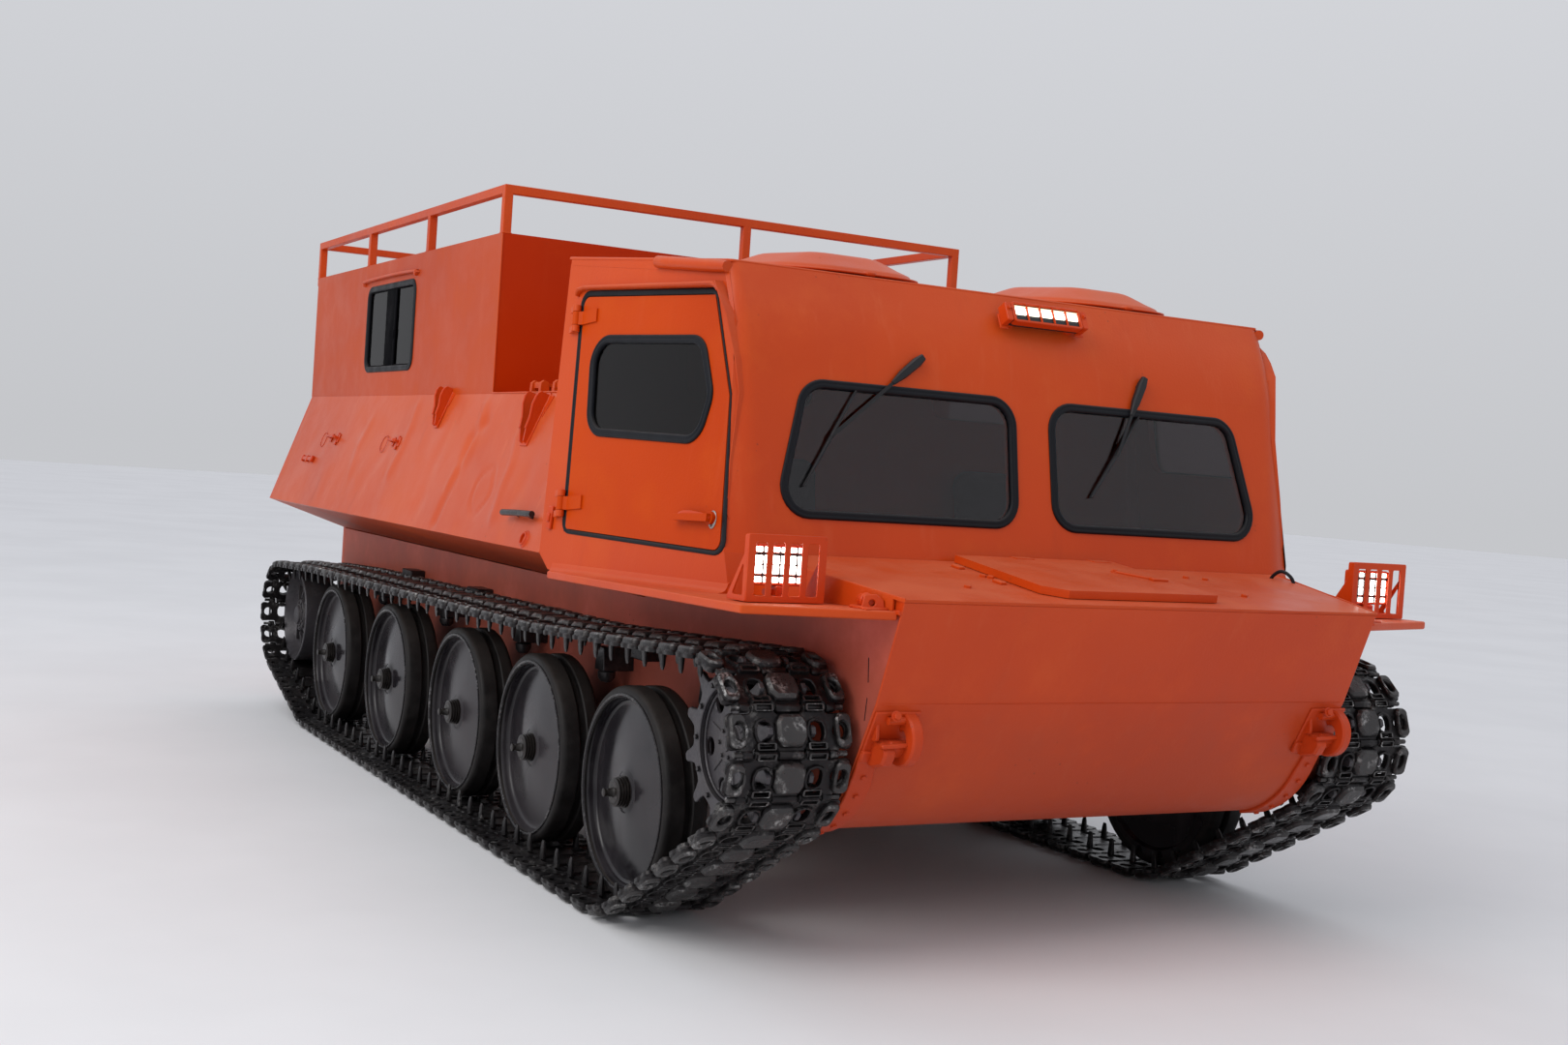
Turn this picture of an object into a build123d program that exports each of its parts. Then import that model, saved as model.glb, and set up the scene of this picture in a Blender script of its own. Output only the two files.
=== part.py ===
"""Tracked all-terrain vehicle with a raised cab and a box body.

Frame: +X forward, +Y to the vehicle's left, +Z up, origin on the ground under
the middle of the overall length. Lengths in millimetres.

Lengthwise positions are given from the line through the first road wheels
(positive forward) and moved into the frame by fx().
"""

from build123d import *
import math
import os

os.makedirs("parts", exist_ok=True)

# ----------------------------------------------------------------- main sizes
DATUM = 1850.0          # first road-wheel line, forward of the origin
BOW_TIP = 1093.0        # foremost edge of the bow plate, from the wheel line
HITCH_END = -4793.0     # rearmost point of the rear tow hitch
PLATE = 8.0             # hull plate
HULL_HALF = 882.0       # outer face of the hull sides
HULL_Z = 385.0          # underside of the hull
BODY_HALF = 1295.0      # widest line of the sponsons
SHELF_TIP_HALF = 1301.0

TRACK_MID = 1100.0      # track centre line, from the vehicle's centre plane
TRACK_W = 390.0
TRACK_BODY = 30.0       # shoe body
GROUSER = 15.0
SHOES = 92

WHEEL_R = 339.0
WHEEL_Z = 384.0
WHEEL_X = [-50.0, -892.0, -1735.0, -2708.0, -3682.0]
SPROCKET = (648.0, 655.0)    # x from wheel line, z
SPROCKET_PATH_R = 250.0      # to the middle of the shoe body
IDLER = (-4450.0, 492.0)
IDLER_PATH_R = 266.0

CAB_WALL = 40.0
BOX_WALL = 40.0
BOX_HALF = 1098.0
BOX_FRONT = -1720.0
BOX_REAR = -4660.0
BELT_Z = 1670.0
BOX_TOP = 2315.0
RAIL_TOP = 2510.0
RAIL = 36.0

# cab side plane: |y| = SIDE_A - SIDE_B * x - SIDE_C * z (x from wheel line)
SIDE_A, SIDE_B, SIDE_C = 1298.3, 0.1635, 0.0891


def fx(x):
    return x + DATUM


def offset_line(pts, t):
    """Open polyline moved to its left by t, with mitred corners."""
    out = []
    n = len(pts)
    for i in range(n):
        def nrm(a, b):
            dx, dy = b[0] - a[0], b[1] - a[1]
            s = math.hypot(dx, dy)
            return (-dy / s, dx / s)
        if i == 0:
            m = nrm(pts[0], pts[1])
            k = t
        elif i == n - 1:
            m = nrm(pts[-2], pts[-1])
            k = t
        else:
            a, b = nrm(pts[i - 1], pts[i]), nrm(pts[i], pts[i + 1])
            m = (a[0] + b[0], a[1] + b[1])
            s = math.hypot(*m)
            m = (m[0] / s, m[1] / s)
            k = t / (m[0] * a[0] + m[1] * a[1])
        out.append((pts[i][0] + m[0] * k, pts[i][1] + m[1] * k))
    return out


def inset(pts, t):
    """Closed polygon, listed anticlockwise, shrunk by t."""
    n = len(pts)
    out = []
    for i in range(n):
        a, b, c = pts[i - 1], pts[i], pts[(i + 1) % n]
        def nrm(p, q):
            dx, dy = q[0] - p[0], q[1] - p[1]
            s = math.hypot(dx, dy)
            return (-dy / s, dx / s)
        u, v = nrm(a, b), nrm(b, c)
        m = (u[0] + v[0], u[1] + v[1])
        s = math.hypot(*m)
        m = (m[0] / s, m[1] / s)
        k = t / (m[0] * u[0] + m[1] * u[1])
        out.append((b[0] + m[0] * k, b[1] + m[1] * k))
    return out


def lengthwise(y):
    """Sketch plane x-z at y whose extrusions run towards -Y."""
    return Plane(origin=(0, y, 0), x_dir=(1, 0, 0), z_dir=(0, -1, 0))


def crosswise(x):
    """Sketch plane y-z at x (from the wheel line), extrusions run forward."""
    return Plane(origin=(fx(x), 0, 0), x_dir=(0, 1, 0), z_dir=(1, 0, 0))


def at(pts):
    """x-z points given from the wheel line, in the frame."""
    return [(fx(p[0]), p[1]) for p in pts]


# ------------------------------------------------------------ derived lines
# outside of the belly, from the tail to where the bow starts to curve up
BELLY = [(-4660, 612), (-4660, 590), (-4480, HULL_Z), (544, HULL_Z)]
BELLY_IN = offset_line(BELLY, PLATE)
# bow: round chin from the belly, straight up to a crease, then the upper plate
CHIN = (544.0, HULL_Z + 356.0)                  # centre of the chin's curve
CHIN_R = 356.0
CHIN_END = 27.3                                 # degrees below level where it ends
CREASE = (983.0, 816.0)


def chin(r, deg):
    """Point on the chin, deg measured down from straight ahead."""
    return (CHIN[0] + r * math.cos(math.radians(deg)), CHIN[1] - r * math.sin(math.radians(deg)))


BOW = [chin(CHIN_R, CHIN_END), CREASE, (BOW_TIP, 1116)]
BOW_IN = offset_line(BOW, PLATE)

DECK_REAR = 487.0
DECK = [(DECK_REAR, 1192), (BOW_TIP, 1116)]     # top of the bow deck
DECK_HALF_REAR, DECK_HALF_FRONT = 1042.0, 890.0


def deck_z(x):
    return DECK[0][1] + (x - DECK[0][0]) * (DECK[1][1] - DECK[0][1]) / (DECK[1][0] - DECK[0][0])


def shelf_top(x):
    return 1048.0 + (x + 600.0) * 31.0 / 1527.0


SHELF_T = 26.0


def roof_top(x):
    return 2125.0 - (x + 655.0) * 71.0 / 932.0


ROOF_T = 25.0


def under_roof(gap):
    """x-z outline of everything above the roof's underside less a gap."""
    return [(-900, roof_top(-900) - ROOF_T - gap), (600, roof_top(600) - ROOF_T - gap), (600, 2600), (-900, 2600)]


def side_y(x, z):
    return SIDE_A - SIDE_B * x - SIDE_C * z


SIDE_N = math.sqrt(SIDE_B ** 2 + 1 + SIDE_C ** 2)
SIDE_NORMAL = (SIDE_B / SIDE_N, -1 / SIDE_N, SIDE_C / SIDE_N)
SIDE_H = math.hypot(SIDE_NORMAL[0], SIDE_NORMAL[1])
SIDE_ALONG = (-SIDE_NORMAL[1] / SIDE_H, SIDE_NORMAL[0] / SIDE_H, 0.0)
SIDE_UP = (SIDE_NORMAL[1] * SIDE_ALONG[2] - SIDE_NORMAL[2] * SIDE_ALONG[1],
           SIDE_NORMAL[2] * SIDE_ALONG[0] - SIDE_NORMAL[0] * SIDE_ALONG[2],
           SIDE_NORMAL[0] * SIDE_ALONG[1] - SIDE_NORMAL[1] * SIDE_ALONG[0])
SIDE_O = (0.0, -side_y(0.0, 1600.0), 1600.0)


def side_plane(depth=0.0):
    """Plane of the right-hand cab side, moved outwards by depth."""
    o = [SIDE_O[i] + SIDE_NORMAL[i] * depth for i in range(3)]
    return Plane(origin=(fx(o[0]), o[1], o[2]), x_dir=SIDE_ALONG, z_dir=SIDE_NORMAL)


def side_uv(pts):
    """Points given as x, z on the cab side, in that plane's own axes."""
    out = []
    for x, z in pts:
        d = (x - SIDE_O[0], -side_y(x, z) - SIDE_O[1], z - SIDE_O[2])
        out.append((sum(d[i] * SIDE_ALONG[i] for i in range(3)),
                    sum(d[i] * SIDE_UP[i] for i in range(3))))
    return out


def save(name, part):
    part.label = name
    export_step(part, "parts/" + name + ".step")
    return part


# ===================================================================== HULL
with BuildPart() as hull_floor:
    with BuildSketch(lengthwise(HULL_HALF)):
        with BuildLine():
            Polyline(*at(BELLY + BELLY_IN[::-1]), close=True)
        make_face()
    extrude(amount=2 * HULL_HALF)

BOW_HALF = 890.0
with BuildPart() as bow_plate:
    with BuildSketch(lengthwise(BOW_HALF)):
        with BuildLine():
            ThreePointArc(*at([chin(CHIN_R, 90), chin(CHIN_R, 58), BOW[0]]))
            Polyline(*at(BOW + BOW_IN[::-1]))
            ThreePointArc(*at([BOW_IN[0], chin(CHIN_R - PLATE, 58), chin(CHIN_R - PLATE, 90)]))
            Line(*at([chin(CHIN_R - PLATE, 90), chin(CHIN_R, 90)]))
        make_face()
    extrude(amount=2 * BOW_HALF)
    # its top edge stops under the deck
    with BuildSketch(lengthwise(BOW_HALF)):
        with BuildLine():
            Polyline(*at([(900, deck_z(900) - PLATE - 0.4), (1200, deck_z(1200) - PLATE - 0.4),
                          (1200, 1300), (900, 1300)]), close=True)
        make_face()
    extrude(amount=2 * BOW_HALF, mode=Mode.SUBTRACT)

# hull side plates: inside the shell line, up to shelf, sponson or deck
with BuildPart() as hull_sides:
    with BuildSketch(lengthwise(-HULL_HALF + PLATE)):
        with BuildLine():
            ThreePointArc(*at([chin(CHIN_R - PLATE - 0.4, 90), chin(CHIN_R - PLATE - 0.4, 58),
                               chin(CHIN_R - PLATE - 0.4, CHIN_END)]))
            Polyline(*at([chin(CHIN_R - PLATE - 0.4, CHIN_END), (BOW_IN[1][0] - 0.5, BOW_IN[1][1]), (1076, 1102),
                          (DECK_REAR, 1182.5), (DECK_REAR, shelf_top(DECK_REAR)), (-600, shelf_top(-600)),
                          (-600, 962), (-4620, 962), (-4620, 612), (-4651.5, 612),
                          (BELLY_IN[1][0] + 0.4, BELLY_IN[1][1]), (BELLY_IN[2][0], BELLY_IN[2][1] + 0.4),
                          chin(CHIN_R - PLATE - 0.4, 90)]))
        make_face()
    extrude(amount=PLATE)
    mirror(about=Plane.XZ)

# round housings on the hull sides that carry the sprockets
with BuildPart() as final_drives:
    with BuildSketch(lengthwise(-HULL_HALF - 0.5)):
        with Locations((fx(SPROCKET[0]), SPROCKET[1])):
            Circle(175)
    extrude(amount=28)
    with BuildSketch(lengthwise(-HULL_HALF - 20)):
        with Locations((fx(SPROCKET[0]), SPROCKET[1])):
            Circle(140)
    extrude(amount=37.5)
    mirror(about=Plane.XZ)

# bow deck: sloping top plate and the strips that drop from its edges
HATCH_X0, HATCH_X1 = 515.0, 1020.0          # bow hatch lid
HATCH_Y0, HATCH_Y1 = -345.0, 280.0
DECK_SLOPE = math.atan2(DECK[0][1] - DECK[1][1], DECK[1][0] - DECK[0][0])
BHATCH_AXIS = (505.0, deck_z(505.0) + 15.0)
BHATCH_HINGES = [-95.0, 215.0]
LID_PIN = 5.0

with BuildPart() as bow_deck:
    with BuildSketch(Plane.XY.offset(1000)):
        with BuildLine():
            Polyline((fx(DECK_REAR), -DECK_HALF_REAR), (fx(BOW_TIP), -DECK_HALF_FRONT),
                     (fx(BOW_TIP), DECK_HALF_FRONT), (fx(DECK_REAR), DECK_HALF_REAR), close=True)
        make_face()
        with Locations((fx((HATCH_X0 + HATCH_X1) / 2), (HATCH_Y0 + HATCH_Y1) / 2)):
            Rectangle(HATCH_X1 - HATCH_X0 - 70, HATCH_Y1 - HATCH_Y0 - 70, mode=Mode.SUBTRACT)
    extrude(amount=300)
    with BuildSketch(lengthwise(1200)):
        with BuildLine():
            Polyline(*at([(DECK_REAR, 1192), (BOW_TIP, 1116), (BOW_TIP - 3.0, 1116 - PLATE),
                          (DECK_REAR, 1192 - PLATE)]), close=True)
        make_face()
    extrude(amount=2400, mode=Mode.INTERSECT)
    # lugs and pins of the hatch hinges
    for y in BHATCH_HINGES:
        with BuildSketch(Plane(origin=(fx(BHATCH_AXIS[0]), y - 56, BHATCH_AXIS[1]), x_dir=(1, 0, 0), z_dir=(0, -1, 0))):
            Circle(LID_PIN)
        extrude(amount=-112)
        for y0 in (y - 56, y + 36):
            with BuildSketch(Plane(origin=(fx(BHATCH_AXIS[0]), y0 + 20, BHATCH_AXIS[1]), x_dir=(1, 0, 0), z_dir=(0, -1, 0))):
                with BuildLine():
                    Polyline((-9, 0), (-9, -16.5), (9, -16.5), (9, 0), (5, 8), (-5, 8), close=True)
                make_face()
            extrude(amount=20)
EDGE_X = BOW_TIP - 45.0
EDGE = (EDGE_X - DECK_REAR, DECK_HALF_REAR - 901.0)
EDGE_L = math.hypot(*EDGE)
edge_dir = (EDGE[0] / EDGE_L, EDGE[1] / EDGE_L, 0.0)
with BuildPart() as deck_edge:
    with BuildSketch(Plane(origin=(fx(DECK_REAR), -DECK_HALF_REAR, 0), x_dir=edge_dir,
                           z_dir=(edge_dir[1], -edge_dir[0], 0))):
        with BuildLine():
            Polyline((0, shelf_top(DECK_REAR) + 0.5), (EDGE_L, shelf_top(EDGE_X) + 0.5),
                     (EDGE_L, deck_z(EDGE_X) - PLATE + 0.5), (0, 1192 - PLATE + 0.5), close=True)
        make_face()
    extrude(amount=-PLATE)
    mirror(about=Plane.XZ)
with BuildPart() as bow_deck_full:
    add(bow_deck.part)
    add(deck_edge.part)

# fender shelves over the front of the tracks
with BuildPart() as fender_shelves:
    with BuildSketch(Plane.XY.offset(900)):
        with BuildLine():
            Polyline(*[(fx(x), -y) for x, y in [
                (-574, HULL_HALF), (1040, HULL_HALF), (1052, 892), (1064, 892),
                (927, SHELF_TIP_HALF), (-494, BODY_HALF), (-512, 1289), (-574, 1246)]], close=True)
        make_face()
    extrude(amount=400)
    with BuildSketch(lengthwise(1400)):
        with BuildLine():
            Polyline(*at([(-700, shelf_top(-700)), (1200, shelf_top(1200)),
                          (1200, shelf_top(1200) - SHELF_T), (-700, shelf_top(-700) - SHELF_T)]), close=True)
        make_face()
    extrude(amount=2800, mode=Mode.INTERSECT)
    mirror(about=Plane.XZ)

# ================================================================= SPONSONS
SPONSON_T = 24.0
SPONSON = [(-BOX_HALF, BELT_Z), (-BODY_HALF, 1105.0), (-HULL_HALF, 965.0)]   # y, z
SPONSON_IN = offset_line(SPONSON, SPONSON_T)
t_top = (BELT_Z - SPONSON_IN[1][1]) / (SPONSON_IN[0][1] - SPONSON_IN[1][1])
SPONSON_IN[0] = (SPONSON_IN[1][0] + t_top * (SPONSON_IN[0][0] - SPONSON_IN[1][0]), BELT_Z)
SPONSON_IN[2] = (-HULL_HALF, SPONSON_IN[2][1])


def cab_rear_x(z):
    """Outer face of the cab's rear wall, which leans back towards the top."""
    return -582.0 - 0.0716 * (z - 1106.0)


lean_cut = at([(cab_rear_x(900) - 1, 900), (cab_rear_x(1800) - 1, 1800), (-300, 1800), (-300, 900)])

with BuildPart() as sponson_panels:
    with BuildSketch(crosswise(-4620)):
        with BuildLine():
            Polyline(SPONSON[0], SPONSON[1], SPONSON_IN[1], SPONSON_IN[0], close=True)
        make_face()
    extrude(amount=4100)
    with BuildSketch(lengthwise(0)):
        with BuildLine():
            Polyline(*lean_cut, close=True)
        make_face()
    extrude(amount=1500, mode=Mode.SUBTRACT)
    mirror(about=Plane.XZ)

with BuildPart() as sponson_floors:
    with BuildSketch(crosswise(-4620)):
        with BuildLine():
            Polyline(SPONSON[1], SPONSON[2], SPONSON_IN[2], SPONSON_IN[1], close=True)
        make_face()
    extrude(amount=4100)
    with BuildSketch(lengthwise(0)):
        with BuildLine():
            Polyline(*lean_cut, close=True)
        make_face()
    extrude(amount=1500, mode=Mode.SUBTRACT)
    mirror(about=Plane.XZ)

# ====================================================================== CAB
# corner sections of the front panel, one row per height:
# z, x of the pillar line, |y| of the pillar line, x where the side begins
FRONT = [(1184.5, 485.3, 1042.0, 453.0),
         (1880.0, 361.0, 1059.0, 344.0),
         (2040.0, 283.8, 1066.0, 269.0)]
FRONT_T = 38.0


def front_section(z, xa, ya, xs):
    ys = side_y(xs, z)
    ins = (xs - 4.0, ys - CAB_WALL + 3.0)
    mid = (xa - FRONT_T, ya - 60.0)
    right = [(xs, -ys), (xa, -ya)]
    left = [(xa, ya), (xs, ys)]
    inner = [(ins[0], ins[1]), (mid[0], mid[1]), (mid[0], -mid[1]), (ins[0], -ins[1])]
    return [(fx(p[0]), p[1]) for p in right + left + inner]


FRONT_LOW = (361.0, 1880.0)                    # x, z on the lower front plane
FRONT_SLOPE = (FRONT[0][1] - FRONT[1][1]) / (FRONT[1][0] - FRONT[0][0])
_f = math.hypot(FRONT_SLOPE, 1.0)
FRONT_UP = (-FRONT_SLOPE / _f, 0.0, 1.0 / _f)
FRONT_NORMAL = (1.0 / _f, 0.0, FRONT_SLOPE / _f)


def front_plane(depth=0.0):
    """Lower front plane, y across and up the slope, moved forward by depth."""
    return Plane(origin=(fx(FRONT_LOW[0]) + FRONT_NORMAL[0] * depth, 0,
                         FRONT_LOW[1] + FRONT_NORMAL[2] * depth),
                 x_dir=(0, 1, 0), z_dir=FRONT_NORMAL)


def front_uv(pts):
    """Points given as y, z on the lower front plane, in that plane's axes."""
    return [(y, (z - FRONT_LOW[1]) / FRONT_UP[2]) for y, z in pts]


# outside of the rubber round the right-hand windscreen: y, z
SCREEN = [(-975, 1298), (-65, 1298), (-62, 1727), (-862, 1727)]
SCREEN_SEAL = 24.0

with BuildPart() as cab_front_panel:
    for z, xa, ya, xs in FRONT:
        with BuildSketch(Plane.XY.offset(z)):
            with BuildLine():
                Polyline(*front_section(z, xa, ya, xs), close=True)
            make_face()
    loft(ruled=True)
    with BuildSketch(front_plane(40)) as screens:
        with BuildLine():
            Polyline(*front_uv(inset(SCREEN, SCREEN_SEAL)), close=True)
        make_face()
        fillet(screens.vertices(), 75)
        mirror(about=Plane.YZ)
    extrude(amount=-140, mode=Mode.SUBTRACT)
    # its top edge stops under the roof
    with BuildSketch(lengthwise(1400)):
        with BuildLine():
            Polyline(*at(under_roof(0.5)), close=True)
        make_face()
    extrude(amount=2800, mode=Mode.SUBTRACT)

# right-hand side, door opening and door, as x, z on the side plane
SIDE_OUT = [(-582, 1106), (-512, shelf_top(-512) + 4.5), (504, shelf_top(504) + 4.5),
            (452, 1184.5), (343, 1880), (272.5, roof_top(272.5) - ROOF_T - 1.0), (-655, roof_top(-655) - ROOF_T - 1.0)]
DOOR_HOLE = [(-448, 1188), (440, 1181), (375, 1654), (226, 1971), (-543, 1991)]
DOOR_GAP = 10.0
DOOR_WIN = [(-392, 1512), (250, 1500), (290, 1655), (200, 1838), (-447, 1850)]
WIN_SEAL = 22.0

with BuildPart() as side_wall:
    with BuildSketch(side_plane()):
        with BuildLine():
            Polyline(*side_uv(SIDE_OUT), close=True)
        make_face()
    extrude(amount=-CAB_WALL)
    with BuildSketch(side_plane(5)) as hole:
        with BuildLine():
            Polyline(*side_uv(DOOR_HOLE), close=True)
        make_face()
        fillet(hole.vertices().group_by(Axis.Y)[0] + hole.vertices().group_by(Axis.Y)[-1], 38)
    extrude(amount=-CAB_WALL - 10, mode=Mode.SUBTRACT)
    # trimmed to the leaning rear face of the cab
    with BuildSketch(lengthwise(0)):
        with BuildLine():
            Polyline(*at([(cab_rear_x(900), 900), (cab_rear_x(2300), 2300), (-900, 2300), (-900, 900)]), close=True)
        make_face()
    extrude(amount=1500, mode=Mode.SUBTRACT)

# hinge line of the door, on the side plane, and how far it stands outside
HINGE_LINE = [(-456.5, 1188.0), (-551.5, 1991.0)]      # x, z at foot and head
HINGE_OUT = 15.0
PIN_R = 8.0
HINGE_ZS = [1280.0, 1905.0]
HINGE_H = 46.0
hinge_uv = side_uv(HINGE_LINE)
_hu = hinge_uv[1][0] - hinge_uv[0][0]
_hv = hinge_uv[1][1] - hinge_uv[0][1]
_hl = math.hypot(_hu, _hv)
HINGE_U, HINGE_V = _hu / _hl, _hv / _hl                # in-plane direction, upwards
HINGE_AXIS = tuple(HINGE_U * SIDE_ALONG[i] + HINGE_V * SIDE_UP[i] for i in range(3))


def hinge_point(z, slide=0.0):
    """Point on the door hinge axis at height z, slid along it."""
    k = (z - HINGE_LINE[0][1]) / (HINGE_LINE[1][1] - HINGE_LINE[0][1])
    x = HINGE_LINE[0][0] + k * (HINGE_LINE[1][0] - HINGE_LINE[0][0])
    p = (x, -side_y(x, z), z)
    return tuple(p[i] + SIDE_NORMAL[i] * HINGE_OUT + HINGE_AXIS[i] * slide
                 + (DATUM if i == 0 else 0.0) for i in range(3))


with BuildPart() as cab_side_right:
    add(side_wall.part)
    for z in HINGE_ZS:
        # fixed pin with a lug above and below the door's knuckle
        for lo, hi, r in ((-HINGE_H / 2 - 22, HINGE_H / 2 + 22, PIN_R),
                          (-HINGE_H / 2 - 22, -HINGE_H / 2 - 1, 14.0),
                          (HINGE_H / 2 + 1, HINGE_H / 2 + 22, 14.0)):
            with BuildSketch(Plane(origin=hinge_point(z, lo), x_dir=SIDE_NORMAL, z_dir=HINGE_AXIS)):
                Circle(r)
            extrude(amount=hi - lo)
        # feet of the lugs, back to the wall behind the door gap
        for lo, hi in ((-HINGE_H / 2 - 22, -HINGE_H / 2 - 1), (HINGE_H / 2 + 1, HINGE_H / 2 + 22)):
            with BuildSketch(Plane(origin=hinge_point(z, lo), x_dir=SIDE_NORMAL, z_dir=HINGE_AXIS)) as foot:
                with BuildLine():
                    Polyline((-13, 0), (6, 0), (-2, -44), (-16.5, -44), (-16.5, -12), close=True)
                make_face()
            extrude(amount=hi - lo)
with BuildPart() as cab_sides:
    add(cab_side_right.part)
    mirror(about=Plane.XZ)

with BuildPart() as door_leaf:
    with BuildSketch(side_plane()) as leaf:
        with BuildLine():
            Polyline(*side_uv(inset(DOOR_HOLE, DOOR_GAP)), close=True)
        make_face()
        fillet(leaf.vertices().group_by(Axis.Y)[0] + leaf.vertices().group_by(Axis.Y)[-1], 30)
    extrude(amount=-CAB_WALL)
    with BuildSketch(side_plane(5)) as win:
        with BuildLine():
            Polyline(*side_uv(inset(DOOR_WIN, WIN_SEAL)), close=True)
        make_face()
        fillet(win.vertices(), 75)
    extrude(amount=-CAB_WALL - 10, mode=Mode.SUBTRACT)
    # strap hinges: knuckle round the pin and a strap across the leaf
    for z in HINGE_ZS:
        with BuildSketch(Plane(origin=hinge_point(z, -HINGE_H / 2 + 0.5), x_dir=SIDE_NORMAL,
                               z_dir=HINGE_AXIS)) as strap:
            with BuildLine():
                Polyline((-14, 0), (0, 14), (-8, 26), (-8, 112), (-15.6, 112), (-15.6, 20), close=True)
            make_face()
            Circle(14.0)
            Circle(PIN_R + 0.08, mode=Mode.SUBTRACT)
        extrude(amount=HINGE_H - 1.0)
    # lever handle near the front edge
    h_uv = side_uv([(372, 1284), (205, 1276)])
    with BuildSketch(side_plane(-1)):
        with Locations(h_uv[0]):
            Circle(20)
    extrude(amount=17)
    with BuildSketch(side_plane(15)):
        with BuildLine():
            Polyline((h_uv[0][0] + 10, h_uv[0][1] + 12), (h_uv[1][0], h_uv[1][1] + 9),
                     (h_uv[1][0] - 12, h_uv[1][1]), (h_uv[1][0], h_uv[1][1] - 10),
                     (h_uv[0][0] + 10, h_uv[0][1] - 12), close=True)
        make_face()
    extrude(amount=16)

with BuildPart() as door_pane:
    with BuildSketch(side_plane(-16)) as pane:
        with BuildLine():
            Polyline(*side_uv(inset(DOOR_WIN, WIN_SEAL + 0.6)), close=True)
        make_face()
        fillet(pane.vertices(), 74.4)
    extrude(amount=-6)

# rear wall of the cab, leaning, between the sides
LEAN = (-0.0716 / math.hypot(0.0716, 1), 0, 1 / math.hypot(0.0716, 1))
LEAN_NORMAL = (LEAN[2], 0, -LEAN[0])
with BuildPart() as cab_rear_wall:
    with BuildSketch(Plane(origin=(fx(-582), 0, 1106), x_dir=(0, 1, 0), z_dir=LEAN_NORMAL)):
        with BuildLine():
            rows = [(1245, 1050), (1246, 1106), (1170, 2098), (1170, 2120)]       # |y|, z
            pts = [(-y, (z - 1106) / LEAN[2]) for y, z in rows]
            Polyline(*(pts + [(-p[0], p[1]) for p in reversed(pts)]), close=True)
        make_face()
    extrude(amount=CAB_WALL)
    with BuildSketch(Plane(origin=(fx(-582), 0, 1106), x_dir=(0, 1, 0), z_dir=LEAN_NORMAL)) as back_win:
        with Locations((-520, 700), (520, 700)):
            Rectangle(520, 260)
        fillet(back_win.vertices(), 50)
    extrude(amount=CAB_WALL, mode=Mode.SUBTRACT)
    with BuildSketch(lengthwise(1400)):
        with BuildLine():
            Polyline(*at(under_roof(0.5)), close=True)
        make_face()
    extrude(amount=2800, mode=Mode.SUBTRACT)

# roof with two hatch openings
ROOF_FRONT, ROOF_REAR = 303.0, -666.0
RHATCH_X, RHATCH_Y = -150.0, 530.0
RHATCH_L, RHATCH_W = 700.0, 560.0
ROOF_PITCH = math.atan(71.0 / 932.0)


def roof_plane(lift=0.0, x=RHATCH_X, y=RHATCH_Y):
    n = (math.sin(ROOF_PITCH), 0.0, math.cos(ROOF_PITCH))
    return Plane(origin=(fx(x) + n[0] * lift, y, roof_top(x) + n[2] * lift),
                 x_dir=(math.cos(ROOF_PITCH), 0, -math.sin(ROOF_PITCH)), z_dir=n)


RHINGE = (RHATCH_X - RHATCH_L / 2 - 16, roof_top(RHATCH_X - RHATCH_L / 2 - 16) + 21)
with BuildPart() as cab_roof:
    with BuildSketch(Plane.XY.offset(1900)):
        with BuildLine():
            rows = [(ROOF_REAR, side_y(ROOF_REAR, 2125) + 9), (ROOF_FRONT - 25, side_y(ROOF_FRONT, 2056) + 14),
                    (ROOF_FRONT, side_y(ROOF_FRONT, 2056) - 10)]
            Polyline(*([(fx(x), -y) for x, y in rows] + [(fx(x), y) for x, y in reversed(rows)]), close=True)
        make_face()
    extrude(amount=400)
    with BuildSketch(lengthwise(1400)):
        with BuildLine():
            Polyline(*at([(-800, roof_top(-800)), (600, roof_top(600)),
                          (600, roof_top(600) - ROOF_T), (-800, roof_top(-800) - ROOF_T)]), close=True)
        make_face()
    extrude(amount=2800, mode=Mode.INTERSECT)
    for side in (-1, 1):
        with BuildSketch(roof_plane(5, y=side * RHATCH_Y)) as rim:
            Rectangle(RHATCH_L - 150, RHATCH_W - 150)
            fillet(rim.vertices(), 150)
        extrude(amount=-40, mode=Mode.SUBTRACT)
        # upstand round the opening
        with BuildSketch(roof_plane(-1, y=side * RHATCH_Y)) as rim:
            Rectangle(RHATCH_L - 110, RHATCH_W - 110)
            fillet(rim.vertices(), 170)
            Rectangle(RHATCH_L - 150, RHATCH_W - 150, mode=Mode.SUBTRACT)
        extrude(amount=26)
        # lugs and pin of the lid's hinge
        with BuildSketch(Plane(origin=(fx(RHINGE[0]), side * RHATCH_Y + 110, RHINGE[1]), x_dir=(1, 0, 0), z_dir=(0, -1, 0))):
            Circle(LID_PIN)
        extrude(amount=220)
        for y0 in (-110, 91):
            with BuildSketch(Plane(origin=(fx(RHINGE[0]), side * RHATCH_Y + y0 + 19, RHINGE[1]), x_dir=(1, 0, 0),
                                   z_dir=(0, -1, 0))):
                with BuildLine():
                    Polyline((-10, 0), (-10, -22.5), (10, -24), (10, 0), (6, 9), (-6, 9), close=True)
                make_face()
            extrude(amount=19)

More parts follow.
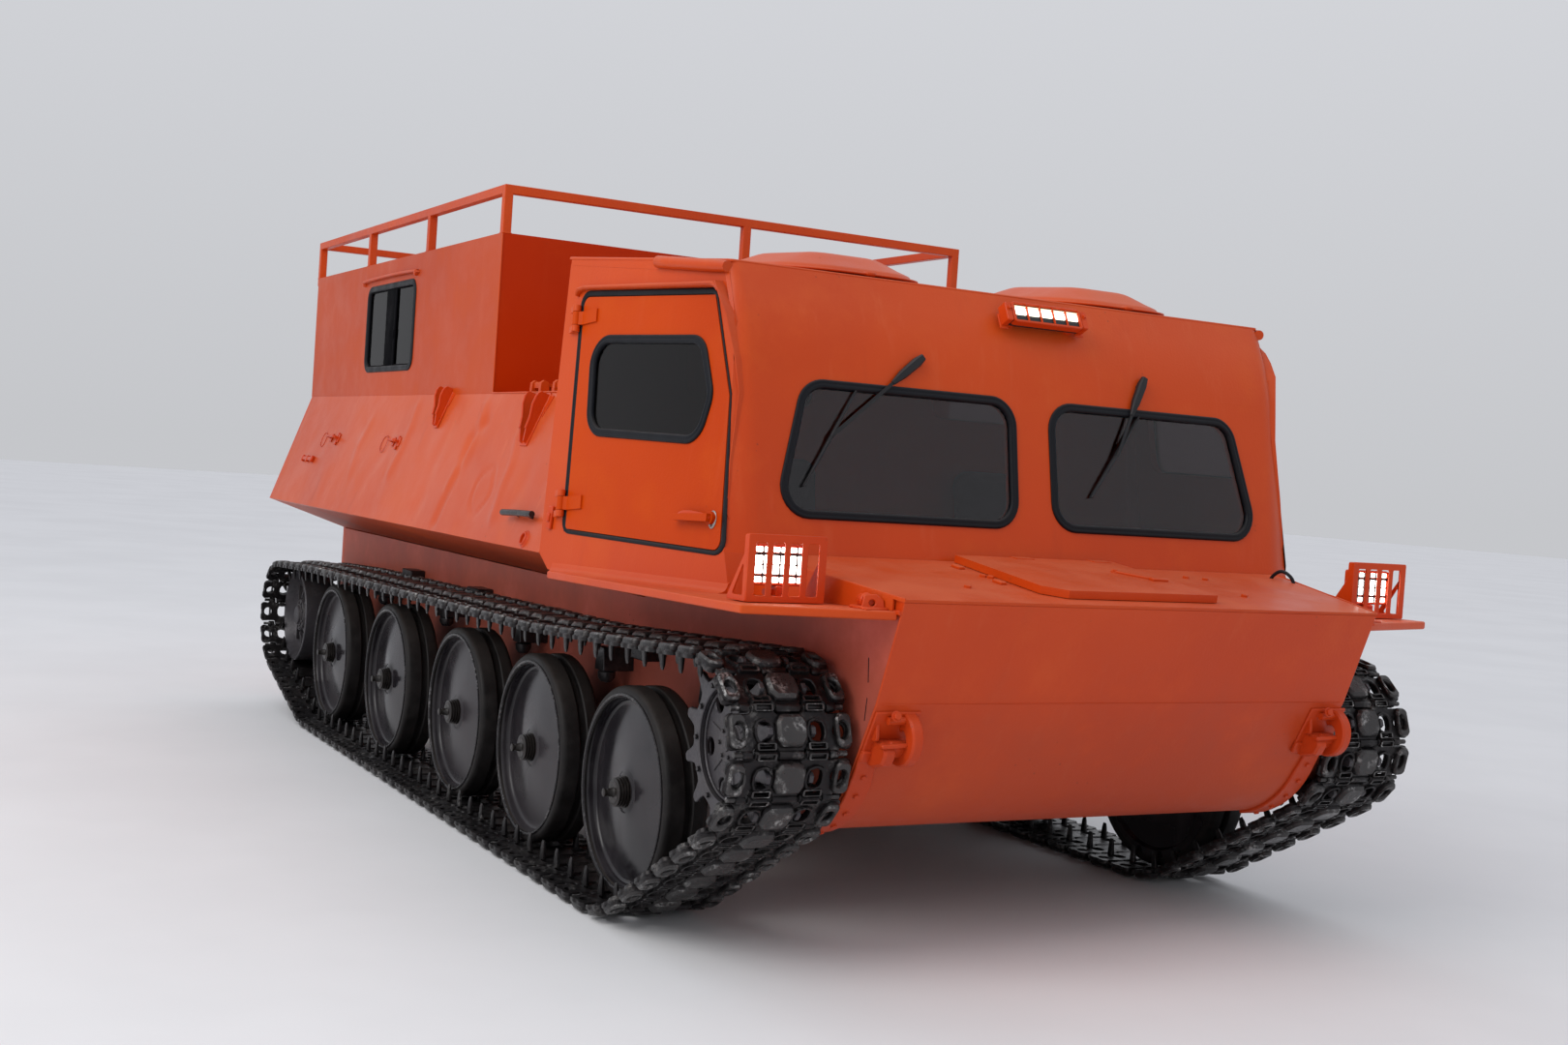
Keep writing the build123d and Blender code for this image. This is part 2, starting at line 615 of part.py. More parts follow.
# domed roof hatch lids, hinged along their rear edges
RLID_UP = 30.0
with BuildPart() as lid_right:
    with BuildSketch(roof_plane(RLID_UP - 22, y=-RHATCH_Y)) as lid0:
        Rectangle(RHATCH_L, RHATCH_W)
        fillet(lid0.vertices(), 215)
    extrude(amount=30)
    with BuildSketch(roof_plane(RLID_UP + 8, y=-RHATCH_Y)) as lid1:
        Rectangle(RHATCH_L - 20, RHATCH_W - 20)
        fillet(lid1.vertices(), 205)
    with BuildSketch(roof_plane(RLID_UP + 46, y=-RHATCH_Y)) as lid2:
        Rectangle(RHATCH_L - 330, RHATCH_W - 330)
        fillet(lid2.vertices(), 100)
    loft(ruled=True)
    # hollow underneath, open over the upstand
    with BuildSketch(roof_plane(RLID_UP - 22, y=-RHATCH_Y)) as lid3:
        Rectangle(RHATCH_L - 60, RHATCH_W - 60)
        fillet(lid3.vertices(), 190)
    extrude(amount=26, mode=Mode.SUBTRACT)
    # knuckle bar at the rear edge
    with BuildSketch(Plane(origin=(fx(RHINGE[0]), -RHATCH_Y + 90, RHINGE[1]), x_dir=(1, 0, 0), z_dir=(0, -1, 0))):
        with BuildLine():
            Polyline((-9, 0), (-7, -8), (4, -9), (34, -9), (34, 8), (0, 9), (-7, 6), close=True)
        make_face()
        Circle(LID_PIN + 0.08, mode=Mode.SUBTRACT)
    extrude(amount=180)

# ================================================================= BOX BODY
# engine cover lid on the deck between cab and box, hinged on its right edge
GLID_X0, GLID_X1 = -1590.0, -830.0
GLID_Y0, GLID_Y1 = -985.0, 430.0
GLID_AXIS = (-1008.0, BELT_Z + 34.0)            # y, z
GLID_HINGES = [-1425.0, -1185.0]
with BuildPart() as gap_deck:
    with BuildSketch(Plane.XY.offset(BELT_Z - PLATE)):
        with Locations((fx((BOX_FRONT + cab_rear_x(BELT_Z) - 1) / 2), 0)):
            Rectangle(cab_rear_x(BELT_Z) - 1 - BOX_FRONT, 2 * 1064)
        with Locations((fx((GLID_X0 + GLID_X1) / 2), (GLID_Y0 + GLID_Y1) / 2)):
            Rectangle(GLID_X1 - GLID_X0 - 80, GLID_Y1 - GLID_Y0 - 80, mode=Mode.SUBTRACT)
    extrude(amount=PLATE)
    for x in GLID_HINGES:
        with BuildSketch(crosswise(x - 60)):
            with Locations(GLID_AXIS):
                Circle(9)
        extrude(amount=120)
        for x0 in (x - 60, x + 36):
            with BuildSketch(crosswise(x0)):
                with BuildLine():
                    Polyline((GLID_AXIS[0] - 24, BELT_Z - 1), (GLID_AXIS[0] - 20, BELT_Z + 46), (GLID_AXIS[0] - 8, BELT_Z + 56),
                             (GLID_AXIS[0] + 10, BELT_Z + 50), (GLID_AXIS[0] + 16, BELT_Z - 1), close=True)
                make_face()
            extrude(amount=24)

with BuildPart() as deck_hatch:
    with BuildSketch(Plane.XY.offset(BELT_Z + 3)) as g0:
        with Locations((fx((GLID_X0 + GLID_X1) / 2), (GLID_Y0 + GLID_Y1) / 2)):
            Rectangle(GLID_X1 - GLID_X0, GLID_Y1 - GLID_Y0)
        fillet(g0.vertices(), 30)
    extrude(amount=30)
    with BuildSketch(Plane.XY.offset(BELT_Z + 3)):
        with Locations((fx((GLID_X0 + GLID_X1) / 2), (GLID_Y0 + GLID_Y1) / 2)):
            Rectangle(GLID_X1 - GLID_X0 - 12, GLID_Y1 - GLID_Y0 - 12)
    extrude(amount=24, mode=Mode.SUBTRACT)
    for x in GLID_HINGES:
        with BuildSketch(crosswise(x - 35)):
            with BuildLine():
                Polyline((GLID_AXIS[0] - 14, GLID_AXIS[1] - 8), (GLID_AXIS[0] - 14, GLID_AXIS[1] + 10),
                         (GLID_AXIS[0] - 6, GLID_AXIS[1] + 16), (GLID_AXIS[0] + 14, GLID_AXIS[1] + 12),
                         (GLID_AXIS[0] + 90, GLID_AXIS[1] + 5), (GLID_AXIS[0] + 90, GLID_AXIS[1] - 2),
                         (GLID_AXIS[0] + 24, GLID_AXIS[1] - 12), (GLID_AXIS[0] + 6, GLID_AXIS[1] - 16), close=True)
            make_face()
            with Locations(GLID_AXIS):
                Circle(9.08, mode=Mode.SUBTRACT)
        extrude(amount=70)

BULK = [(1058, 2274), (1058, 1655), (1238, 1140), (1238, 1120), (884, 1002), (868, 1002), (868, 460)]
with BuildPart() as box_front_wall:
    with BuildSketch(crosswise(BOX_FRONT - BOX_WALL)):
        with BuildLine():
            Polyline(*([(-y, z) for y, z in BULK] + [(y, z) for y, z in reversed(BULK)]), close=True)
        make_face()
    extrude(amount=BOX_WALL)

# side windows of the box: outside of the rubber, x0, x1, z0, z1
BWIN = (-3632.0, -2836.0, 1783.0, 2205.0)
BWIN_SEAL = 22.0
with BuildPart() as box_side_walls:
    with BuildSketch(lengthwise(-BOX_HALF + BOX_WALL)) as bw:
        with BuildLine():
            Polyline(*at([(-4620, BELT_Z), (BOX_FRONT, BELT_Z), (BOX_FRONT, BOX_TOP - BOX_WALL),
                          (-4620, BOX_TOP - BOX_WALL)]), close=True)
        make_face()
    extrude(amount=BOX_WALL)
    with BuildSketch(lengthwise(-BOX_HALF + BOX_WALL)) as hole:
        with Locations((fx((BWIN[0] + BWIN[1]) / 2), (BWIN[2] + BWIN[3]) / 2)):
            Rectangle(BWIN[1] - BWIN[0] - 2 * BWIN_SEAL, BWIN[3] - BWIN[2] - 2 * BWIN_SEAL)
        fillet(hole.vertices(), 45)
    extrude(amount=BOX_WALL, mode=Mode.SUBTRACT)
    mirror(about=Plane.XZ)

BOX_LIP = -4685.0
with BuildPart() as box_roof:
    with BuildSketch(Plane.XY.offset(BOX_TOP - BOX_WALL)):
        with Locations((fx((BOX_LIP + BOX_FRONT) / 2), 0)):
            Rectangle(BOX_FRONT - BOX_LIP, 2 * BOX_HALF)
    extrude(amount=BOX_WALL)

# tail wall: hull, sponson ends and box in one sheet, with the door opening
TAIL = [(HULL_HALF, 612), (HULL_HALF, 965), (BODY_HALF, 1105), (BOX_HALF, BELT_Z), (BOX_HALF, BOX_TOP - BOX_WALL)]
RDOOR = (-430.0, 430.0, 830.0, 2130.0)        # opening: y0, y1, z0, z1
RDOOR_GAP = 8.0
with BuildPart() as rear_wall:
    with BuildSketch(crosswise(BOX_REAR)):
        with BuildLine():
            Polyline(*([(-y, z) for y, z in TAIL] + [(y, z) for y, z in reversed(TAIL)]), close=True)
        make_face()
    extrude(amount=BOX_WALL)
    with BuildSketch(crosswise(BOX_REAR)) as hole:
        with Locations((0, (RDOOR[2] + RDOOR[3]) / 2)):
            Rectangle(RDOOR[1] - RDOOR[0], RDOOR[3] - RDOOR[2])
        fillet(hole.vertices(), 50)
    extrude(amount=BOX_WALL, mode=Mode.SUBTRACT)
    # hinge lugs and pins, on the right-hand edge of the door
    for z in (1080.0, 1880.0):
        with BuildSketch(Plane.XY.offset(z - 46)):
            with Locations((fx(BOX_REAR - 15), RDOOR[0] - 4)):
                Circle(PIN_R)
        extrude(amount=92)
        for z0 in (z - 46, z + 24):
            with BuildSketch(Plane.XY.offset(z0)):
                with Locations((fx(BOX_REAR - 15), RDOOR[0] - 4)):
                    Circle(14)
                with BuildLine():
                    Polyline((fx(BOX_REAR - 15), RDOOR[0] - 18), (fx(BOX_REAR - 15), RDOOR[0] - 4),
                             (fx(BOX_REAR + 2), RDOOR[0] - 12), (fx(BOX_REAR + 2), RDOOR[0] - 60),
                             (fx(BOX_REAR - 6), RDOOR[0] - 60), close=True)
                make_face()
            extrude(amount=22)

with BuildPart() as rear_door:
    with BuildSketch(crosswise(BOX_REAR)) as rd:
        with Locations((0, (RDOOR[2] + RDOOR[3]) / 2)):
            Rectangle(RDOOR[1] - RDOOR[0] - 2 * RDOOR_GAP, RDOOR[3] - RDOOR[2] - 2 * RDOOR_GAP)
        fillet(rd.vertices(), 44)
        with Locations((0, 1840)):
            Rectangle(520, 380, mode=Mode.SUBTRACT)
    extrude(amount=BOX_WALL)
    for z in (1080.0, 1880.0):
        with BuildSketch(Plane.XY.offset(z - 22.5)):
            with BuildLine():
                Polyline((fx(BOX_REAR - 15), RDOOR[0] - 4), (fx(BOX_REAR - 22), RDOOR[0] + 8),
                         (fx(BOX_REAR - 8), RDOOR[0] + 30), (fx(BOX_REAR - 8), RDOOR[0] + 160),
                         (fx(BOX_REAR + 1), RDOOR[0] + 160), (fx(BOX_REAR + 1), RDOOR[0] + 22), close=True)
            make_face()
            with Locations((fx(BOX_REAR - 15), RDOOR[0] - 4)):
                Circle(14)
                Circle(PIN_R + 0.08, mode=Mode.SUBTRACT)
        extrude(amount=45)
    # lever handle
    with BuildSketch(crosswise(BOX_REAR - 34)):
        with Locations((355, 1450)):
            Circle(20)
    extrude(amount=35)
    with BuildSketch(crosswise(BOX_REAR - 46)):
        with Locations((310, 1450)):
            Rectangle(130, 24)
    extrude(amount=14)

with BuildPart() as rear_door_glass:
    with BuildSketch(crosswise(BOX_REAR + 16)):
        with Locations((0, 1840)):
            Rectangle(519, 379)
    extrude(amount=6)

with BuildPart() as interior_floor:
    with BuildSketch(Plane.XY.offset(560)):
        with Locations((fx(-80), 0)):
            Rectangle(1000, 2 * 790)
    extrude(amount=12)
    with BuildSketch(Plane.XY.offset(440)):
        with Locations((fx(-3135), 0)):
            Rectangle(2710, 2 * 866)
    extrude(amount=12)

# roof rail: square tube, posts by a table: x, y
POSTS = [(BOX_FRONT - RAIL / 2, -BOX_HALF + RAIL / 2), (BOX_FRONT - RAIL / 2, 0), (BOX_FRONT - RAIL / 2, BOX_HALF - RAIL / 2),
         (-2720, -BOX_HALF + RAIL / 2), (-2720, BOX_HALF - RAIL / 2),
         (-3680, -BOX_HALF + RAIL / 2), (-3680, BOX_HALF - RAIL / 2),
         (BOX_LIP + RAIL / 2, -BOX_HALF + RAIL / 2), (BOX_LIP + RAIL / 2, 0), (BOX_LIP + RAIL / 2, BOX_HALF - RAIL / 2)]
with BuildPart() as roof_rail:
    with BuildSketch(Plane.XY.offset(RAIL_TOP - RAIL)):
        with Locations((fx((BOX_LIP + BOX_FRONT) / 2), 0)):
            Rectangle(BOX_FRONT - BOX_LIP, 2 * BOX_HALF)
            Rectangle(BOX_FRONT - BOX_LIP - 2 * RAIL, 2 * BOX_HALF - 2 * RAIL, mode=Mode.SUBTRACT)
    extrude(amount=RAIL)
    with BuildSketch(Plane.XY.offset(BOX_TOP)):
        with Locations(*[(fx(x), y) for x, y in POSTS]):
            Rectangle(RAIL, RAIL)
    extrude(amount=RAIL_TOP - RAIL - BOX_TOP + 1)

# ============================================================== RUNNING GEAR
# middle line of the shoe bodies as points and arcs, closed, walked by length
PATH_Z = GROUSER + TRACK_BODY / 2            # height of the lower run
RUN_TOP = [(-3700.0, 788.0), (-2340.0, 808.0), (-660.0, 836.0)]   # points on the upper run
CHORD = 12.0            # shoes are straight, so the loop stands this far off a wheel


def tangent(c1, r1, c2, r2):
    """Outer tangent between two circles, on the left of c1 -> c2."""
    dx, dz = c2[0] - c1[0], c2[1] - c1[1]
    d = math.hypot(dx, dz)
    a = math.atan2(dz, dx) + math.acos((r1 - r2) / d)
    return ((c1[0] + r1 * math.cos(a), c1[1] + r1 * math.sin(a)),
            (c2[0] + r2 * math.cos(a), c2[1] + r2 * math.sin(a)))


def track_path():
    """Points of the middle line, anticlockwise seen from the right side."""
    wr = WHEEL_Z - PATH_Z + CHORD
    pts = []

    def arc(c, r, a0, a1, n):
        for i in range(n + 1):
            a = a0 + (a1 - a0) * i / n
            pts.append((c[0] + r * math.cos(a), c[1] + r * math.sin(a)))

    # front ramp: tangent under first wheel and sprocket
    (p0, p1) = tangent(SPROCKET, SPROCKET_PATH_R, (WHEEL_X[0], WHEEL_Z), wr)
    a_ramp = math.atan2(p0[1] - SPROCKET[1], p0[0] - SPROCKET[0])
    # rear ramp: tangent under last wheel and idler
    (q0, q1) = tangent((WHEEL_X[-1], WHEEL_Z), wr, IDLER, IDLER_PATH_R)
    a_rear = math.atan2(q0[1] - WHEEL_Z, q0[0] - WHEEL_X[-1])
    lift = math.acos((WHEEL_Z - PATH_Z) / wr)
    arc((WHEEL_X[-1], WHEEL_Z), wr, a_rear, -math.pi / 2 - lift, 16)
    arc((WHEEL_X[0], WHEEL_Z), wr, -math.pi / 2 + lift, a_ramp, 16)
    top = RUN_TOP[::-1]

    def tangent_up(c, r, p, sgn):
        dx, dz = p[0] - c[0], p[1] - c[1]
        d = math.hypot(dx, dz)
        return math.atan2(dz, dx) + sgn * math.acos(r / d)

    a1 = tangent_up(SPROCKET, SPROCKET_PATH_R, top[0], -1)
    arc(SPROCKET, SPROCKET_PATH_R, a_ramp, a1, 24)
    for p in top:
        pts.append(p)
    a2 = tangent_up(IDLER, IDLER_PATH_R, top[-1], 1)
    arc(IDLER, IDLER_PATH_R, a2, a_rear + 2 * math.pi, 24)
    return pts


PATH = track_path()


def walk(pts, n):
    """n points spaced evenly along the closed line."""
    closed = pts + [pts[0]]
    seg = [math.dist(closed[i], closed[i + 1]) for i in range(len(pts))]
    total = sum(seg)
    out, i, done = [], 0, 0.0
    for k in range(n):
        want = total * k / n
        while done + seg[i] < want:
            done += seg[i]
            i += 1
        f = (want - done) / seg[i] if seg[i] else 0.0
        a, b = closed[i], closed[i + 1]
        out.append((a[0] + (b[0] - a[0]) * f, a[1] + (b[1] - a[1]) * f))
    return out, total


JOINTS, LOOP = walk(PATH, SHOES)


def shoe_outline():
    """Outer outline with one grouser per shoe, and plain inner outline."""
    outer, inner = [], []
    h = TRACK_BODY / 2
    for i in range(SHOES):
        a, b = JOINTS[i], JOINTS[(i + 1) % SHOES]
        dx, dz = b[0] - a[0], b[1] - a[1]
        s = math.hypot(dx, dz)
        t, n = (dx / s, dz / s), (dz / s, -dx / s)      # n points out of the loop

        def p(f, d):
            return (a[0] + t[0] * s * f + n[0] * d, a[1] + t[1] * s * f + n[1] * d)
        outer += [p(0.06, h), p(0.30, h), p(0.36, h + GROUSER), p(0.64, h + GROUSER), p(0.70, h), p(0.94, h)]
        prev = JOINTS[i - 1]
        px, pz = a[0] - prev[0], a[1] - prev[1]
        ps = math.hypot(px, pz)
        m = (n[0] + pz / ps, n[1] - px / ps)
        ms = math.hypot(*m)
        m = (m[0] / ms, m[1] / ms)
        k = h / (m[0] * n[0] + m[1] * n[1])
        inner.append((a[0] - m[0] * k, a[1] - m[1] * k))
    return outer, inner


OUTER, INNER = shoe_outline()
with BuildPart() as track_right:
    with BuildSketch(lengthwise(-TRACK_MID + TRACK_W / 2)):
        with BuildLine():
            Polyline(*at(OUTER), close=True)
        make_face()
        with BuildLine():
            Polyline(*at(INNER), close=True)
        make_face(mode=Mode.SUBTRACT)
    extrude(amount=TRACK_W)
with BuildPart() as track_left:
    add(mirror(track_right.part, about=Plane.XZ, mode=Mode.PRIVATE))

# road wheels: dished disc, rim ring and hub cap by a half profile: y outward, radius
TYRE_IN_R = 296.0
DISC = [(1020, 95), (1035, 95), (1035, 60), (1128, 60), (1128, 44), (1192, 38), (1192, 14), (1204, 12),
        (1204, 0), (940, 0), (940, 62), (1020, 62)]
WHEEL_PROFILE = [(1040, 0), (1040, 270), (1024, 270), (1024, TYRE_IN_R), (1176, TYRE_IN_R), (1176, 284),
                 (1160, 276), (1110, 268), (1124, 150), (1130, 62), (1150, 54), (1188, 46), (1188, 16),
                 (1200, 13), (1200, 0)]
with BuildPart() as road_wheels:
    for x in WHEEL_X:
        with BuildSketch(Plane(origin=(fx(x), 0, WHEEL_Z), x_dir=(0, -1, 0), z_dir=(-1, 0, 0))):
            with BuildLine():
                Polyline(*WHEEL_PROFILE, close=True)
            make_face()
        revolve(axis=Axis((fx(x), 0, WHEEL_Z), (0, 1, 0)))
    mirror(about=Plane.XZ)

with BuildPart() as wheel_tyres:
    for x in WHEEL_X:
        with BuildSketch(Plane(origin=(fx(x), 0, WHEEL_Z), x_dir=(0, -1, 0), z_dir=(-1, 0, 0))):
            with BuildLine():
                Polyline((1026, TYRE_IN_R), (1030, WHEEL_R - 8), (1038, WHEEL_R - 0.4), (1162, WHEEL_R - 0.4),
                         (1170, WHEEL_R - 8), (1174, TYRE_IN_R), close=True)
            make_face()
        revolve(axis=Axis((fx(x), 0, WHEEL_Z), (0, 1, 0)))
    mirror(about=Plane.XZ)

with BuildPart() as idler_wheels:
    with BuildSketch(Plane(origin=(fx(IDLER[0]), 0, IDLER[1]), x_dir=(0, -1, 0), z_dir=(-1, 0, 0))):
        with BuildLine():
            Polyline((1050, 0), (1050, 190), (1028, 196), (1028, 241), (1172, 241), (1172, 222),
                     (1108, 205), (1108, 92), (1146, 84), (1146, 50), (1166, 44), (1166, 0), close=True)
        make_face()
    revolve(axis=Axis((fx(IDLER[0]), 0, IDLER[1]), (0, 1, 0)))
    mirror(about=Plane.XZ)

SPROCKET_TEETH = 14
with BuildPart() as drive_sprockets:
    with BuildSketch(Plane(origin=(fx(SPROCKET[0]), 0, SPROCKET[1]), x_dir=(0, -1, 0), z_dir=(-1, 0, 0))):
        with BuildLine():
            Polyline((940, 0), (940, 150), (1008, 170), (1008, 214), (1160, 214), (1160, 206),
                     (1140, 200), (1140, 118), (1154, 110), (1154, 60), (1168, 52), (1168, 0), close=True)
        make_face()
    revolve(axis=Axis((fx(SPROCKET[0]), 0, SPROCKET[1]), (0, 1, 0)))
    # lightening holes through the outer disc
    with BuildSketch(Plane(origin=(fx(SPROCKET[0]), -1130, SPROCKET[1]), x_dir=(1, 0, 0), z_dir=(0, -1, 0))):
        with PolarLocations(156, 6):
            Circle(30)
    extrude(amount=40, mode=Mode.SUBTRACT)
    # teeth, in two rings
    for y in (-1012.0, -1152.0):
        with BuildSketch(Plane(origin=(fx(SPROCKET[0]), y, SPROCKET[1]), x_dir=(1, 0, 0), z_dir=(0, -1, 0))):
            with PolarLocations(207, SPROCKET_TEETH):
                Rectangle(26, 34)
        extrude(amount=-14 if y < -1100 else 14)
    mirror(about=Plane.XZ)

# trailing arms: pivot tube out of the hull side, arm, stub axle
ARM = [(x, x + 250.0) for x in WHEEL_X]         # wheel x, pivot x
PIVOT_Z = 470.0
with BuildPart() as suspension_arms:
    for wx, px in ARM:
        for cx, cz, r, y0, y1 in ((px, PIVOT_Z, 52, -HULL_HALF, -1000), (wx, WHEEL_Z, 46, -940, -1039)):
            with BuildSketch(Plane(origin=(fx(cx), y0, cz), x_dir=(1, 0, 0), z_dir=(0, -1, 0))):
                Circle(r)
            extrude(amount=y0 - y1)
        with BuildSketch(Plane(origin=(0, -945, 0), x_dir=(1, 0, 0), z_dir=(0, -1, 0))) as arm:
            with BuildLine():
                Polyline((fx(px), PIVOT_Z + 50), (fx(wx), WHEEL_Z + 42), (fx(wx), WHEEL_Z - 42),
                         (fx(px), PIVOT_Z - 50), close=True)
            make_face()
        extrude(amount=50)
    # idler crank and its pivot
    for cx, cz, r, y0, y1 in ((-4320, 520, 55, -HULL_HALF, -1000), (IDLER[0], IDLER[1], 40, -940, -1049)):
        with BuildSketch(Plane(origin=(fx(cx), y0, cz), x_dir=(1, 0, 0), z_dir=(0, -1, 0))):
            Circle(r)
        extrude(amount=y0 - y1)
    with BuildSketch(Plane(origin=(0, -945, 0), x_dir=(1, 0, 0), z_dir=(0, -1, 0))):
        with BuildLine():
            Polyline((fx(-4320), 572), (fx(IDLER[0]), IDLER[1] + 38), (fx(IDLER[0]), IDLER[1] - 38),
                     (fx(-4320), 468), close=True)
        make_face()
    extrude(amount=50)
    mirror(about=Plane.XZ)

# ================================================================= FITTINGS
# lamp guards: open-backed boxes on the shelves
GUARD_Z0, GUARD_Z1 = 1080.0, 1265.0
with BuildPart() as lamp_guards:
    with BuildSketch(crosswise(752)):
        with Locations((-1133.5, (GUARD_Z0 + GUARD_Z1) / 2)):
            Rectangle(245, GUARD_Z1 - GUARD_Z0)
            Rectangle(233, GUARD_Z1 - GUARD_Z0 - 12, mode=Mode.SUBTRACT)
    extrude(amount=116)
    with BuildSketch(crosswise(862)):
        with Locations((-1133.5, (GUARD_Z0 + GUARD_Z1) / 2)):
            Rectangle(245, GUARD_Z1 - GUARD_Z0)
        with Locations(*[(-1133.5 + k * 54.0, (GUARD_Z0 + GUARD_Z1) / 2 - 2) for k in (-1.5, -0.5, 0.5, 1.5)]):
            Rectangle(34, GUARD_Z1 - GUARD_Z0 - 40, mode=Mode.SUBTRACT)
    extrude(amount=6)
    mirror(about=Plane.XZ)

with BuildPart() as led_lamps:
    for side in (-1, 1):
        with BuildSketch(crosswise(778)) as lamp:
            with Locations((side * 1133.5, 1180)):
                Rectangle(180, 120)
            fillet(lamp.vertices(), 8)
        extrude(amount=52)
        with BuildSketch(crosswise(790)):
            with Locations((side * 1133.5, 1105)):
                Rectangle(60, 36)
        extrude(amount=28)
    # light bar under the roof edge, on two feet
    bar_n = (0.9, 0.0, 0.436)
    with BuildSketch(Plane(origin=(fx(330), 55, 1988), x_dir=(0, 1, 0), z_dir=bar_n)) as bar:
        Rectangle(330, 62)
        fillet(bar.vertices(), 8)
    extrude(amount=48)
    with BuildSketch(Plane(origin=(fx(330), 55, 1988), x_dir=(0, 1, 0), z_dir=bar_n)):
        with Locations((-120, 0), (120, 0)):
            Rectangle(24, 30)
    extrude(amount=-17)

with BuildPart() as fixed_windows:
    with BuildSketch(front_plane(-14)) as panes:
        with BuildLine():
            Polyline(*front_uv(inset(SCREEN, SCREEN_SEAL + 0.6)), close=True)
        make_face()
        fillet(panes.vertices(), 74.4)
        mirror(about=Plane.YZ)
    extrude(amount=-6)
    for side in (-1, 1):
        with BuildSketch(lengthwise(side * (BOX_HALF - 17) + 3)) as pane:
            with Locations((fx((BWIN[0] + BWIN[1]) / 2), (BWIN[2] + BWIN[3]) / 2)):
                Rectangle(BWIN[1] - BWIN[0] - 2 * BWIN_SEAL - 1.2, BWIN[3] - BWIN[2] - 2 * BWIN_SEAL - 1.2)
            fillet(pane.vertices(), 44.4)
        extrude(amount=6)
    with BuildSketch(Plane(origin=(fx(-582), 0, 1106), x_dir=(0, 1, 0), z_dir=LEAN_NORMAL).offset(16)) as back:
        with Locations((-520, 700), (520, 700)):
            Rectangle(518.8, 258.8)
        fillet(back.vertices(), 49.4)
    extrude(amount=6)

# tow hooks on the bow, and the hitch at the tail
HOOK_Y = 835.0
HOOK = (948.0, 722.0)       # x, z of the hook's eye
HOOK_R = 80.0


HITCH_R = 21.0
with BuildPart() as tow_hooks:
    for side in (-1, 1):
        # upright round hook plate, open at the back towards the bow
        with BuildSketch(lengthwise(side * HOOK_Y + 17)):
            with Locations((fx(HOOK[0]), HOOK[1])):
                Circle(HOOK_R)
            with Locations((fx(HOOK[0] + 16), HOOK[1] - 4)):
                Circle(25, mode=Mode.SUBTRACT)
            with BuildLine():
                Polyline(*at([(HOOK[0] + 16, HOOK[1] - 29), (HOOK[0] + 16, HOOK[1] + 4), (HOOK[0] - 60, HOOK[1] - 30),
                              (HOOK[0] - 60, HOOK[1] - 64)]), close=True)
            make_face(mode=Mode.SUBTRACT)
            # trimmed along the lower bow plate
            with BuildLine():
                Polyline(*at([(CREASE[0] + 1, CREASE[1]), (BOW[0][0] + 1, BOW[0][1]), (BOW[0][0] - 160, BOW[0][1]),
                              (BOW[0][0] - 160, CREASE[1])]), close=True)
            make_face(mode=Mode.SUBTRACT)
        extrude(amount=34)
    # hitch: plate, tube and ring
    with BuildSketch(crosswise(BOX_REAR - 14)):
        with Locations((0, 690)):
            Rectangle(300, 140)
    extrude(amount=14)
    with BuildSketch(Plane.XY.offset(672)) as ring:
        with BuildLine():
            Polyline((fx(BOX_REAR - 10), -70), (fx(BOX_REAR - 10), 70), (fx(-4745), 48), (fx(-4745), -48), close=True)
        make_face()
        with Locations((fx(HITCH_END + 48), 0)):
            Circle(48)
            Circle(HITCH_R, mode=Mode.SUBTRACT)
    extrude(amount=36)

# brackets along the sponson panel: x, distance down the panel, length, width, height out
sl = math.hypot(BODY_HALF - BOX_HALF, BELT_Z - 1105.0)
SLANT_DOWN = (0.0, -(BODY_HALF - BOX_HALF) / sl, -(BELT_Z - 1105.0) / sl)
SLANT_N = (0.0, -(BELT_Z - 1105.0) / sl, (BODY_HALF - BOX_HALF) / sl)
slant = Plane(origin=(DATUM, -BOX_HALF, BELT_Z), x_dir=(1, 0, 0), z_dir=SLANT_N)     # y_dir runs up the panel
BRACKETS = [(-2270, 30, 10, 130, 44), (-2215, 30, 10, 130, 44), (-1135, 30, 10, 170, 44), (-1075, 30, 10, 170, 44),
            (-4160, 320, 60, 22, 26), (-3745, 232, 16, 40, 24), (-2790, 218, 16, 40, 24)]
with BuildPart() as side_brackets:
    with BuildSketch(slant):
        for x, down, lx, ly, out in BRACKETS:
            with Locations((x, -down - ly / 2)):
                Rectangle(lx, ly)
    extrude(amount=24)
    # drain spout near the cab
    with BuildSketch(slant):
        with Locations((-736, -545)):
            Circle(22)
    extrude(amount=20)
    mirror(about=Plane.XZ)

# ================================================================= INTERIOR
SEATS = [-530.0, 530.0]
with BuildPart() as seat_frames:
    for y in SEATS:
        with BuildSketch(Plane.XY.offset(572)):
            with Locations((fx(-190), y)):
                Rectangle(400, 400)
        extrude(amount=300)
    for side in (-1, 1):
        with BuildSketch(Plane.XY.offset(452)):
            with Locations((fx(-3150), side * 675)):
                Rectangle(2300, 380)
        extrude(amount=380)

with BuildPart() as seat_pads:
    for y in SEATS:
        with BuildSketch(Plane.XY.offset(873)) as pad:
            with Locations((fx(-180), y)):
                Rectangle(470, 480)
            fillet(pad.vertices(), 50)
        extrude(amount=110)
        with BuildSketch(Plane(origin=(fx(-440), y, 990), x_dir=(0, 1, 0), z_dir=(0.985, 0, 0.174))) as back:
            with Locations((0, 260)):
                Rectangle(460, 500)
            fillet(back.vertices(), 60)
        extrude(amount=100)
    for side in (-1, 1):
        with BuildSketch(Plane.XY.offset(833)) as pad:
            with Locations((fx(-3150), side * 675)):
                Rectangle(2300, 390)
            fillet(pad.vertices(), 40)
        extrude(amount=90)

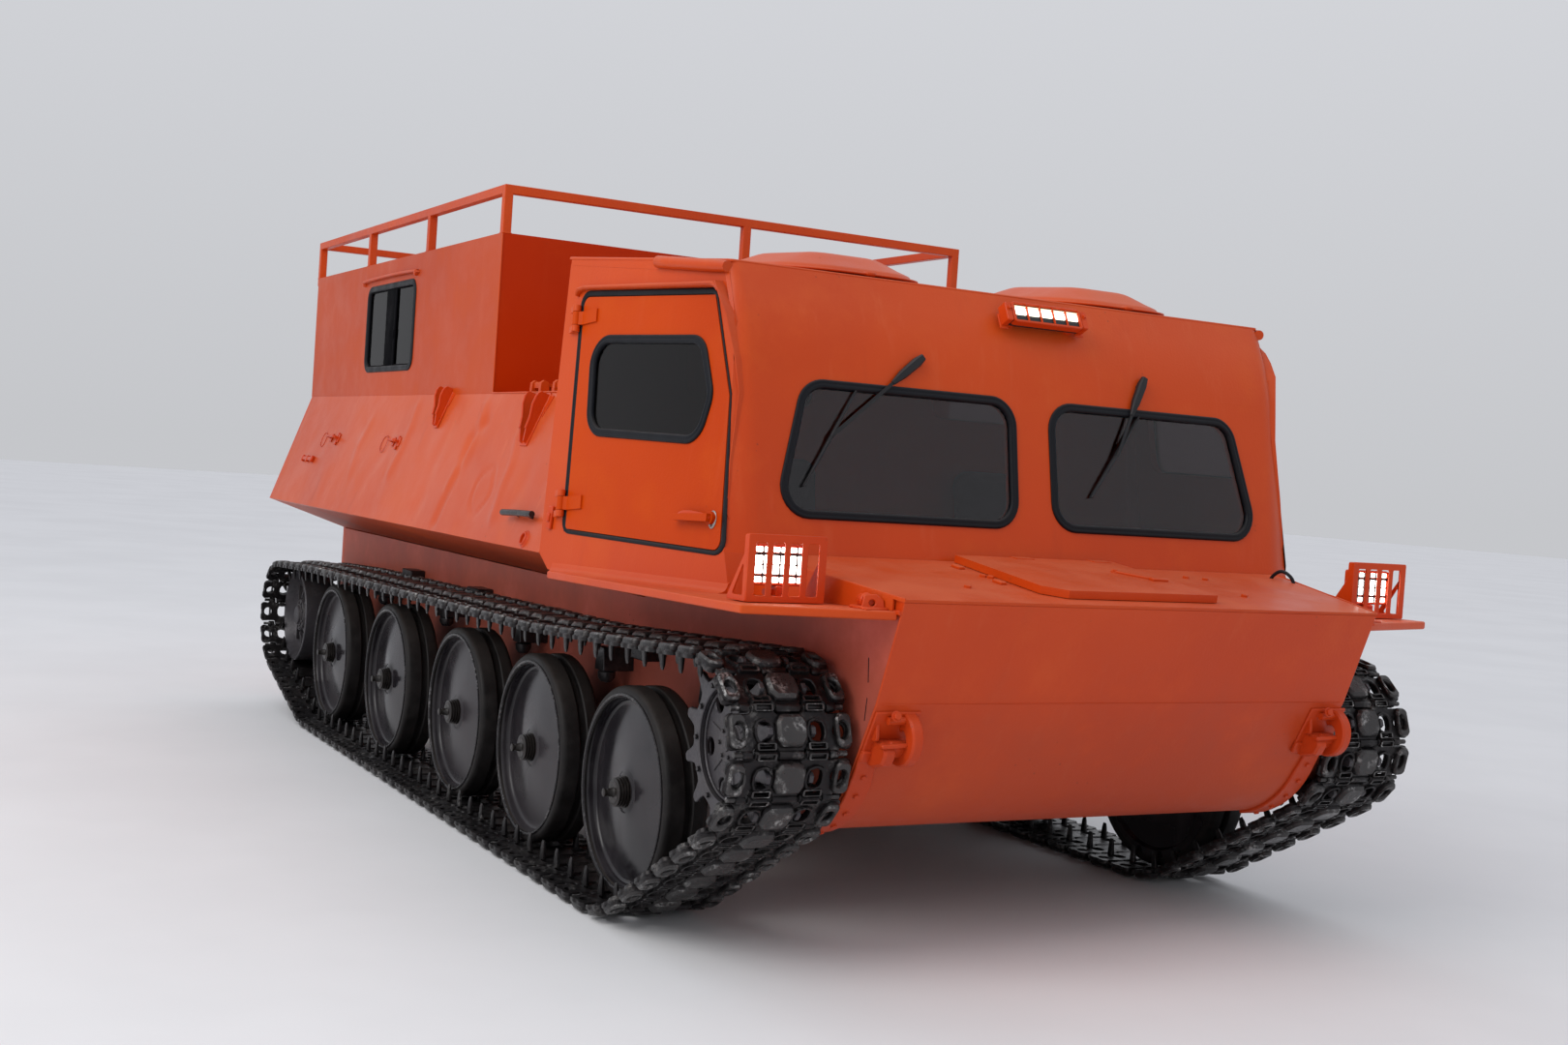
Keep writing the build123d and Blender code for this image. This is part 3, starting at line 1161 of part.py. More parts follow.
with BuildPart() as driver_controls:
    with BuildSketch(lengthwise(860)):
        with BuildLine():
            Polyline(*at([(335, 1086), (430, 1086), (430, 1178), (400, 1230), (340, 1230), (305, 1160)]), close=True)
        make_face()
    extrude(amount=1720)
    for y in (400.0, 660.0):
        with BuildSketch(Plane(origin=(fx(200), y, 576), x_dir=(1, 0, 0), z_dir=(0.10, 0, 0.995))):
            Circle(12)
        extrude(amount=620)
        with BuildSketch(Plane(origin=(fx(262), y, 1180), x_dir=(1, 0, 0), z_dir=(0.10, 0, 0.995))):
            Circle(19)
        extrude(amount=100)

with BuildPart() as engine_block:
    with BuildSketch(Plane.XY.offset(430)):
        with Locations((fx(-1180), 0)):
            Rectangle(820, 640)
    extrude(amount=720)

# bow hatch lid: shallow tray with a folded rim, hinged along its rear edge
with BuildPart() as bow_hatch:
    dk = Plane(origin=(fx(HATCH_X0), (HATCH_Y0 + HATCH_Y1) / 2, deck_z(HATCH_X0)),
               x_dir=(math.cos(DECK_SLOPE), 0, -math.sin(DECK_SLOPE)),
               z_dir=(math.sin(DECK_SLOPE), 0, math.cos(DECK_SLOPE)))
    L = (HATCH_X1 - HATCH_X0) / math.cos(DECK_SLOPE)
    W = HATCH_Y1 - HATCH_Y0
    with BuildSketch(dk.offset(2)) as tray:
        with BuildLine():
            Polyline((0, -W / 2), (L - 60, -W / 2), (L, -W / 2 + 60), (L, W / 2), (0, W / 2), close=True)
        make_face()
    extrude(amount=24)
    with BuildSketch(dk.offset(2)):
        with BuildLine():
            Polyline((6, -W / 2 + 6), (L - 62, -W / 2 + 6), (L - 6, -W / 2 + 62), (L - 6, W / 2 - 6), (6, W / 2 - 6), close=True)
        make_face()
    extrude(amount=18, mode=Mode.SUBTRACT)
    for y in BHATCH_HINGES:
        with BuildSketch(Plane(origin=(fx(BHATCH_AXIS[0]), y + 35, BHATCH_AXIS[1]), x_dir=(1, 0, 0), z_dir=(0, -1, 0))):
            with BuildLine():
                Polyline((-8, -4), (0, -9), (12, -9), (44, -2), (44, 9), (6, 12), (-5, 8), close=True)
            make_face()
            Circle(LID_PIN + 0.08, mode=Mode.SUBTRACT)
        extrude(amount=70)

# ==================================================================== FILES
PARTS = [
    ("hull_floor", hull_floor.part), ("hull_sides", hull_sides.part), ("bow_plate", bow_plate.part),
    ("bow_deck", bow_deck_full.part), ("fender_shelves", fender_shelves.part), ("final_drives", final_drives.part),
    ("sponson_panels", sponson_panels.part), ("sponson_floors", sponson_floors.part),
    ("cab_front_panel", cab_front_panel.part), ("cab_sides", cab_sides.part),
    ("cab_roof", cab_roof.part), ("cab_rear_wall", cab_rear_wall.part), ("gap_deck", gap_deck.part),
    ("box_front_wall", box_front_wall.part), ("box_side_walls", box_side_walls.part), ("box_roof", box_roof.part),
    ("rear_wall", rear_wall.part), ("interior_floor", interior_floor.part), ("roof_rail", roof_rail.part),
    ("track_right", track_right.part), ("track_left", track_left.part), ("road_wheels", road_wheels.part),
    ("wheel_tyres", wheel_tyres.part), ("idler_wheels", idler_wheels.part), ("drive_sprockets", drive_sprockets.part),
    ("suspension_arms", suspension_arms.part), ("lamp_guards", lamp_guards.part), ("led_lamps", led_lamps.part),
    ("fixed_windows", fixed_windows.part), ("tow_hooks", tow_hooks.part), ("side_brackets", side_brackets.part),
    ("seat_frames", seat_frames.part), ("seat_pads", seat_pads.part), ("driver_controls", driver_controls.part),
    ("engine_block", engine_block.part), ("rear_door", rear_door.part), ("rear_door_glass", rear_door_glass.part),
    ("bow_hatch", bow_hatch.part), ("deck_hatch", deck_hatch.part),
    ("cab_door_right", door_leaf.part), ("door_glass_right", door_pane.part), ("roof_hatch_right", lid_right.part),
]
for name, part in PARTS:
    save(name, part)

with BuildPart() as cab_door_left:
    add(mirror(door_leaf.part, about=Plane.XZ, mode=Mode.PRIVATE))
save("cab_door_left", cab_door_left.part)
with BuildPart() as door_glass_left:
    add(mirror(door_pane.part, about=Plane.XZ, mode=Mode.PRIVATE))
save("door_glass_left", door_glass_left.part)
with BuildPart() as roof_hatch_left:
    add(mirror(lid_right.part, about=Plane.XZ, mode=Mode.PRIVATE))
save("roof_hatch_left", roof_hatch_left.part)
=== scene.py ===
"""Looks of the tracked all-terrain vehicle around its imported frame.

Geometry is written in millimetres, x forward from the line of the first road
wheels, y to the vehicle's left, z up, and is turned into the shared frame in
metres when a piece is made.
"""

import math
import random

import bmesh
import bpy
import numpy as np
from mathutils import Matrix, Vector, geometry, noise


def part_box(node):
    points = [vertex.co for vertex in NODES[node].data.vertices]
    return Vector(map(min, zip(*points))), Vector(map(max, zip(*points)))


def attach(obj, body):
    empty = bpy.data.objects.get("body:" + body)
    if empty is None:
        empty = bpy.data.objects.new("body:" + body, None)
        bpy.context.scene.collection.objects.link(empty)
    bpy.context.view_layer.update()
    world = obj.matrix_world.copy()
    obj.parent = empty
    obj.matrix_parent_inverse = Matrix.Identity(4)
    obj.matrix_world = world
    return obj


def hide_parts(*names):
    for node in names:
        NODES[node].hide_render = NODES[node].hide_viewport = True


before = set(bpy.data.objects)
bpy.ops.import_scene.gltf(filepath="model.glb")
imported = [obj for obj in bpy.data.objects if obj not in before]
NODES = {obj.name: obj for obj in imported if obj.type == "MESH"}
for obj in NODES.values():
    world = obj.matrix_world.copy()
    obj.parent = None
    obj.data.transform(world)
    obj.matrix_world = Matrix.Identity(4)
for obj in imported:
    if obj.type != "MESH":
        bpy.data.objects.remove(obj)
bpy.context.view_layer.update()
SCENE = bpy.context.scene
DATUM = 1850.0
random.seed(7)


def row(p):
    """Millimetres from the wheel line to metres in the shared frame."""
    return ((p[0] + DATUM) / 1000.0, p[1] / 1000.0, p[2] / 1000.0)


# ============================================================== MESH TOOLKIT
class Geo:
    """Points, faces and each face's material number."""

    def __init__(self):
        self.v, self.f, self.m = [], [], []

    def add(self, verts, faces, mat=0):
        o = len(self.v)
        self.v.extend(tuple(float(c) for c in p) for p in verts)
        self.f.extend(tuple(i + o for i in q) for q in faces)
        self.m.extend([mat] * len(faces))
        return self

    def put(self, other, at=None, mat=None):
        o = len(self.v)
        if at is None:
            self.v.extend(other.v)
        elif other.v:
            a = np.array(at)
            p = np.array(other.v) @ a[:3, :3].T + a[:3, 3]
            self.v.extend(map(tuple, p.tolist()))
        self.f.extend(tuple(i + o for i in q) for q in other.f)
        self.m.extend(other.m if mat is None else [mat] * len(other.f))
        return self

    def mirrored(self):
        g = Geo()
        g.v = [(x, -y, z) for x, y, z in self.v]
        g.f = [tuple(reversed(q)) for q in self.f]
        g.m = list(self.m)
        return g

    def both(self):
        return Geo().put(self).put(self.mirrored())


def basis(o, z, x=(1, 0, 0)):
    """Place with its local z along z and local x near x."""
    z = Vector(z).normalized()
    x = Vector(x)
    x = (x - z * x.dot(z)).normalized()
    y = z.cross(x)
    return Matrix(((x[0], y[0], z[0], o[0]), (x[1], y[1], z[1], o[1]), (x[2], y[2], z[2], o[2]), (0, 0, 0, 1)))


def move(x, y, z):
    return Matrix.Translation((x, y, z))


def turn(deg, axis="Z"):
    return Matrix.Rotation(math.radians(deg), 4, axis)


def area2(loop):
    return sum(loop[i - 1][0] * loop[i][1] - loop[i][0] * loop[i - 1][1] for i in range(len(loop)))


def ccw(loop):
    return list(loop) if area2(loop) > 0 else list(reversed(loop))


def cw(loop):
    return list(reversed(ccw(loop)))


def offset(loop, dist):
    """Closed outline moved to its right: outwards where it runs anticlockwise. dist is one number or one per point."""
    if not hasattr(dist, "__len__") and not dist:
        return list(loop)
    out, n = [], len(loop)
    for i in range(n):
        d = dist[i] if hasattr(dist, "__len__") else dist
        x0, y0 = loop[i - 1]
        x1, y1 = loop[i]
        x2, y2 = loop[(i + 1) % n]
        ax, ay, bx, by = x1 - x0, y1 - y0, x2 - x1, y2 - y1
        la, lb = math.hypot(ax, ay) or 1e-9, math.hypot(bx, by) or 1e-9
        na, nb = (ay / la, -ax / la), (by / lb, -bx / lb)
        k = max(1 + na[0] * nb[0] + na[1] * nb[1], 0.25)
        out.append((x1 + (na[0] + nb[0]) / k * d, y1 + (na[1] + nb[1]) / k * d))
    return out


def rounded(pts, r, seg=5):
    """Outline with its corners rounded; r is one radius or one per corner."""
    n, out = len(pts), []
    rs = list(r) if hasattr(r, "__len__") else [r] * n
    for i in range(n):
        p0, p1, p2 = Vector(pts[i - 1]), Vector(pts[i]), Vector(pts[(i + 1) % n])
        if rs[i] <= 0:
            out.append(tuple(p1))
            continue
        u, w = (p0 - p1), (p2 - p1)
        lu, lw = u.length, w.length
        u.normalize()
        w.normalize()
        half = math.acos(max(-0.9999, min(0.9999, u.dot(w)))) / 2
        t = min(rs[i] / math.tan(half), lu * 0.48, lw * 0.48)
        rr = t * math.tan(half)
        a, b = p1 + u * t, p1 + w * t
        c = p1 + (u + w).normalized() * (rr / math.sin(half))
        a0 = math.atan2(a.y - c.y, a.x - c.x)
        da = (math.atan2(b.y - c.y, b.x - c.x) - a0 + math.pi) % (2 * math.pi) - math.pi
        out += [(c.x + rr * math.cos(a0 + da * k / seg), c.y + rr * math.sin(a0 + da * k / seg)) for k in range(seg + 1)]
    return out


def rect(cx, cy, lx, ly):
    return [(cx - lx / 2, cy - ly / 2), (cx + lx / 2, cy - ly / 2), (cx + lx / 2, cy + ly / 2), (cx - lx / 2, cy + ly / 2)]


def circle(cx, cy, r, n=20, ry=None, a0=0.0):
    return [(cx + r * math.cos(2 * math.pi * k / n + a0), cy + (ry or r) * math.sin(2 * math.pi * k / n + a0)) for k in range(n)]


def prism(loops, rows, mat=0, cap_mat=None):
    """Solid on outlines in local x-y, the first one outside and the others holes; rows are (how far it is drawn in, z)."""
    loops = [ccw(loops[0])] + [cw(h) for h in loops[1:]]
    g = Geo()
    counts = [len(q) for q in loops]
    total = sum(counts)
    verts = []
    for inset, z in rows:
        for q in loops:
            verts += [(x, y, z) for x, y in offset(q, -inset)]
    faces = []
    for j in range(len(rows) - 1):
        o = 0
        for c in counts:
            for i in range(c):
                k = (i + 1) % c
                faces.append((j * total + o + i, j * total + o + k, (j + 1) * total + o + k, (j + 1) * total + o + i))
            o += c
    g.add(verts, faces, mat)

    def cap(j, flip):
        rings, o = [], 0
        for c in counts:
            rings.append([Vector(verts[j * total + o + i]) for i in range(c)])
            o += c
        if len(counts) == 1:
            tri = [tuple(range(counts[0]))]
        else:
            tri = [tuple(t) for t in geometry.tessellate_polygon(rings)]
        fs = []
        for t in tri:
            t = tuple(j * total + i for i in t)
            a, b, c = (Vector(verts[t[0]]), Vector(verts[t[1]]), Vector(verts[t[2]]))
            up = sum((verts[t[i - 1]][0] * verts[t[i]][1] - verts[t[i]][0] * verts[t[i - 1]][1]) for i in range(len(t))) > 0
            if up == flip:
                t = tuple(reversed(t))
            fs.append(t)
        return fs

    g.f += cap(0, True)
    g.m += [mat] * (len(g.f) - len(g.m))
    g.f += cap(len(rows) - 1, False)
    g.m += [mat if cap_mat is None else cap_mat] * (len(g.f) - len(g.m))
    return g


def block(lx, ly, lz, b=1.5, seg=1, r=None, mat=0):
    """Chamfered block about its centre."""
    q = rounded(rect(0, 0, lx, ly), b if r is None else r, seg if r is None else 4)
    return prism([q], [(b, -lz / 2), (0, -lz / 2 + b), (0, lz / 2 - b), (b, lz / 2)], mat)


def bar(p0, p1, w, h, b=1.5, up=(0, 0, 1), mat=0):
    """Chamfered bar from p0 to p1, w across and h along up."""
    p0, p1 = Vector(p0), Vector(p1)
    d = p1 - p0
    m = basis((p0 + p1) / 2, d, up)
    return Geo().put(block(h, w, d.length, b, mat=mat), m)


def lathe(rows, n=32, closed=False, mat=0):
    """Solid turned about local z from rows of (z, r)."""
    verts, idx = [], []
    for z, r in rows:
        if r < 1e-6:
            idx.append([len(verts)] * n)
            verts.append((0, 0, z))
        else:
            idx.append(list(range(len(verts), len(verts) + n)))
            verts += [(r * math.cos(2 * math.pi * k / n), r * math.sin(2 * math.pi * k / n), z) for k in range(n)]
    faces = []
    pairs = list(zip(idx, idx[1:])) + ([(idx[-1], idx[0])] if closed else [])
    for a, b in pairs:
        for k in range(n):
            q = []
            for i in (a[k], a[(k + 1) % n], b[(k + 1) % n], b[k]):
                if i not in q:
                    q.append(i)
            if len(q) > 2:
                faces.append(tuple(q))
    return Geo().add(verts, faces, mat)


def sweep(points, section, normal=None, closed=False, mat=0, scale=None):
    """A closed section carried along points. section is (across, along normal)."""
    pts = [Vector(p) for p in points]
    n = len(pts)
    verts, faces = [], []
    last = Vector(normal) if normal is not None else None
    if last is None:
        d = (pts[1] - pts[0]).normalized()
        last = d.cross(Vector((0, 0, 1)) if abs(d.z) < 0.9 else Vector((1, 0, 0))).normalized()
    m = len(section)
    for i in range(n):
        a = pts[i] - pts[i - 1] if (i or closed) else pts[1] - pts[0]
        b = pts[(i + 1) % n] - pts[i] if (i < n - 1 or closed) else pts[-1] - pts[-2]
        a.normalize()
        b.normalize()
        t = (a + b).normalized()
        up = (Vector(normal) if normal is not None else last)
        up = (up - t * up.dot(t)).normalized()
        last = up
        side = t.cross(up)
        k = 1 / max((a.dot(t)), 0.5)
        s = scale[i] if scale else 1.0
        flat = (a - b).length > 1e-4
        for u, v in section:
            p = side * u * s + up * v * s
            if flat:
                bend = (b - a).normalized()
                p += bend * (p.dot(bend)) * (k - 1)
            verts.append(tuple(pts[i] + p))
    for i in range(n if closed else n - 1):
        j = (i + 1) % n
        for q in range(m):
            r = (q + 1) % m
            faces.append((i * m + q, i * m + r, j * m + r, j * m + q))
    if not closed:
        faces.append(tuple(reversed(range(m))))
        faces.append(tuple((n - 1) * m + q for q in range(m)))
    return Geo().add(verts, faces, mat)


def tube(points, r, n=10, closed=False, mat=0, normal=None, scale=None):
    return sweep(points, circle(0, 0, r, n), normal, closed, mat, scale)


def ring(loop, profile, mat=0, width=None):
    """Closed band round an outline: profile is a closed list of (outward, height); width scales what lies outside it."""
    loop = ccw(loop)
    n, m = len(loop), len(profile)
    verts, faces = [], []
    for a, h in profile:
        verts += [(x, y, h) for x, y in offset(loop, [a * w for w in width] if width and a > 0 else a)]
    for j in range(m):
        k = (j + 1) % m
        for i in range(n):
            q = (i + 1) % n
            faces.append((j * n + i, j * n + q, k * n + q, k * n + i))
    return Geo().add(verts, faces, mat)


def arc(c, r, a0, a1, n):
    return [(c[0] + r * math.cos(math.radians(a0 + (a1 - a0) * k / n)), c[1] + r * math.sin(math.radians(a0 + (a1 - a0) * k / n)))
            for k in range(n + 1)]


def bezier(points, n=8):
    """Smooth run of points through the given ones."""
    pts = [Vector(p) for p in points]
    out = []
    for i in range(len(pts) - 1):
        p0 = pts[i - 1] if i else pts[0] * 2 - pts[1]
        p3 = pts[i + 2] if i + 2 < len(pts) else pts[-1] * 2 - pts[-2]
        for k in range(n):
            t = k / n
            out.append(0.5 * ((2 * pts[i]) + (pts[i + 1] - p0) * t + (2 * p0 - 5 * pts[i] + 4 * pts[i + 1] - p3) * t * t
                              + (3 * pts[i] - p0 - 3 * pts[i + 1] + p3) * t ** 3))
    out.append(pts[-1])
    return out


def hexbolt(r=9.0, h=6.0, washer=True, mat=0):
    """Hexagon head on a washer, foot at z 0."""
    g = Geo()
    z = 0.0
    if washer:
        g.put(lathe([(-1, 0), (-1, r * 1.35), (1.4, r * 1.35), (2.0, r * 1.25), (2.0, 0)], 14, mat=mat))
        z = 1.5
    g.put(prism([circle(0, 0, r, 6)], [(0, z), (0, z + h * 0.75), (r * 0.14, z + h)], mat))
    return g


def orient(g):
    """Faces turned outwards, shell by shell."""
    me = bpy.data.meshes.new("tmp")
    me.from_pydata(g.v, [], g.f)
    me.polygons.foreach_set("material_index", g.m)
    bm = bmesh.new()
    bm.from_mesh(me)
    bmesh.ops.recalc_face_normals(bm, faces=bm.faces[:])
    bm.verts.index_update()
    g.f = [tuple(v.index for v in f.verts) for f in bm.faces]
    g.m = [f.material_index for f in bm.faces]
    bm.free()
    bpy.data.meshes.remove(me)
    return g


def piece(name, g, body, mats, replaces=(), sharp=32.0, fix=True, values=None):
    """A named mesh made of g, riding on a body."""
    me = bpy.data.meshes.new(name)
    if isinstance(g.v, np.ndarray):
        v = (g.v + np.array([DATUM, 0, 0])) / 1000.0
        me.from_pydata(v.tolist(), [], g.f)
    else:
        me.from_pydata([row(p) for p in g.v], [], g.f)
    for m in mats if isinstance(mats, (list, tuple)) else [mats]:
        me.materials.append(m)
    me.polygons.foreach_set("material_index", g.m)
    if fix:
        bm = bmesh.new()
        bm.from_mesh(me)
        bmesh.ops.recalc_face_normals(bm, faces=bm.faces[:])
        bm.to_mesh(me)
        bm.free()
    me.polygons.foreach_set("use_smooth", [True] * len(me.polygons))
    me.set_sharp_from_angle(angle=math.radians(sharp))
    me.update()
    ob = bpy.data.objects.new(name, me)
    SCENE.collection.objects.link(ob)
    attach(ob, body)
    if replaces:
        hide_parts(*replaces)
    return ob


# ================================================================= MATERIALS
class Mat:
    def __init__(self, name):
        self.m = bpy.data.materials.new(name)
        self.m.use_nodes = True
        self.t = self.m.node_tree
        self.t.nodes.clear()
        out = self.t.nodes.new("ShaderNodeOutputMaterial")
        self.p = self.t.nodes.new("ShaderNodeBsdfPrincipled")
        self.t.links.new(self.p.outputs[0], out.inputs[0])
        tc = self.t.nodes.new("ShaderNodeTexCoord")
        self.obj, self.nor = tc.outputs["Object"], tc.outputs["Normal"]

    def wire(self, value, sock):
        if isinstance(value, bpy.types.NodeSocket):
            self.t.links.new(value, sock)
        elif isinstance(value, (tuple, list)):
            sock.default_value = (*value, 1.0) if len(value) == 3 and len(sock.default_value) == 4 else value
        else:
            sock.default_value = value

    def set(self, **kw):
        for k, v in kw.items():
            self.wire(v, self.p.inputs[k.replace("_", " ")])
        return self

    def noise(self, scale, detail=3.0, rough=0.55, stretch=None, distort=0.0):
        n = self.t.nodes.new("ShaderNodeTexNoise")
        n.inputs["Scale"].default_value = scale
        n.inputs["Detail"].default_value = detail
        n.inputs["Roughness"].default_value = rough
        n.inputs["Distortion"].default_value = distort
        self.t.links.new(self.scaled(stretch), n.inputs["Vector"])
        return n.outputs["Fac"]

    def scaled(self, stretch):
        if not stretch:
            return self.obj
        v = self.t.nodes.new("ShaderNodeVectorMath")
        v.operation = "MULTIPLY"
        self.t.links.new(self.obj, v.inputs[0])
        v.inputs[1].default_value = stretch
        return v.outputs[0]

    def voronoi(self, scale, feature="F1", stretch=None):
        n = self.t.nodes.new("ShaderNodeTexVoronoi")
        n.feature = feature
        n.inputs["Scale"].default_value = scale
        self.t.links.new(self.scaled(stretch), n.inputs["Vector"])
        return n.outputs["Distance"]

    def wave(self, scale, direction="X", distort=0.0):
        n = self.t.nodes.new("ShaderNodeTexWave")
        n.bands_direction = direction
        n.inputs["Scale"].default_value = scale
        n.inputs["Distortion"].default_value = distort
        self.t.links.new(self.obj, n.inputs["Vector"])
        return n.outputs["Fac"]

    def map(self, v, a, b, c=0.0, d=1.0):
        n = self.t.nodes.new("ShaderNodeMapRange")
        n.interpolation_type = "SMOOTHSTEP"
        self.wire(v, n.inputs["Value"])
        for k, x in (("From Min", a), ("From Max", b), ("To Min", c), ("To Max", d)):
            n.inputs[k].default_value = x
        return n.outputs["Result"]

    def math(self, op, a, b=0.0, clamp=False):
        n = self.t.nodes.new("ShaderNodeMath")
        n.operation, n.use_clamp = op, clamp
        self.wire(a, n.inputs[0])
        self.wire(b, n.inputs[1])
        return n.outputs[0]

    def mul(self, *xs):
        out = xs[0]
        for x in xs[1:]:
            out = self.math("MULTIPLY", out, x)
        return out

    def mix(self, fac, a, b):
        n = self.t.nodes.new("ShaderNodeMix")
        n.data_type = "RGBA"
        self.wire(fac, n.inputs[0])
        self.wire(a, n.inputs[6])
        self.wire(b, n.inputs[7])
        return n.outputs[2]

    def split(self, v):
        n = self.t.nodes.new("ShaderNodeSeparateXYZ")
        self.t.links.new(v, n.inputs[0])
        return n.outputs

    def bump(self, height, dist, normal=None, strength=1.0):
        n = self.t.nodes.new("ShaderNodeBump")
        n.inputs["Distance"].default_value = dist
        n.inputs["Strength"].default_value = strength
        self.t.links.new(height, n.inputs["Height"])
        if normal is not None:
            self.t.links.new(normal, n.inputs["Normal"])
        return n.outputs[0]


ORANGE = (0.60, 0.064, 0.0042)


def paint(name, base=ORANGE, dust=0.26, dirt_and_shade=1.0, rough=0.38, streak=0.16, chips=0.5, wave=1.0, low=(1.0, 0.42), spec=0.22, coat=0.06):
    """Brushed and sprayed orange enamel: uneven coats, dust with a painted sky sheen on faces that look up, dirt with
    painted shade towards the bottom, runs, chips and an uneven sheen.
    """
    m = Mat(name)
    x, y, z = m.split(m.obj)
    nz = m.split(m.nor)[2]
    big = m.noise(0.8, 3, 0.5)
    mid = m.noise(4.5, 6, 0.62)
    fine = m.noise(38, 4, 0.6)
    c = m.mix(m.map(big, 0.36, 0.68), base, (base[0] * 0.88, base[1] * 0.80, base[2] * 0.95))
    c = m.mix(m.mul(m.map(mid, 0.48, 0.72), 0.30), c, (base[0] * 1.06, base[1] * 1.45, base[2] * 2.2))
    # faces that look up turn paler salmon: dust, and a painted sky sheen
    up = m.map(nz, 0.22, 0.92)
    d = m.mul(up, m.map(mid, 0.30, 0.66, 0.45, 1.0), dust)
    c = m.mix(d, c, (0.60, 0.20, 0.115))
    run = m.noise(1.0, 5, 0.6, stretch=(17, 17, 0.9))
    c = m.mix(m.mul(m.map(run, 0.55, 0.78), streak), c, (0.66, 0.145, 0.055))
    dark = m.noise(1.0, 5, 0.6, stretch=(9, 9, 0.6))
    c = m.mix(m.mul(m.map(dark, 0.60, 0.80), streak), c, (0.34, 0.035, 0.010))
    # darker towards the bottom: dirt, and painted shade on the low, down-facing parts
    g = m.math("ADD", z, m.math("MULTIPLY", m.math("SUBTRACT", mid, 0.5), 0.45))
    low_dirt_and_shade = m.mul(m.map(g, low[0], low[1]), dirt_and_shade)
    c = m.mix(m.mul(low_dirt_and_shade, 0.75), c, (0.17, 0.055, 0.035))
    spots = m.mul(m.map(m.voronoi(26), 0.13, 0.06), m.map(m.noise(3.1, 4, 0.6), 0.56, 0.66), chips)
    c = m.mix(spots, c, (0.16, 0.035, 0.018))
    m.set(Base_Color=c)
    r = m.math("ADD", m.math("MULTIPLY", d, 0.55), m.math("MULTIPLY", low_dirt_and_shade, 0.32))
    r = m.math("ADD", r, m.map(mid, 0.3, 0.7, rough - 0.05, rough + 0.08), clamp=True)
    m.set(Roughness=r, Specular_IOR_Level=spec, Coat_Weight=coat, Coat_Roughness=0.16)
    b1 = m.bump(m.noise(2.4, 2, 0.5), 0.0045 * wave)
    b2 = m.bump(m.noise(130, 2, 0.5), 0.00045, b1)
    b3 = m.bump(spots, -0.0004, b2)
    m.set(Normal=b3)
    return m.m


def steel(name, base, worn, rough=0.45, metal=0.6, amount=0.35, dust=0.25, scale=9.0, fine=90.0, bump=0.0012, mud=(0.10, 0.085, 0.075)):
    """Worn dark steel: bright rubbed places, dull dirt in between, cast or rolled grain."""
    m = Mat(name)
    a = m.noise(scale, 6, 0.6)
    b = m.noise(fine, 4, 0.6)
    c = m.mix(m.mul(m.map(a, 0.50, 0.70), m.map(b, 0.40, 0.62), amount), base, worn)
    nz = m.split(m.nor)[2]
    d = m.mul(m.map(m.noise(scale * 0.7, 5, 0.6), 0.44, 0.68), m.map(nz, -0.6, 0.9, 0.5, 1.0), dust)
    c = m.mix(d, c, mud)
    m.set(Base_Color=c, Metallic=metal, Roughness=m.math("ADD", m.map(b, 0.3, 0.7, rough - 0.08, rough + 0.1), m.math("MULTIPLY", d, 0.4), clamp=True))
    m.set(Normal=m.bump(b, bump, m.bump(a, bump * 2.5)))
    return m.m


def rubber(name, base=(0.013, 0.013, 0.016), rough=0.5, dust=0.2, fine=160.0, spec=0.3):
    m = Mat(name)
    a = m.noise(14, 5, 0.6)
    nz = m.split(m.nor)[2]
    c = m.mix(m.mul(m.map(a, 0.40, 0.70), dust), base, (0.085, 0.075, 0.07))
    c = m.mix(m.mul(m.map(nz, 0.3, 0.95), 0.25), c, (0.12, 0.10, 0.09))
    m.set(Base_Color=c, Specular_IOR_Level=spec, Roughness=m.map(a, 0.3, 0.7, rough - 0.08, rough + 0.12), Normal=m.bump(m.noise(fine, 3, 0.6), 0.0006))
    return m.m


def glass(name, tint, rough=0.0, weight=1.0, film=0.05, ior=1.4):
    """Flat window pane with a faint film of dust, which shows in its gloss."""
    m = Mat(name)
    a = m.noise(3.0, 6, 0.65)
    c = m.mix(m.mul(m.map(a, 0.45, 0.75), film), tint, (0.45, 0.43, 0.42))
    m.set(Base_Color=c, Transmission_Weight=weight, IOR=ior, Roughness=m.map(m.noise(7, 5, 0.6), 0.4, 0.8, rough, rough + 0.06))
    m.set(Normal=m.bump(m.noise(1.7, 1, 0.4), 0.0012))
    return m.m


def cloth_like(name, base, second, scale=260.0):
    m = Mat(name)
    a = m.noise(6, 5, 0.6)
    w = m.math("MULTIPLY", m.wave(scale, "X"), m.wave(scale, "Y"))
    c = m.mix(m.map(a, 0.35, 0.7), base, second)
    m.set(Base_Color=c, Roughness=m.map(a, 0.3, 0.7, 0.62, 0.82), Sheen_Weight=0.25, Normal=m.bump(w, 0.0006, m.bump(m.noise(24, 4, 0.6), 0.0018)))
    return m.m


def lit(name, color, power):
    m = Mat(name)
    v = m.map(m.voronoi(130), 0.0, 0.6, 0.75, 1.0)
    m.set(Base_Color=m.mix(v, (0.5, 0.48, 0.42), (0.95, 0.93, 0.86)), Roughness=0.25, Emission_Color=color, Emission_Strength=power)
    return m.m


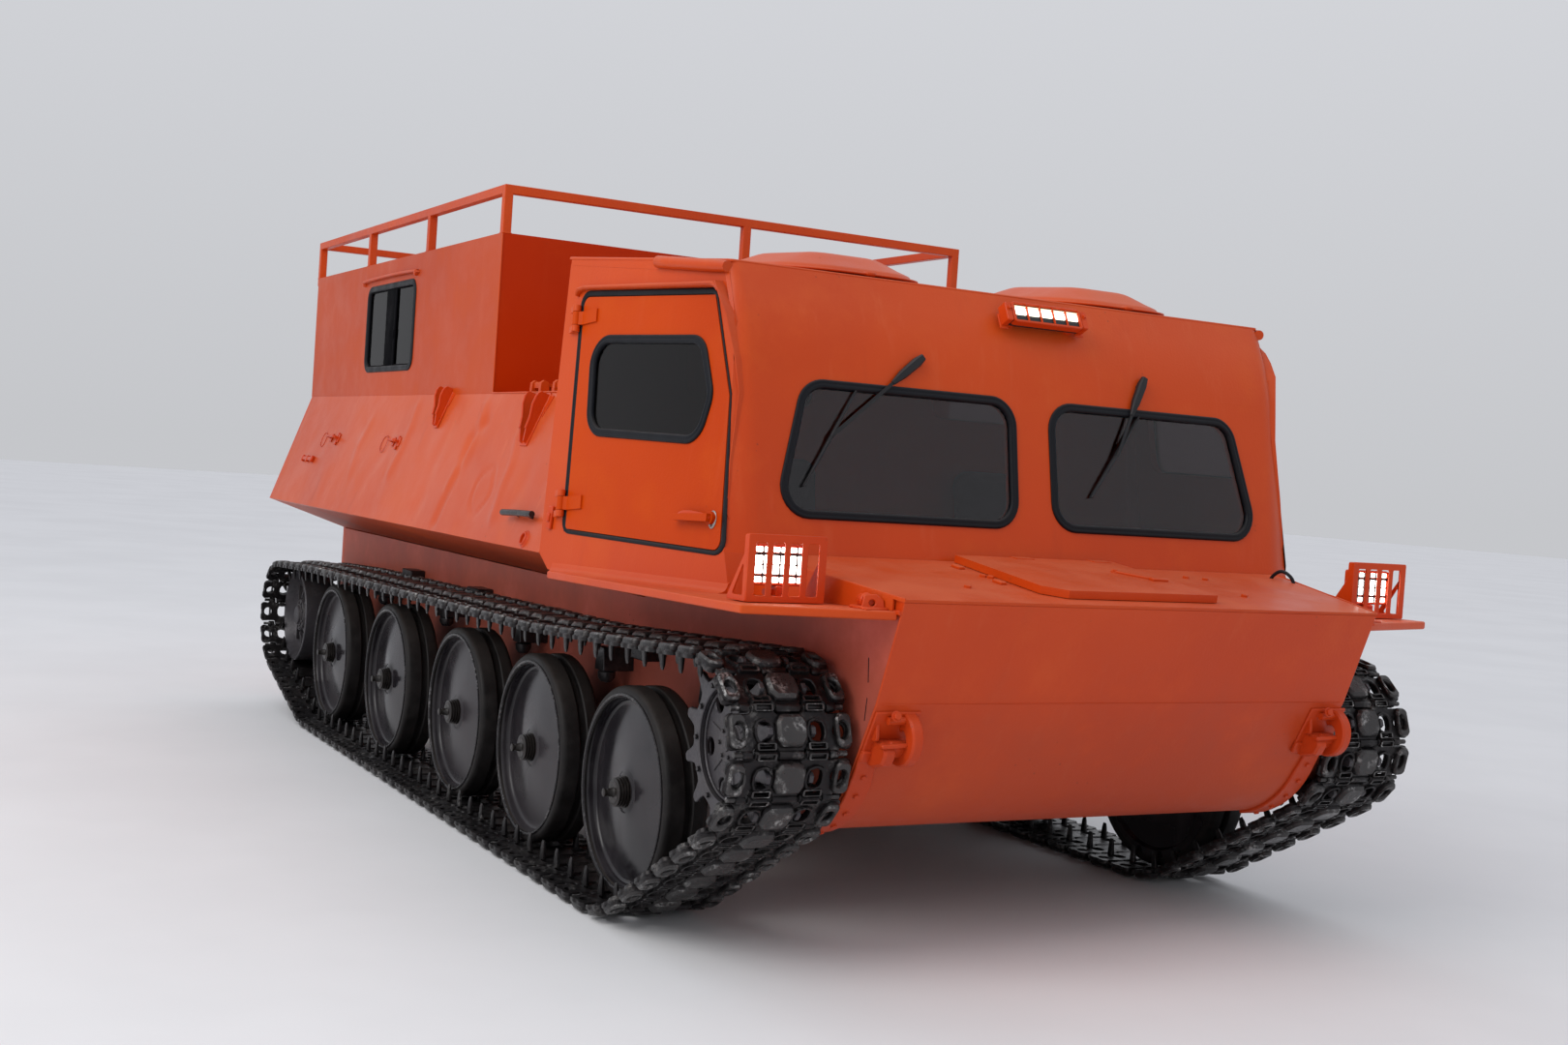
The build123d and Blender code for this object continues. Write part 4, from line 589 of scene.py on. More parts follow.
PAINT = paint("body_paint")
# slanted panels: a pinker copy of the paint, a painted sky reflection where they lean up, with more dust, runs and
# chips
PAINT_SLANT_SHEEN = paint("body_paint_slanted_sheen", base=(0.60, 0.080, 0.014), dust=0.5, streak=0.30, chips=0.7, wave=0.6)
PAINT_TOP = paint("body_paint_top", dust=0.30, streak=0.08, chips=0.5)
# bow: darker towards the bottom, painted shade where the lower plate faces down, with some dirt
PAINT_BOW = paint("body_paint_bow", base=(0.63, 0.066, 0.008), dust=0.30, streak=0.12, chips=0.6, dirt_and_shade=0.35, low=(0.95, 0.5), rough=0.40, wave=0.8)
PAINT_DOOR = paint("body_paint_door", base=(0.56, 0.056, 0.002), dust=0.10, streak=0.10, chips=0.2, wave=0.8, dirt_and_shade=0.0, spec=0.08, coat=0.02)
PAINT_LOW = paint("body_paint_low", dust=0.25, dirt_and_shade=1.0, low=(1.35, 0.62), streak=0.3, chips=0.8, rough=0.42)
PAINT_HULL = paint("body_paint_hull", base=(0.76, 0.145, 0.08), dust=0.42, dirt_and_shade=0.9, low=(1.25, 0.62), streak=0.3, chips=0.8, rough=0.42)
PAINT_BOX = paint("body_paint_box", base=(0.53, 0.059, 0.0036), spec=0.15, coat=0.03)
# box front wall: a darker, redder copy of the paint, painted shade cast by the cab
PAINT_WELL_SHADE = paint("body_paint_well_shade", base=(0.48, 0.029, 0.0012), dust=0.04, streak=0.03, chips=0.2, wave=0.5, dirt_and_shade=0.0, spec=0.08, coat=0.02)
PAINT_CAST = paint("body_paint_castings", base=(0.60, 0.052, 0.004), dust=0.1, dirt_and_shade=0.25, streak=0.1, chips=1.0, rough=0.36, wave=0.4)
FLOOR_PAINT = paint("floor_paint", base=(0.16, 0.17, 0.17), dust=0.15, dirt_and_shade=0.0, streak=0.1, chips=0.8, rough=0.55)
TRACK = steel("track_steel", (0.014, 0.012, 0.013), (0.26, 0.25, 0.24), rough=0.36, metal=0.6, amount=0.5, dust=0.22, scale=11, mud=(0.06, 0.05, 0.045))
TRACK_WORN = steel("track_worn", (0.045, 0.042, 0.042), (0.46, 0.45, 0.44), rough=0.34, metal=0.5, amount=0.9, dust=0.18, scale=17, mud=(0.10, 0.09, 0.085))
BLACK = steel("black_steel", (0.014, 0.012, 0.014), (0.11, 0.10, 0.10), rough=0.34, metal=0.25, amount=0.3, dust=0.15)


def enamel(name, base, second, rough):
    """Glossy black enamel with soft smudges."""
    m = Mat(name)
    a = m.noise(2.2, 3, 0.5)
    b = m.noise(7, 4, 0.55, stretch=(1.0, 1.0, 0.35))
    c = m.mix(m.map(b, 0.42, 0.72), m.mix(m.map(a, 0.42, 0.6), base, second), second)
    m.set(Base_Color=c, Specular_IOR_Level=0.34, Roughness=m.math("ADD", m.map(a, 0.40, 0.62, rough, rough + 0.20), m.map(b, 0.5, 0.75, 0.0, 0.08)))
    m.set(Normal=m.bump(m.noise(3.5, 2, 0.5), 0.002))
    return m.m


WHEEL = enamel("wheel_enamel", (0.010, 0.0085, 0.0105), (0.026, 0.022, 0.025), 0.13)
RIM = steel("wheel_rim_edge", (0.018, 0.016, 0.018), (0.32, 0.31, 0.31), rough=0.26, metal=0.5, amount=0.45, dust=0.1, scale=9, fine=70)
GEAR = steel("gear_grey", (0.050, 0.046, 0.052), (0.16, 0.15, 0.155), rough=0.42, metal=0.35, amount=0.4, dust=0.3, scale=6)
HUB = steel("hub_steel", (0.014, 0.011, 0.010), (0.060, 0.050, 0.045), rough=0.36, metal=0.2, amount=0.5, dust=0.15, scale=22, mud=(0.045, 0.036, 0.030))
ZINC = steel("zinc", (0.36, 0.35, 0.34), (0.6, 0.6, 0.58), rough=0.38, metal=0.85, amount=0.5, dust=0.2, scale=30)
TYRE = rubber("tyre_rubber", (0.010, 0.0085, 0.0085), 0.5, 0.12, spec=0.2)
SEAL = rubber("seal_rubber", (0.006, 0.007, 0.010), 0.42, 0.04, spec=0.16)
MATT = rubber("matt_black_trim", (0.004, 0.004, 0.005), 0.8, 0.0, spec=0.03)
PLASTIC = rubber("black_plastic", (0.012, 0.012, 0.014), 0.42, 0.08, 240)
LAMP = rubber("lamp_body", (0.018, 0.018, 0.019), 0.34, 0.1, 300)
GLASS_DARK = glass("tinted_glass", (0.055, 0.040, 0.042), film=0.04, ior=1.30)
GLASS_BOX = glass("box_glass", (0.030, 0.026, 0.028), film=0.015, ior=1.16)
GLASS_CLEAR = glass("windscreen_glass", (0.46, 0.43, 0.46), film=0.04, ior=1.42)
SEAT = cloth_like("seat_cover", (0.030, 0.030, 0.034), (0.060, 0.058, 0.062))
ENGINE = steel("engine", (0.10, 0.10, 0.105), (0.3, 0.3, 0.3), rough=0.5, metal=0.5)
RED_LENS = rubber("tail_lens", (0.35, 0.010, 0.008), 0.22, 0.1, 300)
LED = lit("led_cells", (1.0, 0.96, 0.88), 7.0)
LED_BAR = lit("led_bar_cells", (1.0, 0.93, 0.74), 2.6)
# reflector bowls behind the LED cells: painted glow of the lamp light they reflect
PAINTED_GLOW = lit("painted_glow_bowls", (1.0, 0.60, 0.22), 1.0)

# ===================================================== SHARED PLACES OF THE CAD
SIDE_A, SIDE_B, SIDE_C = 1298.3, 0.1635, 0.0891


def side_y(x, z):
    return SIDE_A - SIDE_B * x - SIDE_C * z


def side_pt(x, z, out=0.0):
    """Point on the right-hand cab side, moved outwards."""
    return tuple(Vector((x, -side_y(x, z), z)) + SIDE_N * out)


SIDE_N = Vector((SIDE_B, -1.0, SIDE_C)).normalized()
_h = math.hypot(SIDE_N.x, SIDE_N.y)
SIDE_ALONG = Vector((-SIDE_N.y / _h, SIDE_N.x / _h, 0.0))
SIDE_UP = SIDE_N.cross(SIDE_ALONG)
SIDE_O = Vector((0.0, -side_y(0.0, 1600.0), 1600.0))
SIDE = basis(SIDE_O, SIDE_N, SIDE_ALONG)


def side_uv(pts):
    out = []
    for x, z in pts:
        d = Vector((x, -side_y(x, z), z)) - SIDE_O
        out.append((d.dot(SIDE_ALONG), d.dot(SIDE_UP)))
    return out


FRONT_SLOPE = 0.17872
_f = math.hypot(FRONT_SLOPE, 1.0)
FRONT_UP = Vector((-FRONT_SLOPE / _f, 0, 1 / _f))
FRONT_N = Vector((1 / _f, 0, FRONT_SLOPE / _f))
FRONT = basis((361.0, 0, 1880.0), FRONT_N, (0, 1, 0))


def front_uv(pts):
    return [(y, (z - 1880.0) / FRONT_UP.z) for y, z in pts]


def inset(pts, t):
    return offset(ccw(pts), -t)


def deck_z(x):
    return 1192.0 - (x - 487.0) * 76.0 / 606.0


DECK_N = Vector((76.0, 0, 606.0)).normalized()


def shelf_top(x):
    return 1048.0 + (x + 600.0) * 31.0 / 1527.0


def roof_top(x):
    return 2125.0 - (x + 655.0) * 71.0 / 932.0


ROOF_PITCH = math.atan(71.0 / 932.0)
ROOF_N = Vector((math.sin(ROOF_PITCH), 0, math.cos(ROOF_PITCH)))


def roof_at(x, y, lift=0.0):
    return basis(Vector((x, y, roof_top(x))) + ROOF_N * lift, ROOF_N)


def cab_rear_x(z):
    return -582.0 - 0.0716 * (z - 1106.0)


SL = math.hypot(197.0, 565.0)
SLANT_UP = Vector((0, 197.0 / SL, 565.0 / SL))
SLANT_N = Vector((0, -565.0 / SL, 197.0 / SL))


def slant(x, t, out=0.0):
    """Point on the slanted right-hand panel: t down from the belt, moved outwards."""
    return Vector((x, -1098.0, 1670.0)) - SLANT_UP * t + SLANT_N * out


def slant_at(x, t, out=0.0):
    return basis(slant(x, t, out), SLANT_N)


# ===================================================================== TRACKS
WHEEL_X = [-50.0, -892.0, -1735.0, -2708.0, -3682.0]
WHEEL_Z, PATH_Z, CHORD = 384.0, 30.0, 12.0
SPROCKET, SPROCKET_R = (648.0, 655.0), 250.0
IDLER, IDLER_R = (-4450.0, 492.0), 266.0
RUN_TOP = [(-3700.0, 788.0), (-2340.0, 808.0), (-660.0, 836.0)]
SHOES = 92


def tangent(c1, r1, c2, r2):
    dx, dz = c2[0] - c1[0], c2[1] - c1[1]
    a = math.atan2(dz, dx) + math.acos((r1 - r2) / math.hypot(dx, dz))
    return ((c1[0] + r1 * math.cos(a), c1[1] + r1 * math.sin(a)), (c2[0] + r2 * math.cos(a), c2[1] + r2 * math.sin(a)))


def track_path():
    wr = WHEEL_Z - PATH_Z + CHORD
    pts = []

    def bow(c, r, a0, a1, n):
        for i in range(n + 1):
            a = a0 + (a1 - a0) * i / n
            pts.append((c[0] + r * math.cos(a), c[1] + r * math.sin(a)))

    p0, p1 = tangent(SPROCKET, SPROCKET_R, (WHEEL_X[0], WHEEL_Z), wr)
    a_ramp = math.atan2(p0[1] - SPROCKET[1], p0[0] - SPROCKET[0])
    q0, q1 = tangent((WHEEL_X[-1], WHEEL_Z), wr, IDLER, IDLER_R)
    a_rear = math.atan2(q0[1] - WHEEL_Z, q0[0] - WHEEL_X[-1])
    lift = math.acos((WHEEL_Z - PATH_Z) / wr)
    bow((WHEEL_X[-1], WHEEL_Z), wr, a_rear, -math.pi / 2 - lift, 16)
    bow((WHEEL_X[0], WHEEL_Z), wr, -math.pi / 2 + lift, a_ramp, 16)
    top = RUN_TOP[::-1]

    def up(c, r, p, sgn):
        dx, dz = p[0] - c[0], p[1] - c[1]
        return math.atan2(dz, dx) + sgn * math.acos(r / math.hypot(dx, dz))

    bow(SPROCKET, SPROCKET_R, a_ramp, up(SPROCKET, SPROCKET_R, top[0], -1), 24)
    pts.extend(top)
    bow(IDLER, IDLER_R, up(IDLER, IDLER_R, top[-1], 1), a_rear + 2 * math.pi, 24)
    return pts


def walk(pts, n):
    closed = pts + [pts[0]]
    seg = [math.dist(closed[i], closed[i + 1]) for i in range(len(pts))]
    total, out, i, done = sum(seg), [], 0, 0.0
    for k in range(n):
        want = total * k / n
        while done + seg[i] < want:
            done += seg[i]
            i += 1
        f = (want - done) / seg[i] if seg[i] else 0.0
        a, b = closed[i], closed[i + 1]
        out.append((a[0] + (b[0] - a[0]) * f, a[1] + (b[1] - a[1]) * f))
    return out, total


JOINTS, LOOP = walk(track_path(), SHOES)
P = LOOP / SHOES


def shoe():
    """One cast track shoe: s along the track, w across, n outwards."""
    half = [(-14, 38), (17, 43), (17, 117), (-12, 121), (-12, 150), (15, 154), (11, 183), (22, 195), (50, 195), (56, 190),
            (74, 190), (80, 195), (104, 195), (116, 184), (P - 16, 153), (P - 16, 119), (P + 12, 114), (P + 12, 46), (P - 16, 41)]
    r = [5, 6, 6, 4, 4, 5, 9, 7, 3, 3, 3, 3, 9, 8, 4, 5, 5, 5, 6]
    outline = rounded([(s, w) for s, w in half] + [(s, -w) for s, w in reversed(half)], r + r[::-1], 1)
    windows = [rounded(rect(62, k * 82, 58, 46), 19, 2) for k in (-1, 1)]
    lobes = [circle(63, k * 157, 21, 12, 20) for k in (-1, 1)]
    g = prism([outline] + windows + lobes, [(1.5, -9), (0, 2), (4, 7)])
    for k in (-1, 1):
        # walls round the tooth window and the lobe's hooked rim
        g.put(ring(rounded(rect(62, k * 82, 58, 46), 19, 2), [(0, 2), (0, 13), (3, 16), (8, 15), (11, 4)]))
        hook = rounded([(24, k * 140), (100, k * 140), (114, k * 152), (113, k * 180), (100, k * 191), (28, k * 191), (15, k * 180), (14, k * 152)], 9, 1)
        g.put(prism([hook, circle(63, k * 161, 24, 12, 17)], [(0, 3), (1, 17), (6, 24)]))
        g.m[-1:] = g.m[-1:]
        # slotted pads over both hinges
        for s in (20, P - 1):
            g.put(prism([rounded(rect(s, k * 80, 27, 66), 6, 1), rect(s, k * 80, 8, 40)], [(0, 4), (3.5, 18)]))
        # guide horn
        horn = rounded(rect(22, k * 88, 28, 15), 4, 1)
        g.put(prism([horn], [(-1, -7), (0, -22), (2.5, -56), (6.0, -71)]))
        # hinge knuckles
        for s, w, l in ((0, 135.5, 29), (P, 80, 68)):
            g.put(lathe([(-l / 2, 0), (-l / 2, 11.5), (-l / 2 + 2, 13), (l / 2 - 2, 13), (l / 2, 11.5), (l / 2, 0)], 8),
                  basis((s, k * w, 0), (0, 1, 0)))
        g.put(lathe([(-20, 0), (-20, 8), (20, 8), (20, 0)], 8), basis((0, k * 156, 0), (0, 1, 0)), mat=1)
    g.put(lathe([(-38, 0), (-38, 11.5), (-36, 13), (36, 13), (38, 11.5), (38, 0)], 8), basis((0, 0, 0), (0, 1, 0)))
    # raised bar in the middle
    g.put(prism([rounded([(16, -34), (16, 34), (40, 50), (88, 50), (112, 34), (112, -34), (88, -50), (40, -50)], 8, 1)],
                [(0, 4), (3, 20), (12, 30)]))
    orient(g)
    # rubbed tops
    v = g.v
    g.m = [1 if (m == 1 or min(v[i][2] for i in q) > 15.5) else 0 for q, m in zip(g.f, g.m)]
    return g


SHOE = shoe()


def track(side):
    base = np.array(SHOE.v)
    nv = len(base)
    out, faces, mats = [], [], []
    for i in range(SHOES):
        a, b = JOINTS[i], JOINTS[(i + 1) % SHOES]
        dx, dz = b[0] - a[0], b[1] - a[1]
        s = math.hypot(dx, dz)
        t, n = (dx / s, dz / s), (dz / s, -dx / s)
        q = base.copy()
        q[:, 0] *= s / P
        x = a[0] + t[0] * q[:, 0] + n[0] * q[:, 2]
        z = a[1] + t[1] * q[:, 0] + n[1] * q[:, 2]
        y = -(1100.0 + q[:, 1])
        out.append(np.stack([x, y * side, z], 1))
        o = i * nv
        if side > 0:
            faces += [tuple(k + o for k in f) for f in SHOE.f]
        else:
            faces += [tuple(k + o for k in reversed(f)) for f in SHOE.f]
        mats += SHOE.m
    g = Geo()
    g.v, g.f, g.m = np.concatenate(out), faces, mats
    return g


for side, name in ((1, "right"), (-1, "left")):
    piece(f"track_shoes_{name}", track(side), "hull", [TRACK, TRACK_WORN], [f"track_{name}"], sharp=38, fix=False)

# ================================================================ ROAD WHEELS
RIGHT = (0, -1, 0)
disc = [(1040, 0), (1040, 270), (1026, 280), (1026, 306), (1030, 310), (1170, 314), (1176, 313), (1178, 310), (1177, 306), (1173, 303),
        (1168, 302.5), (1165, 300), (1150, 298), (1139, 296), (1134, 292), (1131.5, 286), (1131, 276), (1132, 262), (1135.5, 230), (1140, 195),
        (1145, 160), (1149, 125), (1152.5, 96), (1155, 74), (1157, 66), (1161, 61), (1161, 0)]
hub = [(1148, 0), (1148, 55), (1161, 55)]
for k in range(4):
    z0 = 1162 + k * 9.0
    hub += [(z0, 43), (z0 + 2.0, 43), (z0 + 2.8, 50.5 - k * 1.6), (z0 + 7.2, 50.5 - k * 1.6), (z0 + 8.2, 47 - k * 1.6)]
hub += [(1199, 38), (1201, 35), (1201, 17), (1205, 14), (1221, 12.5), (1223, 10), (1225, 13.5), (1233, 13.5), (1235, 10), (1235, 0)]
tyre = [(1027, 300), (1026, 322), (1029, 331), (1036, 337), (1046, 338.8), (1078, 338.8), (1082, 335), (1084, 322), (1104, 322), (1106, 335),
        (1110, 338.8), (1154, 338.8), (1164, 337), (1171, 331), (1174, 322), (1173, 300)]
wheels, hubs, tyres, rims = Geo(), Geo(), Geo(), Geo()
rim_edge = [(1168, 313.5), (1176.6, 313.4), (1178.8, 310), (1178.2, 306.2), (1175, 303.0), (1170, 302.8)]
for x in WHEEL_X:
    at = basis((x, 0, WHEEL_Z), RIGHT)
    wheels.put(lathe(disc, 72), at)
    rims.put(lathe(rim_edge, 72, closed=True), at)
    hubs.put(lathe(hub, 28), at)
    tyres.put(lathe(tyre, 72, closed=True), at)
piece("wheel_discs", wheels.both(), "hull", WHEEL, ["road_wheels"], sharp=40)
piece("wheel_rim_edges", rims.both(), "hull", RIM, sharp=50)
piece("wheel_hubs", hubs.both(), "hull", HUB)
piece("wheel_bands", tyres.both(), "hull", TYRE, ["wheel_tyres"])

# ============================================================ DRIVE SPROCKETS
best = None
for i in range(SHOES):
    a, b = JOINTS[i], JOINTS[(i + 1) % SHOES]
    c = ((a[0] + b[0]) / 2, (a[1] + b[1]) / 2)
    d = abs(math.dist(c, SPROCKET) - SPROCKET_R)
    if c[0] > SPROCKET[0] + 180 and (best is None or abs(c[1] - SPROCKET[1]) < best[0]):
        n = ((b[1] - a[1]), -(b[0] - a[0]))
        f = 62.0 / P
        w = (a[0] + (b[0] - a[0]) * f, a[1] + (b[1] - a[1]) * f)
        best = (abs(c[1] - SPROCKET[1]), math.degrees(math.atan2(w[1] - SPROCKET[1], w[0] - SPROCKET[0])))
TOOTH = best[1]
gear = []
for k in range(12):
    c = TOOTH + k * 30.0
    for da, r in ((-11, 204), (-7.5, 208), (-5.2, 226), (-3.6, 252), (-2.0, 261), (2.0, 261), (3.6, 252), (5.2, 226), (7.5, 208), (11, 204)):
        a = math.radians(c + da)
        gear.append((r * math.cos(a), r * math.sin(a)))
sprockets, covers, bolts = Geo(), Geo(), Geo()
at = basis((SPROCKET[0], 0, SPROCKET[1]), RIGHT)
sprockets.put(prism([gear, circle(0, 0, 168, 48)], [(2, 1158), (0, 1160), (0, 1171), (2.5, 1173)]), at)
sprockets.put(prism([gear, circle(0, 0, 190, 48)], [(2, 1024), (0, 1026), (0, 1036), (2, 1038)]), at)
sprockets.put(lathe([(1010, 178), (1010, 202), (1162, 202), (1162, 170), (1154, 170), (1154, 194), (1018, 194), (1018, 178)], 56, closed=True), at)
holes = [circle(138 * math.cos(math.radians(a)), 138 * math.sin(math.radians(a)), 27, 18) for a in range(12, 372, 60)]
sprockets.put(prism([circle(0, 0, 164, 56)] + holes, [(2, 1138), (0, 1140), (0, 1149), (2.5, 1152)]), at)
sprockets.put(ring(circle(0, 0, 164, 56), [(-6, 1150), (-6, 1157), (-3, 1160), (1, 1158), (1, 1150)]), at)
for a in range(0, 360, 60):
    sprockets.put(Geo().put(block(74, 10, 20, 2), move(98, 0, 1146)), at @ turn(a + 42))
sprockets.put(lathe([(1030, 0), (1030, 66), (1146, 66), (1154, 62), (1156, 56), (1166, 54), (1170, 50), (1170, 22), (1174, 20), (1174, 0)], 32), at)
for k in range(12):
    bolts.put(Geo().put(hexbolt(8, 8), move(182, 0, 1172)), at @ turn(TOOTH + 15 + k * 30))
for k in range(6):
    bolts.put(Geo().put(hexbolt(6, 6), move(40, 0, 1169)), at @ turn(k * 60))
covers.put(lathe([(905, 0), (905, 150), (1100, 158), (1108, 152), (1112, 120), (1112, 0)], 40), at)
piece("sprocket_gears", sprockets.both(), "hull", GEAR, ["drive_sprockets"], sharp=30)
piece("sprocket_bolts", bolts.both(), "hull", BLACK)
piece("final_drive_covers", covers.both(), "hull", PAINT_LOW)

# ============================================================== IDLER WHEELS
idl = Geo()
at = basis((IDLER[0], 0, IDLER[1]), RIGHT)
idl.put(lathe([(1050, 60), (1050, 190), (1028, 200), (1028, 238), (1031, 241), (1168, 241), (1172, 238), (1172, 228), (1164, 222), (1128, 214),
               (1112, 206), (1108, 196), (1108, 96), (1128, 88), (1146, 82), (1146, 60)], 64, closed=True), at)
idl.put(lathe([(1052, 0), (1052, 58), (1150, 58), (1152, 50), (1162, 48), (1166, 42), (1166, 0)], 32), at)
for a in range(0, 360, 45):
    web = prism([rounded([(0, 0), (112, 0), (112, 16), (0, 36)], 3, 1)], [(1, -5), (0, -4), (0, 4), (1, 5)])
    idl.put(web, at @ turn(a) @ basis((90, 0, 1106), (0, -1, 0), (1, 0, 0)))
for a in range(0, 360, 45):
    idl.put(Geo().put(hexbolt(7, 6), move(70, 0, 1144)), at @ turn(a + 22))
piece("idler_discs", idl.both(), "hull", GEAR, ["idler_wheels"], sharp=30)

# =========================================================== SUSPENSION EXTRAS
sus = Geo()
for x in WHEEL_X:
    px = x + 250.0
    at = basis((px, -874, 470), RIGHT)
    sus.put(lathe([(0, 50), (0, 96), (10, 98), (16, 92), (18, 70), (40, 62), (44, 50)], 32, closed=True), at)
    for a in range(30, 390, 60):
        sus.put(Geo().put(hexbolt(8, 7), move(82, 0, 15)), at @ turn(a))
    sus.put(lathe([(118, 0), (118, 66), (122, 70), (178, 70), (186, 62), (188, 0)], 28), basis((px, -812, 470), RIGHT))
    # bump stop on its bracket
    sus.put(prism([rounded([(-42, 0), (42, 0), (30, 84), (-30, 84)], 8, 2)], [(2, 0), (0, 2), (0, 118), (2, 120)]),
            basis((x + 196, -878, 690), (0, -1, 0), (1, 0, 0)))
    sus.put(lathe([(0, 0), (0, 26), (6, 32), (26, 30), (40, 20), (44, 0)], 20), basis((x + 196, -968, 690), (0, 0, -1)))
for x in (-490.0, -1330.0, -2240.0, -3210.0):
    sus.put(Geo().put(block(150, 70, 90, 4)), move(x, -917, 800))
piece("suspension_fittings", sus.both(), "hull", BLACK)

# ============================================================ SLANTED PANELS
RIDGES = [  # points of the line (x, down), height, half width
    ([(-1733, 41), (-1695, 154), (-1697, 250), (-1776, 341), (-1792, 406)], 9, 34),
    ([(-1656, 129), (-1754, 211), (-1753, 340), (-1782, 454), (-1798, 559)], -11, 30),
    ([(-2642, 49), (-2616, 156), (-2633, 273), (-2673, 373)], 8, 38),
    ([(-3289, 145), (-3339, 271), (-3295, 395)], 6, 44),
    ([(-1236, 186), (-1185, 290), (-1188, 380), (-1160, 497)], 8, 34),
    ([(-2060, 120), (-2110, 300), (-2080, 480)], -5, 70),
    ([(-2900, 240), (-3000, 420)], -5, 80),
    ([(-3900, 330), (-3700, 480)], 5, 70),
    ([(-980, 330), (-1040, 470)], -5, 60),
]
OVAL = [(-1348, 318), (-1293, 414), (-1374, 502), (-1473, 454), (-1485, 377), (-1432, 328)]


def near(px, py, line, loop=False):
    """Distance from many points to a broken line."""
    best = np.full(px.shape, 1e9)
    pts = line + [line[0]] if loop else line
    for (ax, ay), (bx, by) in zip(pts, pts[1:]):
        dx, dy = bx - ax, by - ay
        k = np.clip(((px - ax) * dx + (py - ay) * dy) / (dx * dx + dy * dy), 0, 1)
        best = np.minimum(best, np.hypot(px - ax - k * dx, py - ay - k * dy))
    return best


def panel(ridges, oval, seed):
    nu, nt = 270, 38
    ts = np.linspace(0, SL, nt + 1)
    us = np.linspace(0, 1, nu + 1)
    T, U = np.meshgrid(ts, us)
    z = 1670.0 - T * 565.0 / SL
    x1 = -582.0 - 0.0716 * (z - 1106.0) - 1.0
    X = -4620.0 + (x1 + 4620.0) * U
    D = np.zeros_like(X)
    for line, h, w in ridges:
        D += h * np.exp(-(near(X, T, line) / w) ** 2)
    if oval:
        smooth = [tuple(p)[:2] for p in bezier([(*p, 0) for p in oval + oval[:2]], 6)]
        D += -5.0 * np.exp(-(near(X, T, smooth, True) / 11.0) ** 2)
    low = np.array([noise.noise(Vector((a / 420.0, b / 300.0, seed))) for a, b in zip(X.ravel(), T.ravel())]).reshape(X.shape)
    mid = np.array([noise.noise(Vector((a / 130.0, b / 110.0, seed + 9))) for a, b in zip(X.ravel(), T.ravel())]).reshape(X.shape)
    D += low * 6.0 + mid * 1.6
    edge = np.clip(T / 50.0, 0, 1) * np.clip((SL - T) / 26.0, 0.12, 1) * np.clip((X + 4620) / 60, 0, 1) * np.clip((x1 - X) / 60, 0, 1)
    D *= edge
    # bottom edge turned over, and beaten a little
    wob = np.array([noise.noise(Vector((a / 160.0, 3.3, seed))) for a in X.ravel()]).reshape(X.shape)
    D += np.exp(-((SL - T) / 12.0) ** 2) * wob * 3.0
    y = -1098.0 - T * 197.0 / SL + D * SLANT_N.y
    zz = z + D * SLANT_N.z
    top = np.stack([X, y, zz], 2).reshape(-1, 3)
    verts = top.tolist()
    w = nt + 1
    faces = [(i * w + j, (i + 1) * w + j, (i + 1) * w + j + 1, i * w + j + 1) for i in range(nu) for j in range(nt)]
    rim = [j for j in range(w)] + [i * w + nt for i in range(1, nu + 1)] + [nu * w + j for j in range(nt - 1, -1, -1)] + [i * w for i in range(nu - 1, 0, -1)]
    o = len(verts)
    # lower edge of the sheet lies on the sponson's floor, 24 behind
    for r in rim:
        p = Vector((X.ravel()[r], -1098.0 - T.ravel()[r] * 197.0 / SL, z.ravel()[r])) - SLANT_N * 22.0
        verts.append(tuple(p))
    n = len(rim)
    faces += [(rim[k], rim[(k + 1) % n], o + (k + 1) % n, o + k) for k in range(n)]
    faces.append(tuple(o + k for k in range(n)))
    return Geo().add(verts, faces)


def other_side(ridges, shift):
    return [([(x + shift, t) for x, t in line], h, w) for line, h, w in ridges]


panels = panel(RIDGES, OVAL, 1.7)
left = panel(other_side(RIDGES[::2], -420) + other_side(RIDGES[1:4:2], 260), None, 6.1).mirrored()
piece("side_panels", panels.put(left), "hull", PAINT_SLANT_SHEEN, ["sponson_panels"], sharp=50)

# fittings along the slanted panels
fit, dark = Geo(), Geo()
